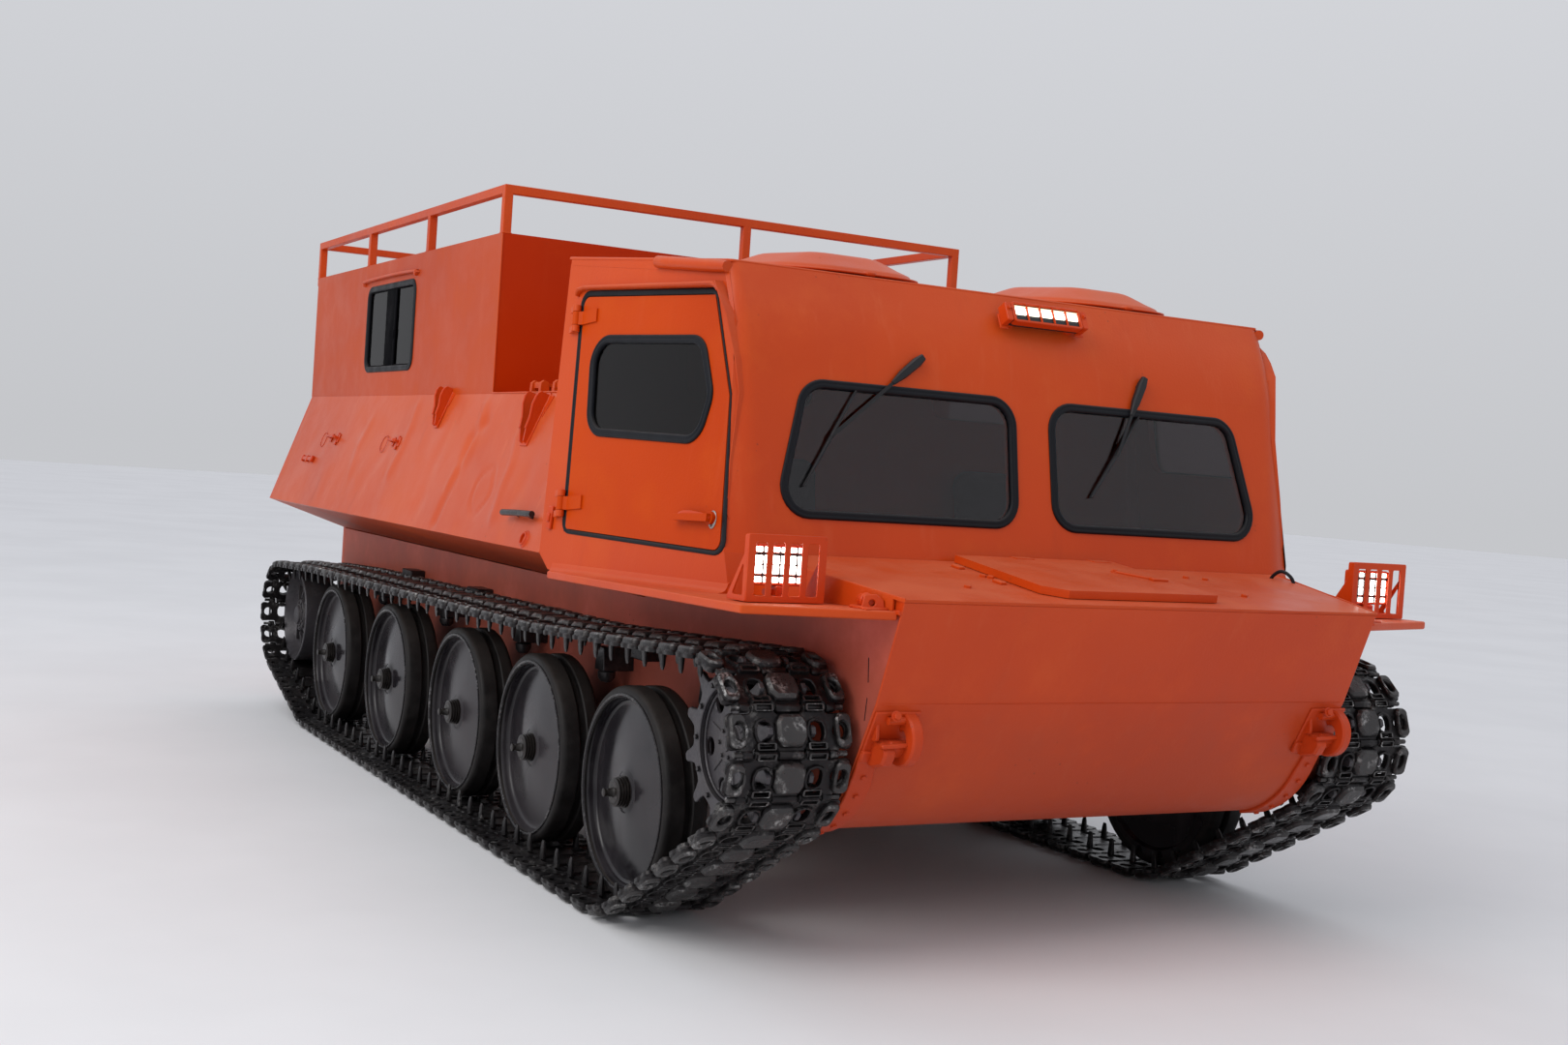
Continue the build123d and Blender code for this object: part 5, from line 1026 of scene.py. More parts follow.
# twin-finned cleats: x of the first fin, spacing, down from the belt, length, standing out
for x0, gap, t0, t1, out in ((-2322, 96, -30, 150, 44), (-1205, 130, 2, 210, 46)):
    L = t1 - t0
    for k in (0, 1):
        # ribs that draw together downwards, each with a folded outer edge
        top_, foot = slant(x0 + k * gap, t0 + 8), slant(x0 + gap * (0.36 + 0.28 * k), t1)
        d = (foot - top_).normalized()
        rib = rounded([(-4, 0), (-4, L * 0.985), (out * 0.35, L * 0.95), (out * 0.62, L * 0.72), (out * 0.70, L * 0.5), (out, L * 0.27), (out, L * 0.06), (out * 0.8, 0)],
                      [0, 2, 4, 12, 12, 10, 8, 6], 3)
        fit.put(prism([rib], [(1.2, -5), (0, -4), (0, 4), (1.2, 5)]), basis(top_, SLANT_N.cross(d), SLANT_N))
        fit.put(tube([top_ + d * L * 0.10 + SLANT_N * (out - 2), top_ + d * L * 0.27 + SLANT_N * (out - 2), top_ + d * L * 0.5 + SLANT_N * (out * 0.7 - 1),
                      top_ + d * L * 0.72 + SLANT_N * (out * 0.62 - 1)], 6, 10))
    # cap over the top, cross pin and the small wing beside it
    fit.put(lathe([(-12, 0), (-12, 11), (-9, 14), (gap + 9, 14), (gap + 12, 11), (gap + 12, 0)], 16), basis(slant(x0, t0 + 16, out - 12), (1, 0, 0)))
    fit.put(lathe([(-14, 0), (-14, 7), (gap * 0.8 + 14, 7), (gap * 0.8 + 14, 0)], 12), basis(slant(x0 + gap * 0.1, t0 + L * 0.34, out - 22), (1, 0, 0)))
    fit.put(prism([rounded([(0, 0), (46, 4), (0, L * 0.5)], 4, 2)], [(0.8, -3), (0, -2), (0, 3), (1, 4)]),
            basis(slant(x0 + gap + 4, t0 + 8), -SLANT_N, (1, 0, 0)))
    fit.put(Geo().put(prism([rounded([(-gap / 2 - 14, L / 2), (gap / 2 + 14, L / 2), (gap * 0.3, -L / 2 - 6), (-gap * 0.3, -L / 2 - 6)], 8, 2)],
                            [(0, -2), (0, 3), (1.5, 4.5)])), slant_at(x0 + gap / 2, (t0 + t1) / 2))
    # black plate sunk between the ribs: painted shade in the hollow of the cleat
    dark.put(Geo().put(prism([rounded([(-gap * 0.36, L * 0.36), (gap * 0.36, L * 0.36), (gap * 0.10, -L * 0.32), (-gap * 0.10, -L * 0.32)], 4, 1)],
                             [(0, 3), (0, 5.2), (0.8, 6)])), slant_at(x0 + gap / 2, (t0 + t1) / 2))
# tie loops
for x0, x1, t in ((-3882, -3750, 232), (-2790, -2706, 232)):
    pts = [slant(x0, t, 0), slant(x0, t, 20), slant(x0 + 8, t, 27), slant(x1 - 8, t, 27), slant(x1, t, 20), slant(x1, t, 0)]
    fit.put(tube(pts, 6.5, 10, normal=SLANT_UP))
    for x in (x0, x1):
        fit.put(Geo().put(block(34, 44, 6, 2)), slant_at(x, t, 2.5))
    fit.put(Geo().put(block(26, 66, 8, 2.5)), slant_at(x1 - 20, t + 4, 4))
    fit.put(ring(circle(0, 0, 40, 24), [(-2, -1), (-2, 0.8), (2, 0.8), (2, -1)]), slant_at(x0 - 150, t + 12, 0))
# long clip near the tail
fit.put(Geo().put(block(210, 20, 10, 2.5)), slant_at(-4166, 356, 9))
for x in (-4258, -4166, -4074):
    fit.put(Geo().put(block(20, 34, 20, 3)), slant_at(x, 356, 6))
# drain spout under the cab corner
fit.put(lathe([(-2, 33), (0, 34), (4, 32), (7, 27), (12, 25), (13.5, 23), (13.5, 20), (11, 18), (-2, 18)], 28, closed=True), slant_at(-755, 562, 0))
# black disc filling the spout's mouth: painted shade inside the opening
dark.put(lathe([(-3, 0), (-3, 19), (1.5, 19), (1.5, 0)], 28), slant_at(-755, 562, 0))
piece("panel_fittings", fit.both(), "hull", PAINT_CAST, ["side_brackets"])
# bar standing off the panel near the cab door
dark.put(tube([slant(-994, 485, 30), slant(-850, 480, 32), slant(-706, 476, 30)], 11.5, 14))
for x in (-900, -760):
    dark.put(bar(slant(x, 482, -1), slant(x, 482, 26), 9, 9))
piece("panel_step_bars_and_shade", dark.both(), "hull", BLACK)

# ================================================= CAD NODES WITH EASED EDGES


def dress(name, mat, width=3.0, seg=2, angle=0.14):
    """A CAD node keeps its shape; its edges are eased and it takes a material."""
    o = NODES[name]
    o.data.materials.clear()
    o.data.materials.append(mat)
    if width:
        a = o.modifiers.new("weld", "WELD")
        a.merge_threshold = 2e-5
        b = o.modifiers.new("flat", "DECIMATE")
        b.decimate_type, b.angle_limit = "DISSOLVE", 0.01
        c = o.modifiers.new("ease", "BEVEL")
        c.width, c.segments, c.limit_method, c.angle_limit = width / 1000.0, seg, "ANGLE", angle
        c.use_clamp_overlap = True
        d = o.modifiers.new("shade", "WEIGHTED_NORMAL")
        d.mode, d.weight, d.keep_sharp = "FACE_AREA", 60, False


dress("bow_plate", PAINT_BOW, 4, angle=0.10)
for name, mat, width in (
        ("hull_floor", PAINT_LOW, 3), ("hull_sides", PAINT_HULL, 3), ("bow_deck", PAINT_TOP, 4), ("fender_shelves", PAINT_TOP, 6),
        ("final_drives", PAINT_LOW, 3), ("sponson_floors", PAINT_LOW, 3), ("cab_sides", PAINT, 5),
        ("cab_rear_wall", PAINT, 4), ("gap_deck", PAINT_TOP, 2), ("box_front_wall", PAINT, 1), ("box_side_walls", PAINT, 1), ("box_roof", PAINT_TOP, 2),
        ("rear_wall", PAINT, 4), ("roof_rail", PAINT, 3), ("rear_door", PAINT_DOOR, 5), ("bow_hatch", PAINT_TOP, 7), ("deck_hatch", PAINT_TOP, 6),
        ("cab_door_right", PAINT_DOOR, 5), ("cab_door_left", PAINT_DOOR, 5), ("interior_floor", FLOOR_PAINT, 2), ("suspension_arms", BLACK, 5),
        ("seat_frames", BLACK, 3), ("driver_controls", PLASTIC, 5), ("engine_block", ENGINE, 12), ("rear_door_glass", GLASS_DARK, 0)):
    dress(name, mat, width)

# ===================================================================== GLAZING
SCREEN = [(-975, 1298), (-65, 1298), (-62, 1727), (-862, 1727)]
opening = rounded(inset(front_uv(SCREEN), 24), 75, 8)
screens = Geo().put(prism([offset(ccw(opening), -2.5)], [(1, -11), (0, -10), (0, -6), (1, -5)]), FRONT)
piece("windscreens", screens.both(), "hull", GLASS_CLEAR, ["fixed_windows"])
BWIN = (-3632.0, -2836.0, 1783.0, 2205.0)
BOXSIDE = basis((0, -1098, 0), (0, -1, 0))
bwin_open = rounded(rect((BWIN[0] + BWIN[1]) / 2, (BWIN[2] + BWIN[3]) / 2, BWIN[1] - BWIN[0] - 44, BWIN[3] - BWIN[2] - 44), 45, 6)
box_panes = Geo().put(prism([offset(ccw(bwin_open), -2.5)], [(1, -12), (0, -11), (0, -7), (1, -6)]), BOXSIDE).both()
piece("box_panes", box_panes, "hull", GLASS_BOX)
panes = Geo()
BACK = basis((-582, 0, 1106), (-1 / math.hypot(0.0716, 1), 0, -0.0716 / math.hypot(0.0716, 1)), (0, 1, 0))
back_up = Vector((-0.0716, 0, 1)).normalized()
back_c = Vector((-582, 0, 1106)) + back_up * 700.0
BACKP = basis(back_c, (-back_up.z, 0, back_up.x), (0, 1, 0))
back_open = rounded(rect(0, 0, 518.8, 258.8), 49.4, 6)
for y in (-520, 520):
    panes.put(prism([back_open], [(1, -22), (0, -21), (0, -17), (1, -16)]), basis(back_c + Vector((0, y, 0)), (-back_up.z, 0, back_up.x), (0, 1, 0)))
piece("cab_back_panes", panes, "hull", GLASS_DARK)

# rubber of a window: (outwards from the opening, height over the panel)
BEAD = [(22, -0.5), (22.3, 3), (19.5, 6.5), (14, 7.5), (10.5, 5.8), (8, 6.2), (3, 8), (-2, 7), (-5, 3.5), (-6.5, -1), (-6.5, -3.5), (-6, -13.5), (-0.3, -13.5), (-0.3, -0.5)]
seals = Geo().put(ring(opening, BEAD), FRONT).both()
seals.put(Geo().put(ring(bwin_open, BEAD), BOXSIDE).both())
# sliding-window bar and its rails
winbar = Geo()
winbar.put(Geo().put(block(168, 372, 7, 2)), BOXSIDE @ move(-3228, 1994, -3.5))
winbar.put(Geo().put(block(26, 372, 8, 2)), BOXSIDE @ move(-3156, 1994, -1.5))
winbar.put(Geo().put(block(700, 9, 6, 1.5)), BOXSIDE @ move(-3234, 2176, -4))
winbar.put(Geo().put(block(700, 9, 6, 1.5)), BOXSIDE @ move(-3234, 1812, -4))
winbar.put(Geo().put(block(10, 44, 6, 2)), BOXSIDE @ move(-3156, 1960, 3))
piece("window_slider_frames", winbar.both(), "hull", MATT, sharp=50)
for y in (-520, 520):
    seals.put(ring(back_open, BEAD), basis(back_c + Vector((0, y, 0)), (-back_up.z, 0, back_up.x), (0, 1, 0)))
piece("window_rubbers", seals, "hull", SEAL, sharp=50)

DOOR_HOLE = [(-448, 1188), (440, 1181), (375, 1654), (226, 1971), (-543, 1991)]
DOOR_WIN = [(-392, 1512), (250, 1500), (290, 1655), (200, 1838), (-447, 1850)]
hole = ccw(side_uv(DOOR_HOLE))
low_v = min(v for u, v in hole)
hole_r = rounded(hole, [38, 38, 14, 38, 38], 5)
win_open = rounded(inset(side_uv(DOOR_WIN), 22), 75, 8)
door_seal = Geo().put(ring(win_open, BEAD), SIDE)
door_pane = Geo().put(prism([offset(ccw(win_open), -2.5)], [(1, -12), (0, -11), (0, -6), (1, -5)]), SIDE)
for name, g, p, body in (("right", door_seal, door_pane, "right_door"), ("left", door_seal.mirrored(), door_pane.mirrored(), "left_door")):
    piece(f"door_window_rubber_{name}", g, body, SEAL, sharp=50)
    piece(f"door_pane_{name}", p, body, GLASS_DARK, [f"door_glass_{name}"])
# rubber in the gap round the door, on the body; wider at the lower front and the top, where the black band also stands
# for painted shade in the recess
hole_z = side_uv([(430, 1318)])[0][1]
seal_and_shade_width = []
for i in range(len(hole_r)):
    a, b = Vector(hole_r[i - 1]), Vector(hole_r[(i + 1) % len(hole_r)])
    t = (b - a).normalized()
    nu, nv = t.y, -t.x
    front = 3.0 + 17.0 * min(1.0, max(0.0, (hole_z - hole_r[i][1]) / 40.0))
    seal_and_shade_width.append(6.0 * max(0.0, -nv) ** 2 + 12.0 * max(0.0, nv) ** 2 + 9.0 * max(0.0, -nu) ** 2 + front * max(0.0, nu) ** 2)
gapseal = ring(hole_r, [(-9.2, -14), (-9.2, -5), (-7.5, -1.5), (-3.5, 1.2), (0.05, 2.4), (0.5, 3.2), (0.9, 2.6), (1.0, 0.8), (1.0, -0.4), (-0.3, -0.4), (-0.3, -14)],
               width=seal_and_shade_width)
gap = Geo().put(gapseal, SIDE)
piece("door_gap_rubber", gap.both(), "hull", SEAL, sharp=60)

# =============================================================== DOOR FITTINGS
rain, pale = Geo(), Geo()
# gutter standing ahead of the door's front edge
base_ = [(441, 1104, 1286), (434, 1108, 1312), (425, 1098, 1380), (413.3, 1092, 1462), (404, 1078, 1560), (392.7, 1062.5, 1663), (372, 1062, 1760),
         (333, 1073, 1894), (296, 1077, 1945), (268.5, 1078, 1980), (244, 1080, 2001)]
high = [1, 5, 7, 9, 10, 14, 24, 36, 39, 37, 30]
lean = Vector((0.2, -0.98, 0.0)).normalized()
stand = []
for (x, y, z), h in zip(base_, high):
    b = Vector((x, -y, z)) - lean * 3
    stand.append((b, b + lean * (h + 3)))
verts, faces = [], []
for i, (b, e) in enumerate(stand):
    t = (stand[min(i + 1, len(stand) - 1)][1] - stand[max(i - 1, 0)][1]).normalized()
    w = t.cross(lean).normalized() * 2.2
    verts += [tuple(b - w), tuple(e - w * 0.8), tuple(e + w * 0.8), tuple(b + w)]
for i in range(len(stand) - 1):
    for q in range(4):
        r = (q + 1) % 4
        faces.append((i * 4 + q, i * 4 + r, (i + 1) * 4 + r, (i + 1) * 4 + q))
faces += [(3, 2, 1, 0), tuple((len(stand) - 1) * 4 + q for q in range(4))]
rain.put(Geo().add(verts, faces))
# rolled lip over the door, running into the gutter
lip = [(-572, 1984), (-568, 1996), (-556, 2006), (-520, 2011), (-300, 2005), (0, 1997), (180, 1992), (232, 1990), (250, 1983), (262, 1968)]
lip = [Vector(side_pt(x, z, 7 + 10 * min(1.0, max(0.0, (x + 560) / 780.0)))) for x, z in lip]
rain.put(sweep(lip, [(7.5 * math.cos(a), 15 * math.sin(a)) for a in [math.radians(q) for q in range(0, 360, 30)]], normal=SIDE_N,
               scale=[0.5, 0.85, 1, 1, 1.05, 1.15, 1.3, 1.35, 1.2, 0.8]))
# half-round visor over the door
vis = [side_pt(-106 + k * 63, 2077 - k * 5.6, 8) for k in range(7)]
vis = [Vector(p) for p in vis]
vis = [vis[0] - (vis[1] - vis[0]).normalized() * 14] + vis
rain.put(sweep(vis, [(20 * math.cos(a), 21 * math.sin(a)) for a in [math.radians(q) for q in range(0, 360, 24)]], normal=SIDE_N,
               scale=[0.45] + [1.0] * 6 + [0.9]))
# cove where the side runs out into the shelf
verts, faces = [], []
cove = [(-4, 34), (1.0, 28), (3.5, 17), (9, 8), (18, 3), (30, 0.8), (31, -3), (-4, -3)]
for k in range(15):
    x = -490 + k * 986 / 14
    z = shelf_top(x)
    room = 1295.0 + (x + 494.0) * 6.0 / 1421.0 - side_y(x, z) - 2.0
    for out, up in cove:
        verts.append((x, -(side_y(x, z + up) + (out if out < 0 else out * min(1.0, room / 31.0))), z + up))
for k in range(14):
    for q in range(8):
        r = (q + 1) % 8
        faces.append((k * 8 + q, k * 8 + r, (k + 1) * 8 + r, (k + 1) * 8 + q))
faces += [tuple(range(8)), tuple(14 * 8 + q for q in range(8))]
rain.put(Geo().add(verts, faces))
# closure between the foot of the side wall and the bow deck
low_ = [(505, 1121), (497, 1032), (483, 1032), (489, 1121)]
upp_ = [(454, side_y(454, 1188)), (489, 1032), (475, 1032), (438, side_y(438, 1188))]
rain.put(Geo().add([(x, -y, 1068) for x, y in low_] + [(x, -y, 1188) for x, y in upp_],
                   [(3, 2, 1, 0), (4, 5, 6, 7)] + [(i, (i + 1) % 4, 4 + (i + 1) % 4, 4 + i) for i in range(4)]))
piece("cab_gutters", rain.both(), "hull", PAINT, sharp=40)
pale.put(Geo().put(block(26, 78, 12, 3)), SIDE @ move(*side_uv([(-533, 1228)])[0], 6))
pale.put(Geo().put(block(16, 30, 20, 3)), SIDE @ move(*side_uv([(-533, 1228)])[0], 9))
piece("door_check_plates", pale.both(), "hull", PAINT_CAST)

# door handle and its plate, on each door
hand, plate = Geo(), Geo()
u0, v0 = side_uv([(372, 1284)])[0]
u1, v1 = side_uv([(205, 1276)])[0]
plate.put(Geo().put(lathe([(-2, 0), (-2, 19), (2, 19), (4, 17), (5, 13), (5, 0)], 28)), SIDE @ move(u0 + 2, v0 - 4, 0) @ Matrix.Scale(1.45, 4, (0, 1, 0)))
plate.put(Geo().put(lathe([(0, 0), (0, 4.5), (7, 4.5), (8, 3.5), (8, 0)], 14)), SIDE @ move(u0 + 3, v0 - 22, 3))
hand.put(lathe([(-1, 0), (-1, 12), (14, 12), (20, 11), (26, 10), (29, 8), (29, 0)], 24), SIDE @ move(u0, v0, 0))
lever = [Vector((u0 + 2, v0 + 1, 22)), Vector((u0 - 34, v0 + 5, 25)), Vector((u0 - 80, v0 + 7, 25)), Vector((u0 - 126, v0 + 4, 24)),
         Vector((u1 + 10, v1 - 2, 21)), Vector((u1 - 2, v1 - 5, 15))]
hand.put(sweep(bezier([tuple(p) for p in lever], 5), circle(0, 0, 9, 12, 5.5), normal=(0, 0, 1),
               scale=[0.95] * 5 + [0.9] * 5 + [1.0] * 6 + [0.95] * 4 + [0.85, 0.8, 0.75, 0.65, 0.5, 0.3]), SIDE)
for name, flip, body in (("right", False, "right_door"), ("left", True, "left_door")):
    piece(f"door_handle_{name}", hand.mirrored() if flip else hand, body, PAINT_CAST)
    piece(f"door_lock_{name}", plate.mirrored() if flip else plate, body, ZINC)
# ==================================================================== CAB ROOF
def skin_top(x):
    """Top of the roof skin, which rises over the frame towards the front."""
    return 2125.0 - (x + 655.0) * 56.0 / 932.0


SKIN_PITCH = math.atan(56.0 / 932.0)
SKIN_N = Vector((math.sin(SKIN_PITCH), 0, math.cos(SKIN_PITCH)))


def skin_at(x, y, lift=0.0):
    return basis(Vector((x, y, skin_top(x))) + SKIN_N * lift, SKIN_N)


def front_x(z):
    return 361.0 - (z - 1880.0) * 77.2 / 160.0


zf = 2069.0
xf = front_x(zf)
corner_x = 344.0 - (zf - 1880.0) * 75.0 / 160.0
top_outline = []
for x, y in ((-666, side_y(-666, 2125) + 4), (corner_x, side_y(corner_x, zf) + 2), (xf + 2, 1066), (xf + 2, -1066),
             (corner_x, -side_y(corner_x, zf) - 2), (-666, -side_y(-666, 2125) - 4)):
    top_outline.append(((x + 150.0) / math.cos(SKIN_PITCH), y))
top_outline = rounded(ccw(top_outline), [6, 10, 24, 24, 10, 6], 4)
roof_hole = rounded(rect(0, 0, 590, 450), 170, 10)
rskin = Geo().put(prism([top_outline] + [[(x, y + s * 530) for x, y in roof_hole] for s in (-1, 1)], [(1.5, -9), (0, -8), (0, -3), (3, 0)]),
                  skin_at(-150, 0))
for s in (-1, 1):
    # coaming round the opening
    rskin.put(ring(roof_hole, [(-20, -30), (0.3, -30), (0.3, 18), (-2, 21), (-18, 21), (-20, 18)]), skin_at(-150, s * 530))
# side and front bands that close the roof down to the walls
stations = [(-650, 0), (-400, 0), (-100, 0), (100, 0), (None, 0)]
for s in (-1, 1):
    verts, faces = [], []
    for x, _ in stations:
        for zz, din in ((-29.0, 0.8), (None, 0.8), (None, -16.0), (-29.0, -16.0)):
            if x is None:
                z = roof_top(280) + zz if zz is not None else zf - 7
                xx = 344.0 - (z - 1880.0) * 75.0 / 160.0
            else:
                xx = x
                z = roof_top(x) + zz if zz is not None else skin_top(x) - 7
            verts.append((xx, s * (side_y(xx, z) + din), z))
    n = len(stations)
    for i in range(n - 1):
        for q in range(4):
            r = (q + 1) % 4
            faces.append((i * 4 + q, i * 4 + r, (i + 1) * 4 + r, (i + 1) * 4 + q))
    faces += [(3, 2, 1, 0), tuple((n - 1) * 4 + q for q in range(4))]
    rskin.put(Geo().add(verts, faces))
# rear band
rskin.put(Geo().put(block(14, 2 * side_y(-655, 2110) - 10, 24, 2)), move(-657, 0, 2108))
# fixed hinge lugs of the lids
for s in (-1, 1):
    for k in (-1, 1):
        lug = prism([rounded([(-14, -24), (14, -24), (11, 4), (0, 10), (-11, 4)], 4, 2), circle(0, 0, 5.3, 14)], [(1, -9), (0, -8), (0, 8), (1, 9)])
        rskin.put(lug, basis((-516, s * 530 + k * 101, 2135.4), (0, -1, 0)))
    rskin.put(lathe([(-112, 0), (-112, 4.9), (112, 4.9), (112, 0)], 14), basis((-516, s * 530, 2135.4), (0, 1, 0)))
piece("cab_roof_skin", rskin, "hull", PAINT_TOP, ["cab_roof"], sharp=40)

# box skins: one clean sheet over each wall and the edge of the roof
skins = Geo()
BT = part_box("box_roof")[1][2] * 1000.0
sw = [(-4664, 1669.2), (-1719.2, 1669.2), (-1719.2, BT + 0.6), (-4664, BT + 0.6)]
side_skin = prism([rounded(sw, [1, 2, 6, 6], 3), offset(ccw(bwin_open), 4)], [(0.4, -1.2), (0, -0.6), (0, 0.4), (0.8, 1.2)])
skins.put(Geo().put(side_skin, BOXSIDE).both())
# front wall of the box in the darker copy of the paint: painted shade from the cab
well_skin_shade = Geo()
well_skin_shade.put(prism([rounded([(-1098.4, 1669.2), (1098.4, 1669.2), (1098.4, BT + 0.6), (-1098.4, BT + 0.6)], 2, 2)], [(0.4, -1.2), (0, -0.6), (0, 0.4), (0.8, 1.2)]),
              basis((-1720, 0, 0), (1, 0, 0), (0, 1, 0)))
piece("box_front_skin_shade", well_skin_shade, "hull", PAINT_WELL_SHADE)
skins.put(prism([rounded(rect(-3191.6, 0, 2943.6, 2197), 4, 2)], [(0.4, BT - 1.4), (0, BT - 0.8), (0, BT), (1.2, BT + 1.0)]))
piece("box_skins", skins, "hull", PAINT_BOX)

# ================================================================ ROOF HATCHES
outline = rounded(rect(0, 0, 700, 560), 215, 12)
shell = [(204, 69), (160, 66), (130, 60), (90, 43), (50, 26), (36, 20), (31, 12), (30, 8.3), (6, 8.3), (1.5, 9), (0, 11), (0, 13), (1.5, 15.3), (5, 16),
         (15, 16), (21, 15.5), (24, 18), (28, 24), (34, 28), (42, 31), (70, 41), (105, 56), (128, 65.5), (145, 71), (165, 74.5), (204, 76)]
lid = Geo().put(prism([outline], shell), skin_at(-150, -530, 1.0))
knuckle = prism([[(-9, 0), (-7, -8), (4, -9), (42, -9), (42, 8), (0, 9), (-7, 6)]], [(1, -90), (0, -88), (0, 88), (1, 90)])
lid.put(knuckle, basis((-516, -530, 2135.4), (0, -1, 0)))
lid.put(Geo().put(block(58, 34, 13, 3)), skin_at(178, -530, 14))
for side, g, body, node in (("right", lid, "right_roof_lid", "roof_hatch_right"), ("left", lid.mirrored(), "left_roof_lid", "roof_hatch_left")):
    piece(f"roof_lid_{side}", g, body, PAINT_TOP, [node], sharp=60)

# ============================================================ CAB FRONT PANEL
def front_row(z, lo=None):
    """Outer line of the front panel at height z: right side to left side, or only up to |y| = lo."""
    bend = 100.0
    d = z - 1880.0
    if z > 1880.0 + bend:
        px = front_x(z)
    elif z < 1880.0 - bend:
        px = 361.0 - d * FRONT_SLOPE
    else:
        # round bend between the lower and the upper plane
        px = 361.0 - d * FRONT_SLOPE - (0.4825 - FRONT_SLOPE) * (d + bend) ** 2 / (4.0 * bend)
    sx = 344.0 - d * (109.0 / 695.5 if d < 0 else 75.0 / 160.0)
    if abs(d) < bend:
        sx = 344.0 - d * (109.0 / 695.5) - (75.0 / 160.0 - 109.0 / 695.5) * (d + bend) ** 2 / (4.0 * bend)
    py = 1059.0 + d * (17.0 / 695.5 if d < 0 else 7.0 / 160.0)
    sy = side_y(sx, z)
    a, b, c = Vector((sx, -sy)), Vector((px, -py)), Vector((px, -(lo or 0.0)))
    t = 34.0
    p, q = b + (a - b).normalized() * t, b + (c - b).normalized() * t
    out = [a] + [p * (1 - k) ** 2 + b * 2 * k * (1 - k) + q * k * k for k in [n / 6.0 for n in range(7)]]
    if lo:
        out.append(c)
        inner = [c - Vector((38, 0)), Vector((px - 38, -(py - 16))), Vector((sx - 34, -(sy - 20)))]
        return [(v.x, v.y, z) for v in out + inner]
    half = [(v.x, v.y, z) for v in out]
    back = [(px - 38, py - 16, z), (px - 38, -(py - 16), z)]
    return half + [(x, -y, zz) for x, y, zz in reversed(half)] + [(sx - 34, sy - 20, z)] + back + [(sx - 34, -(sy - 20), z)]


def stack(rows_):
    n = len(rows_[0])
    verts = [p for r in rows_ for p in r]
    faces = [(i * n + k, i * n + (k + 1) % n, (i + 1) * n + (k + 1) % n, (i + 1) * n + k) for i in range(len(rows_) - 1) for k in range(n)]
    faces += [tuple(range(n)), tuple((len(rows_) - 1) * n + k for k in range(n))]
    return Geo().add(verts, faces)


front = Geo()
mid_ = [(-1000, 1184.5), (1000, 1184.5), (1000, 1780), (-1000, 1780)]
front.put(prism([front_uv(mid_), opening, [(-u, v) for u, v in opening]], [(0, -37), (0, 0)]), FRONT)
front.put(stack([front_row(z, 1000.0) for z in (1184.5, 1300.0, 1420.0, 1540.0, 1660.0, 1780.0)]).both())
front.put(stack([front_row(1780.0 + k * 12.5) for k in range(17)] + [front_row(z) for z in (2020.0, 2062.0)]))
piece("cab_front_skin", front, "hull", PAINT, ["cab_front_panel"], sharp=30)

# =============================================================== LAMPS, GUARDS
guard, lamps, cells, mirrors, grid = Geo(), Geo(), Geo(), Geo(), Geo()
GY, GZ0, GZ1 = -1133.5, 1080.0, 1265.0
at = basis((862, GY, (GZ0 + GZ1) / 2), (1, 0, 0), (0, 1, 0))
slots = [rounded(rect(k * 54.0, -2, 36, 146), 5, 2) for k in (-1.5, -0.5, 0.5, 1.5)]
guard.put(prism([rounded(rect(0, 0, 245, 185), 5, 2)] + slots, [(1, 0), (0, 1), (0, 4.6), (1, 5.6)]), at)
guard.put(ring(rounded(rect(0, 0, 235, 177), 4, 2), [(0, -20), (3.6, -20), (3.6, 1), (0, 1)]), at)
for k, out in ((-1, True), (1, False)):
    tri = rounded([(0, 62), (0, -92.5), (-108, -92.5), (-108, -84)], [3, 3, 3, 3], 1)
    inner = rounded([(-16, 20), (-16, -78), (-80, -78)], 5, 2)
    guard.put(prism([tri, inner] if out else [tri], [(0.8, -2.5), (0, -1.7), (0, 1.7), (0.8, 2.5)]),
              basis((862, GY + k * 120.0, (GZ0 + GZ1) / 2), (0, -1, 0), (1, 0, 0)))
guard.put(Geo().put(block(100, 240, 5, 1)), move(812, GY, 1082.6))
for y in (-90, 90):
    guard.put(hexbolt(8, 6), move(800, GY + y, 1085))
# lamp: finned body, bezel, reflector cells
lat = basis((826, GY, 1180), (1, 0, 0), (0, 1, 0))
lamps.put(prism([rounded(rect(0, 0, 170, 114), 8, 3)], [(3, -34), (0, -31), (0, -4), (1, -3)]), lat)
lamps.put(ring(rounded(rect(0, 0, 163, 103), 4, 3), [(0, -6), (4, -6), (4, 2), (3, 3), (1, 3), (0, 2)]), lat)
for k in range(9):
    lamps.put(Geo().put(block(4, 100, 12, 1)), lat @ move(-68 + k * 17, 0, -34))
lamps.put(Geo().put(block(60, 26, 34, 3)), move(808, GY, 1106))
lamps.put(lathe([(-36, 0), (-36, 9), (36, 9), (36, 0)], 16), basis((806, GY, 1104), (0, 1, 0)))
for y in (-40, 40):
    lamps.put(bar((806, GY + y, 1085), (806, GY + y, 1122), 6, 20))
rows4 = [(-41, 17), (-18, 22), (10, 27), (38, 19)]
cols6 = [(-66 + k * 26.4) for k in range(6)]
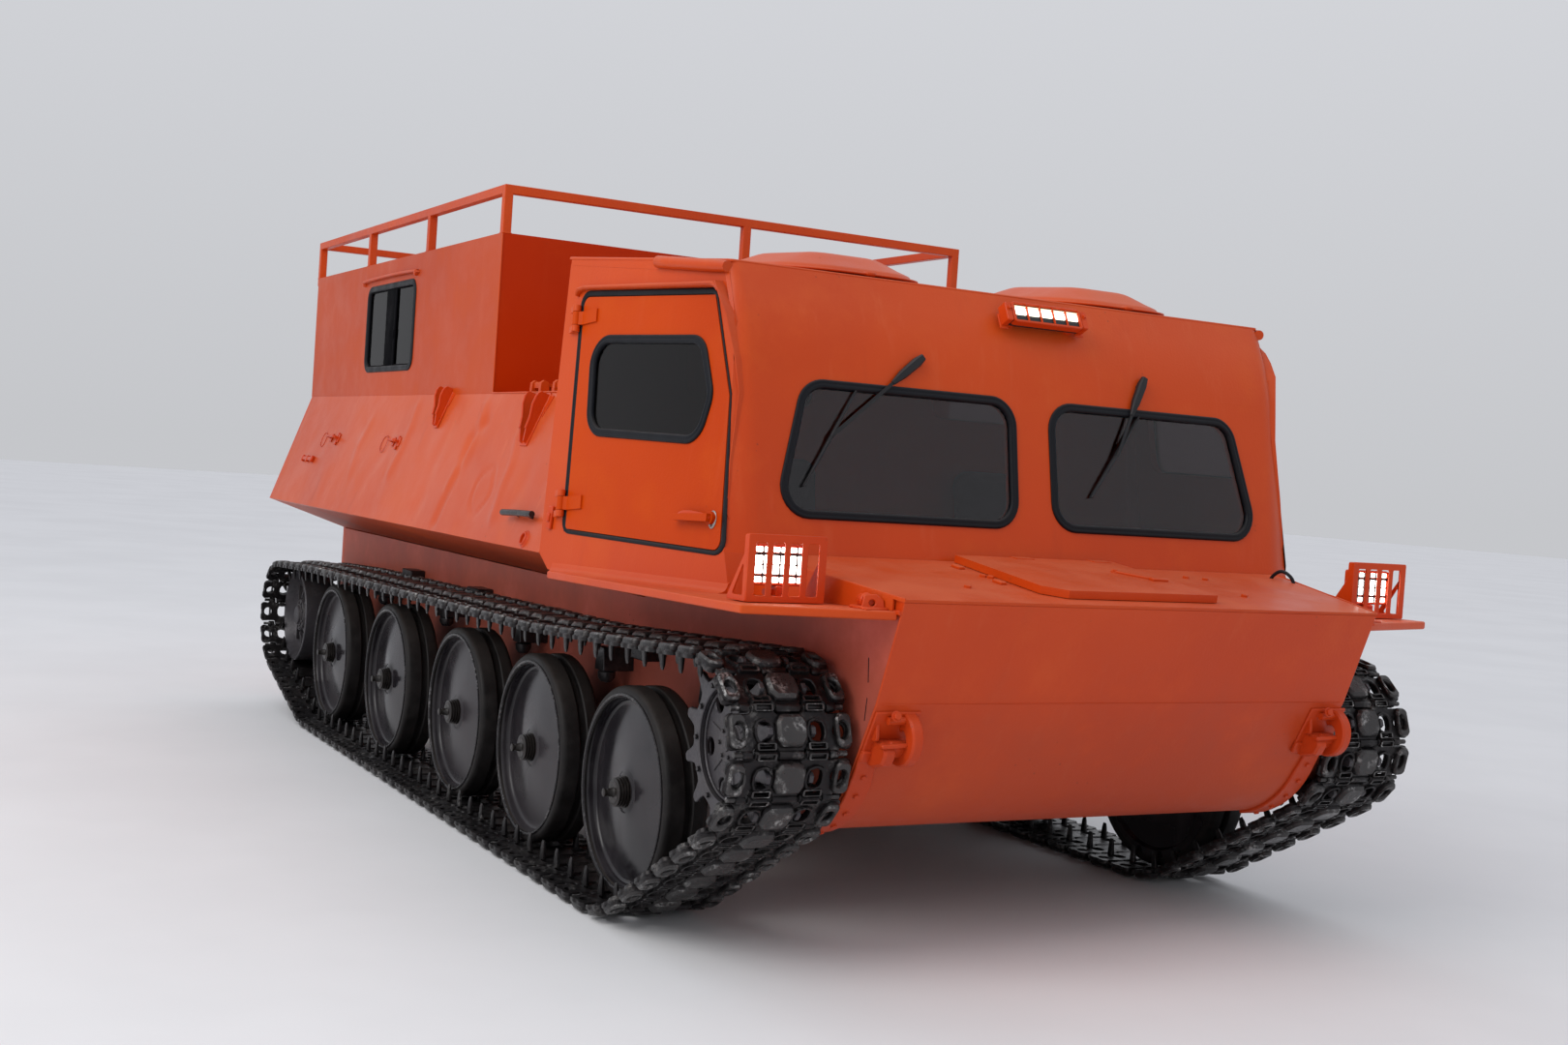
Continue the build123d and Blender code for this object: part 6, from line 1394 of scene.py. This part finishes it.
# reflector plate behind the cells, in the painted glow
mirrors.put(prism([rect(0, 0, 162, 102)], [(0, -5.5), (0, -3.4)]), lat)
for xc in cols6:
    for zc, hh in ((42, 14), (14, 24), (-13, 24), (-41, 15)):
        cells.put(Geo().put(prism([rounded(rect(0, 0, 22, hh), 3, 2)], [(0, -3.5), (0, -1.2), (2.5, 0)])), lat @ move(xc, zc, 0))
for zc, hh in ((29.5, 7), (0.5, 2.5), (-29, 5)):
    grid.put(Geo().put(block(160, hh, 7, 0.6)), lat @ move(0, zc, 0))
for xc in cols6[1:]:
    grid.put(Geo().put(block(2.6, 100, 6, 0.6)), lat @ move(xc - 13.2, 0, 0))
piece("lamp_guard_frames", guard.both(), "hull", PAINT_CAST, ["lamp_guards"])
piece("lamp_bodies", lamps.both(), "hull", PAINT_CAST, ["led_lamps"])
piece("lamp_dividers", grid.both(), "hull", LAMP)
piece("lamp_cells", cells.both(), "hull", LED)
piece("lamp_bowls", mirrors.both(), "hull", PAINTED_GLOW)

# light bar under the front edge of the roof
LBN = Vector((0.9, 0, 0.436)).normalized()
LB = basis((330, 55, 1988), LBN, (0, 1, 0))
lbar, lcell, lorange = Geo(), Geo(), Geo()
lbar.put(prism([rounded(rect(0, 0, 280, 68), 8, 3)], [(3, 4), (0, 8), (0, 38), (2, 40)]), LB)
lorange.put(ring(rounded(rect(0, 0, 264, 58), 4, 2), [(0, 20), (8, 20), (8, 45), (6, 47), (1, 47), (0, 45)]), LB)
bowls = Geo()
for k in range(6):
    lorange.put(Geo().put(block(4, 58, 9, 0.8)), LB @ move(-132 + k * 52.8, 0, 42))
for k in range(5):
    c = LB @ move(-105.6 + k * 52.8, 0, 0)
    lcell.put(Geo().put(prism([rounded(rect(0, 5, 45, 27), 5, 2)], [(0, 39), (0, 42), (2.5, 43.5)])), c)
    bowls.put(Geo().put(prism([rect(0, 0, 48, 56)], [(0, 37), (0, 39.5)])), c)
    bowls.put(Geo().put(block(46, 3, 6, 0.6)), c @ move(0, 22, 41))
for k in (-1, 1):
    lorange.put(prism([rounded(rect(k * 153, 0, 24, 66), 5, 2)], [(2, 2), (0, 4), (0, 42), (2, 45)]), LB)
    lorange.put(Geo().put(block(30, 34, 26, 3)), LB @ move(k * 120, -8, -8))
    lorange.put(Geo().put(hexbolt(7, 6)), LB @ move(k * 153, 12, 45))
    lorange.put(Geo().put(block(34, 52, 6, 1.5)), LB @ move(k * 153, -16, 1))
piece("light_bar_body", lbar, "hull", LAMP)
piece("light_bar_cells", lcell, "hull", LED_BAR)
# reflectors of the light bar, in the painted glow
piece("light_bar_bowls", bowls, "hull", PAINTED_GLOW)
piece("light_bar_brackets", lorange, "hull", PAINT_CAST)

# ====================================================================== WIPERS
wip = Geo()
for head, end in (((375, -457, 1800), (416, -764, 1556)), ((375, 457, 1800), (414, 343, 1568))):
    h, e = Vector(head), Vector(end)
    d = (e - h).normalized()
    hp = h + FRONT_N * 14
    wip.put(lathe([(-16, 0), (-16, 15), (10, 15), (16, 11), (18, 0)], 18), basis(h, FRONT_N))
    wip.put(sweep([hp - d * 38, hp - d * 10, hp + d * 60, hp + d * 110], [(15, -9), (15, 3), (10, 9), (-10, 9), (-15, 3), (-15, -9)], normal=FRONT_N,
                  scale=[0.75, 1.05, 0.95, 0.45]))
    tip = e + FRONT_N * 18
    wip.put(sweep([hp + d * 100, (hp + d * 110) * 0.5 + tip * 0.5, tip], [(5.5, -2), (5.5, 2), (-5.5, 2), (-5.5, -2)], normal=FRONT_N))
    bd = (d * 0.93 + Vector((0, 0.30 if head[1] < 0 else -0.30, -0.1))).normalized()
    bd = (bd - FRONT_N * bd.dot(FRONT_N)).normalized()
    b0, b1 = e - bd * 170 + FRONT_N * 9, e + bd * 190 + FRONT_N * 9
    wip.put(sweep([b0, (b0 + b1) / 2 + FRONT_N * 5, b1], [(4.5, 0), (2, 5), (-2, 5), (-4.5, 0)], normal=FRONT_N, scale=[0.7, 1.2, 0.7]))
    wip.put(sweep([b0 - FRONT_N * 7, b1 - FRONT_N * 7], [(1.2, -6), (2.6, 7), (-2.6, 7), (-1.2, -6)], normal=FRONT_N))
    wip.put(Geo().put(block(20, 12, 12, 2)), basis(e + FRONT_N * 15, FRONT_N, bd))
piece("wipers", wip, "hull", PLASTIC)

# =================================================================== TOW HOOKS
hooks, hplates = Geo(), Geo()
LOWN = Vector((238.0, 0, -123.0)).normalized()     # outward normal of the lower bow plate


def bow_x(z):
    """x of the bow plate's face at height z."""
    if z > 816:
        return 983 + (z - 816) * 110 / 300.0
    return 983 - (816 - z) * 123 / 238.0


# round disc towards the middle for the near hook, outermost for the far one
for side, disc_y, arm_y in ((-1, -772, -838), (1, 868, 800)):
    s = 1 if disc_y > arm_y else -1
    at = basis((950, disc_y, 716), (0, 1, 0), (1, 0, 0))
    hooks.put(prism([circle(0, 0, 80, 40), circle(14, 2, 25, 20)], [(5, -19), (0, -13), (0, 13), (5, 19)]), at)
    hooks.put(lathe([(-24, 0), (-24, 30), (-18, 36), (18, 36), (24, 30), (24, 0)], 24), at @ move(-34, 34, 0))
    # cast body that carries the disc
    body_ = rounded([(-66, 12), (20, 12), (52, 22), (66, 44), (46, 80), (-10, 94), (-66, 80)], [4, 8, 14, 16, 16, 16, 6], 4)
    hooks.put(prism([body_], [(6, -30), (0, -22), (0, 4), (8, 12)]), basis((930, arm_y + s * 10, 724), (0, 1, 0), (1, 0, 0)))
    hooks.put(prism([rounded([(-50, 14), (34, 14), (50, 34), (26, 62), (-50, 60)], 10, 3)], [(4, -30), (0, -26), (0, 26), (4, 30)]),
              basis((938, (arm_y + disc_y) / 2 + s * 6, 726), (0, 1, 0), (1, 0, 0)))
    # thin cheek at the outer side of the mouth
    hooks.put(prism([rounded([(-60, -64), (34, -64), (40, 20), (-60, 20)], 8, 2)], [(1.5, -5), (0, -3.5), (0, 3.5), (1.5, 5)]),
              basis((926, arm_y - s * 28, 730), (0, 1, 0), (1, 0, 0)))
    # latch bar across the mouth
    hooks.put(bar((986, arm_y - s * 30, 700), (992, disc_y - s * 16, 704), 20, 12, 3))
    hooks.put(lathe([(-40, 0), (-40, 11), (40, 11), (40, 0)], 16), basis((978, (arm_y + disc_y) / 2, 770), (0, 1, 0)))
    hooks.put(hexbolt(12, 9), basis((1000, arm_y + s * 6, 786), (1, 0, 0.3)))
    # welded back plate on the bow
    for z0, z1 in ((640, 805),):
        c = Vector((bow_x(722), (disc_y + arm_y) / 2 - s * 4, 722))
        hplates.put(Geo().put(block(168, 150, 10, 3)), basis(c + LOWN * 3, LOWN, (0, 0, 1)))
    hplates.put(Geo().put(block(40, 60, 16, 4)), basis(Vector((bow_x(664), arm_y - s * 18, 664)) + LOWN * 8, LOWN, (0, 0, 1)))
# hitch at the tail
hooks.put(prism([rounded(rect(0, 0, 300, 140), 12, 3)], [(3, 0), (0, 3), (0, 11), (3, 14)]), basis((-4660, 0, 690), (-1, 0, 0), (0, 1, 0)))
for y in (-120, 120):
    for z in (-48, 48):
        hooks.put(hexbolt(12, 9), basis((-4674, y, 690 + z), (-1, 0, 0), (0, 1, 0)))
hooks.put(prism([rounded([(-4668, -72), (-4668, 72), (-4740, 48), (-4750, 46), (-4750, -46), (-4740, -48)], 6, 2)], [(4, 674), (0, 678), (0, 704), (4, 708)]))
eye = circle(-4745, 0, 48, 36)
hooks.put(prism([eye, circle(-4745, 0, 21, 24)], [(6, 672), (0, 678), (0, 702), (6, 708)]))
piece("tow_hook_castings", hooks, "hull", PAINT_CAST, ["tow_hooks"], sharp=28)
piece("tow_hook_plates", hplates, "hull", PAINT_CAST)

# =============================================================== BOW FITTINGS
bowfit = Geo()
# strip along the lower corner of the bow
for side in (-1, 1):
    pts = []
    ctr = (544.0, 741.0)
    for a in range(-76, -27, 6):
        pts.append((ctr[0] + 356 * math.cos(math.radians(a)), ctr[1] + 356 * math.sin(math.radians(a))))
    for z in (600, 640, 676):
        pts.append((bow_x(z), z))
    verts, faces = [], []
    for i, (x, z) in enumerate(pts):
        a = Vector((pts[min(i + 1, len(pts) - 1)][0] - pts[max(i - 1, 0)][0], 0, pts[min(i + 1, len(pts) - 1)][1] - pts[max(i - 1, 0)][1])).normalized()
        n = Vector((a.z, 0, -a.x))
        w = 36 - 10 * max(0.0, (i - len(pts) + 4) / 4)
        for y, h in ((888, -2), (888, 8), (885, 11), (888 - 2 * w, 10), (885 - 2 * w, 7), (885 - 2 * w, -2)):
            p = Vector((x, 0, z)) + n * h
            verts.append((p.x, side * y, p.z))
    for i in range(len(pts) - 1):
        for q in range(6):
            r = (q + 1) % 6
            faces.append((i * 6 + q, i * 6 + r, (i + 1) * 6 + r, (i + 1) * 6 + q))
    faces += [tuple(range(6)), tuple((len(pts) - 1) * 6 + q for q in range(6))]
    bowfit.put(Geo().add(verts, faces))
    for i in range(1, len(pts) - 1, 2):
        a = Vector((pts[i + 1][0] - pts[i - 1][0], 0, pts[i + 1][1] - pts[i - 1][1])).normalized()
        bowfit.put(hexbolt(9, 7), basis(Vector((pts[i][0], side * 852, pts[i][1])) + Vector((a.z, 0, -a.x)) * 9, (a.z, 0, -a.x)))
# towing eye on the deck corner
for side in (-1, 1):
    y = side * 940.0
    bowfit.put(lathe([(-34, 0), (-34, 12), (-30, 18), (-8, 21), (12, 21), (16, 18), (18, 0)], 12), basis((962, y - side * 6, 1101), (1, 0.25 * side, 0.02)))
    bowfit.put(lathe([(0, 0), (0, 12), (26, 12), (26, 0)], 16), basis((974, y - side * 4, 1101), (1, 0.25 * side, 0.02)))
    plate_ = rounded([(-34, 0), (34, 0), (30, 30), (10, 46), (-24, 44)], 7, 3)
    bowfit.put(prism([plate_, circle(-2, 22, 9, 14)], [(2, -5), (0, -3), (0, 3), (2, 5)]), basis((1010, y, 1076), (0.92, 0.3 * side, 0.1), (0, 1, 0)))
    bowfit.put(Geo().put(block(96, 70, 9, 3)), basis((988, y, 1083), (0.0, 0, 1)))
# latch, stops and small lumps on the deck
for side in (-1, 1):
    bowfit.put(prism([[(1020, 1068), (bow_x(1068) - 3, 1068), (bow_x(1110) - 3, 1110), (1020, 1112)]], [(0, 0), (0, 11)]), basis((0, -879.0 if side < 0 else 890.0, 0), (0, -1, 0), (1, 0, 0)))
    bowfit.put(Geo().put(block(70, 24, 12, 2)), move(1042, side * 886, 1078))
seam = Geo().put(bar((bow_x(816) + 0.4, -872, 816), (bow_x(816) + 0.4, 872, 816), 3.5, 2.0, 0.5, up=(0, 0, 1)))
piece("bow_seam", seam, "hull", PAINT_BOW)
piece("bow_fittings", bowfit, "hull", PAINT_CAST)
decklumps = Geo()
for x, y in ((734, -388), (751, -372), (626, 503), (647, 568), (905, 500), (905, -560)):
    decklumps.put(hexbolt(11, 9), basis((x, y, deck_z(x) - 1), DECK_N))
for x in (600, 820):
    decklumps.put(Geo().put(block(46, 24, 12, 3)), basis((x, -388, deck_z(x) + 4), DECK_N))
    decklumps.put(Geo().put(block(46, 24, 12, 3)), basis((x, 316, deck_z(x) + 4), DECK_N))
piece("deck_stops", decklumps, "hull", PAINT_TOP)
latch = Geo()
latch.put(Geo().put(block(150, 20, 9, 2.5)), basis((762, 170, deck_z(762) + 29), DECK_N, (1, 0.72, 0)))
latch.put(Geo().put(block(60, 26, 12, 3)), basis((825, 215, deck_z(825) + 30), DECK_N, (0.1, 1, 0)))
latch.put(hexbolt(10, 8), basis((712, 132, deck_z(712) + 27), DECK_N))
piece("bow_hatch_latch", latch, "bow_lid", PAINT_TOP)
# stiff black loop of conduit beside the far lamp
loopg = Geo()
lp = bezier([(546, 945, 1070), (547, 945, 1130), (556, 949, 1182), (590, 962, 1210), (628, 977, 1186), (640, 982, 1130), (641, 982, 1068)], 5)
piece("lamp_conduit_loop", tube(lp, 6.0, 12).put(lathe([(0, 0), (0, 13), (12, 11), (16, 7), (16, 0)], 16), basis((546, 945, 1068), (0, 0, 1)))
      .put(lathe([(0, 0), (0, 13), (12, 11), (16, 7), (16, 0)], 16), basis((638, 980, 1068), (0, 0, 1))), "hull", SEAL)

# =============================================================== BOX FITTINGS
boxfit = Geo()
# gutters over the side windows, hinge lumps, corner welds
g = Geo()
pts = [(-3702, -1100, 2216), (-3690, -1104, 2228), (-3640, -1106, 2236), (-3240, -1107, 2240), (-2860, -1106, 2236), (-2836, -1103, 2228)]
g.put(sweep(bezier(pts, 4), [(13 * math.cos(math.radians(a)), 9 * math.sin(math.radians(a))) for a in range(0, 360, 36)], normal=(0, 0, 1)))
g.put(lathe([(-2, 0), (-2, 12), (14, 12), (18, 8), (18, 0)], 14), basis((-2842, -1098, 2226), (0, -1, 0)))
boxfit.put(g.both())
piece("box_gutters", boxfit, "hull", PAINT)
# weld beads on the main seams
weld = Geo()


def bead(p0, p1, r=3.2):
    p0, p1 = Vector(p0), Vector(p1)
    n = max(3, int((p1 - p0).length / 34))
    pts = [p0 + (p1 - p0) * (k / n) for k in range(n + 1)]
    return tube(pts, r, 6, scale=[0.8 + 0.35 * ((k * 7919) % 10) / 10.0 for k in range(n + 1)])


for s in (-1, 1):
    weld.put(bead((-1719, s * 1097, 1675), (-1719, s * 1097, 2312)))
    weld.put(bead((cab_rear_x(1670) - 1, s * 1099, 1672), (-1720, s * 1099, 1672)))
    weld.put(bead((484, s * 1038, 1192), (1088, s * 888, 1117)))
    weld.put(bead((-1722, s * 1060, 1672), (-1722, s * -10, 1672)))
for x, y in [(-1738, -1080), (-1738, 0), (-1738, 1080), (-2720, -1080), (-2720, 1080), (-3680, -1080), (-3680, 1080), (-4667, -1080), (-4667, 0), (-4667, 1080)]:
    for dx, dy, ex, ey in ((-18, -18, 18, -18), (18, -18, 18, 18), (18, 18, -18, 18), (-18, 18, -18, -18)):
        weld.put(bead((x + dx, y + dy, 2316), (x + ex, y + ey, 2316), 3.0))
piece("weld_beads", weld, "hull", PAINT, sharp=70)

# ======================================================================= TAIL
# black bars standing in the seam: painted shade in the slits between the bow plate and the hull side
slit_shade = Geo()   # slits between the bow plate and the hull side
for s in (-1, 1):
    for a, b in (((915, 938), (921, 869)), ((921, 826), (915, 761))):
        slit_shade.put(bar((a[0], s * 882.2, a[1]), (b[0], s * 882.2, b[1]), 3.0, 2.4, 0.6, up=(0, 1, 0)))
piece("bow_seam_slit_shade", slit_shade, "hull", SEAL)
knuck, knuck2 = Geo(), Geo()   # barrels on the hinge of the engine lid
for x in (-1425, -1185):
    for k in range(4):
        (knuck if k % 2 else knuck2).put(lathe([(0, 9.2), (0, 17), (5, 24), (27, 24), (32, 17), (32, 9.2)], 18, closed=True),
                                         basis((x - 66 + k * 34, -1008, 1704), (1, 0, 0)))
piece("lid_knuckles_fixed", knuck, "hull", PAINT_CAST)
piece("lid_knuckles_moving", knuck2, "engine_lid", PAINT_CAST)

tail, lens = Geo(), Geo()
for s in (-1, 1):
    tail.put(Geo().put(block(150, 84, 46, 6)), basis((-4672, s * 800, 1360), (-1, 0, 0), (0, 1, 0)))
    lens.put(Geo().put(block(132, 68, 22, 6, seg=3)), basis((-4690, s * 800, 1360), (-1, 0, 0), (0, 1, 0)))
piece("tail_lamp_bodies", tail, "hull", LAMP)
piece("tail_lamp_lenses", lens, "hull", RED_LENS)
REAR = basis((-4660, 0, 0), (-1, 0, 0), (0, 1, 0))
piece("rear_window_rubber", Geo().put(ring(rounded(rect(0, -1840, 520, 380), 45, 6), BEAD), REAR), "back_door", SEAL, sharp=50)

# ==================================================================== INTERIOR
def pad(name, outline_, z0, z1, at, pull=10.0, crown=16.0):
    """A crowned cushion: the outline in local x-y, its middle higher than its rim."""
    q = ccw(rounded(outline_, 55, 6))
    rows_ = [(pull + 10, z0), (pull, z0 + 4), (2, z0 + (z1 - z0) * 0.30), (0, z0 + (z1 - z0) * 0.5), (2, z1 - (z1 - z0) * 0.22), (9, z1 - 8), (20, z1 - 2), (42, z1 + crown * 0.35),
             (80, z1 + crown * 0.7), (130, z1 + crown * 0.95)]
    return prism([q], rows_)


def cushion(name, g, cap, voxel=0.0155, press=4.0):
    """Cushion from a closed form, blown up a little as cloth, then smoothed."""
    ob = piece(name, g, "hull", SEAT, sharp=180)
    m = ob.modifiers.new("remesh", "REMESH")
    m.mode, m.voxel_size = "VOXEL", voxel
    dg = bpy.context.evaluated_depsgraph_get()
    me = bpy.data.meshes.new_from_object(ob.evaluated_get(dg))
    ob.modifiers.clear()
    ob.data = me
    start = np.array([v.co for v in me.vertices])
    c = ob.modifiers.new("cloth", "CLOTH")
    c.settings.use_pressure = True
    c.settings.uniform_pressure_force = press
    c.settings.effector_weights.gravity = 0
    c.settings.quality = 4
    for f in range(1, 21):
        SCENE.frame_set(f)
    dg = bpy.context.evaluated_depsgraph_get()
    me2 = bpy.data.meshes.new_from_object(ob.evaluated_get(dg))
    ob.modifiers.clear()
    ob.data = me2
    now = np.array([v.co for v in me2.vertices])
    if now.shape == start.shape:
        d = now - start
        l = np.linalg.norm(d, axis=1, keepdims=True)
        now = start + d * np.minimum(1.0, cap / np.maximum(l, 1e-9))
        me2.vertices.foreach_set("co", now.ravel())
    SCENE.frame_set(1)
    ob.data.polygons.foreach_set("use_smooth", [True] * len(ob.data.polygons))
    if not ob.data.materials:
        ob.data.materials.append(SEAT)
    s = ob.modifiers.new("soft", "SUBSURF")
    s.levels = s.render_levels = 1
    return ob


first = True
for s in (-1, 1):
    g = Geo().put(pad("", rect(0, 0, 462, 470), 876, 975, None), move(-180, s * 530, 0))
    seat = cushion(f"seat_cushion_{'right' if s < 0 else 'left'}", g, 0.012)
    if first:
        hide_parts("seat_pads")
        first = False
    g = Geo().put(pad("", rect(0, 260, 452, 490), 6, 92, None), basis((-440, s * 530, 990), (0.985, 0, 0.174), (0, 1, 0)))
    cushion(f"seat_back_{'right' if s < 0 else 'left'}", g, 0.012)
for s in (-1, 1):
    g = Geo().put(pad("", rect(0, 0, 2290, 380), 836, 915, None), move(-3150, s * 675, 0))
    cushion(f"bench_cushion_{'right' if s < 0 else 'left'}", g, 0.010, voxel=0.02)

# instruments on the dashboard
dash = Geo()
for y in (420, 500, 580, 660):
    dash.put(lathe([(-4, 0), (-4, 36), (3, 36), (5, 33), (3, 30), (1, 28), (1, 0)], 24), basis((322, y, 1196), (-0.82, 0, 0.57), (0, 1, 0)))
for k in range(7):
    dash.put(lathe([(-2, 0), (-2, 7), (3, 7), (4, 3), (18, 2), (20, 0)], 10), basis((318, 200 - k * 28, 1190), (-0.82, 0, 0.57), (0, 1, 0)))
dash.put(prism([rounded(rect(0, 0, 340, 90), 10, 3)], [(2, 0), (0, 2), (0, 4), (2, 6)]), basis((321, 540, 1194), (-0.82, 0, 0.57), (0, 1, 0)))
piece("dash_gauges", dash, "hull", PLASTIC)

# ============================================================ CAMERA AND LIGHT
YAW, PITCH, ROLL = 2.63720, -0.029143, 0.067771
d = Vector((math.cos(YAW) * math.cos(PITCH), math.sin(YAW) * math.cos(PITCH), math.sin(PITCH)))
r = Vector((math.sin(YAW), -math.cos(YAW), 0))
u = r.cross(d)
r2 = r * math.cos(ROLL) + u * math.sin(ROLL)
u2 = -r * math.sin(ROLL) + u * math.cos(ROLL)
cam = bpy.data.objects.new("camera", bpy.data.cameras.new("camera"))
cam.matrix_world = Matrix(((r2.x, u2.x, -d.x, 6.9139), (r2.y, u2.y, -d.y, -3.4699), (r2.z, u2.z, -d.z, 1.4388), (0, 0, 0, 1)))
cam.data.sensor_fit = "HORIZONTAL"
cam.data.sensor_width = 36.0
cam.data.lens = 40.483
cam.data.clip_end = 400.0
SCENE.collection.objects.link(cam)
SCENE.camera = cam

floor_mat = Mat("floor")
fn = floor_mat.noise(0.6, 4, 0.6)
floor_mat.set(Base_Color=floor_mat.mix(floor_mat.map(fn, 0.3, 0.7), (0.76, 0.76, 0.77), (0.80, 0.80, 0.81)), Roughness=0.9)
fm = bpy.data.meshes.new("floor")
fm.from_pydata([(-60, -60, 0), (60, -60, 0), (60, 60, 0), (-60, 60, 0)], [], [(0, 1, 2, 3)])
fm.materials.append(floor_mat.m)
floor = bpy.data.objects.new("floor", fm)
SCENE.collection.objects.link(floor)

world = bpy.data.worlds.new("studio")
SCENE.world = world
world.use_nodes = True
wt = world.node_tree
wt.nodes.clear()
wo = wt.nodes.new("ShaderNodeOutputWorld")
bg = wt.nodes.new("ShaderNodeBackground")
wc = wt.nodes.new("ShaderNodeTexCoord")
sx = wt.nodes.new("ShaderNodeSeparateXYZ")
mr = wt.nodes.new("ShaderNodeMapRange")
mr.inputs["From Min"].default_value = 0.0
mr.inputs["From Max"].default_value = 0.7
mx = wt.nodes.new("ShaderNodeMix")
mx.data_type = "RGBA"
mx.inputs[6].default_value = (0.70, 0.71, 0.74, 1)
mx.inputs[7].default_value = (0.98, 1.0, 1.06, 1)
wt.links.new(wc.outputs["Generated"], sx.inputs[0])
wt.links.new(sx.outputs[2], mr.inputs["Value"])
wt.links.new(mr.outputs[0], mx.inputs[0])
wt.links.new(mx.outputs[2], bg.inputs[0])
wt.links.new(bg.outputs[0], wo.inputs[0])
bg.inputs[1].default_value = 0.80


def soft(name, at_, to, size, power, color=(1, 1, 1)):
    l = bpy.data.lights.new(name, "AREA")
    l.shape, l.size, l.size_y, l.energy, l.color = "RECTANGLE", size[0], size[1], power, color
    o = bpy.data.objects.new(name, l)
    o.matrix_world = basis(at_, Vector(at_) - Vector(to), (0, 1, 0.01))
    SCENE.collection.objects.link(o)
    return o


soft("key", (3.6, -9.6, 7.5), (-0.3, 0, 1.2), (9, 6), 560, (1.0, 0.98, 0.95))
SCENE.view_settings.view_transform = "Standard"
SCENE.view_settings.look = "None"
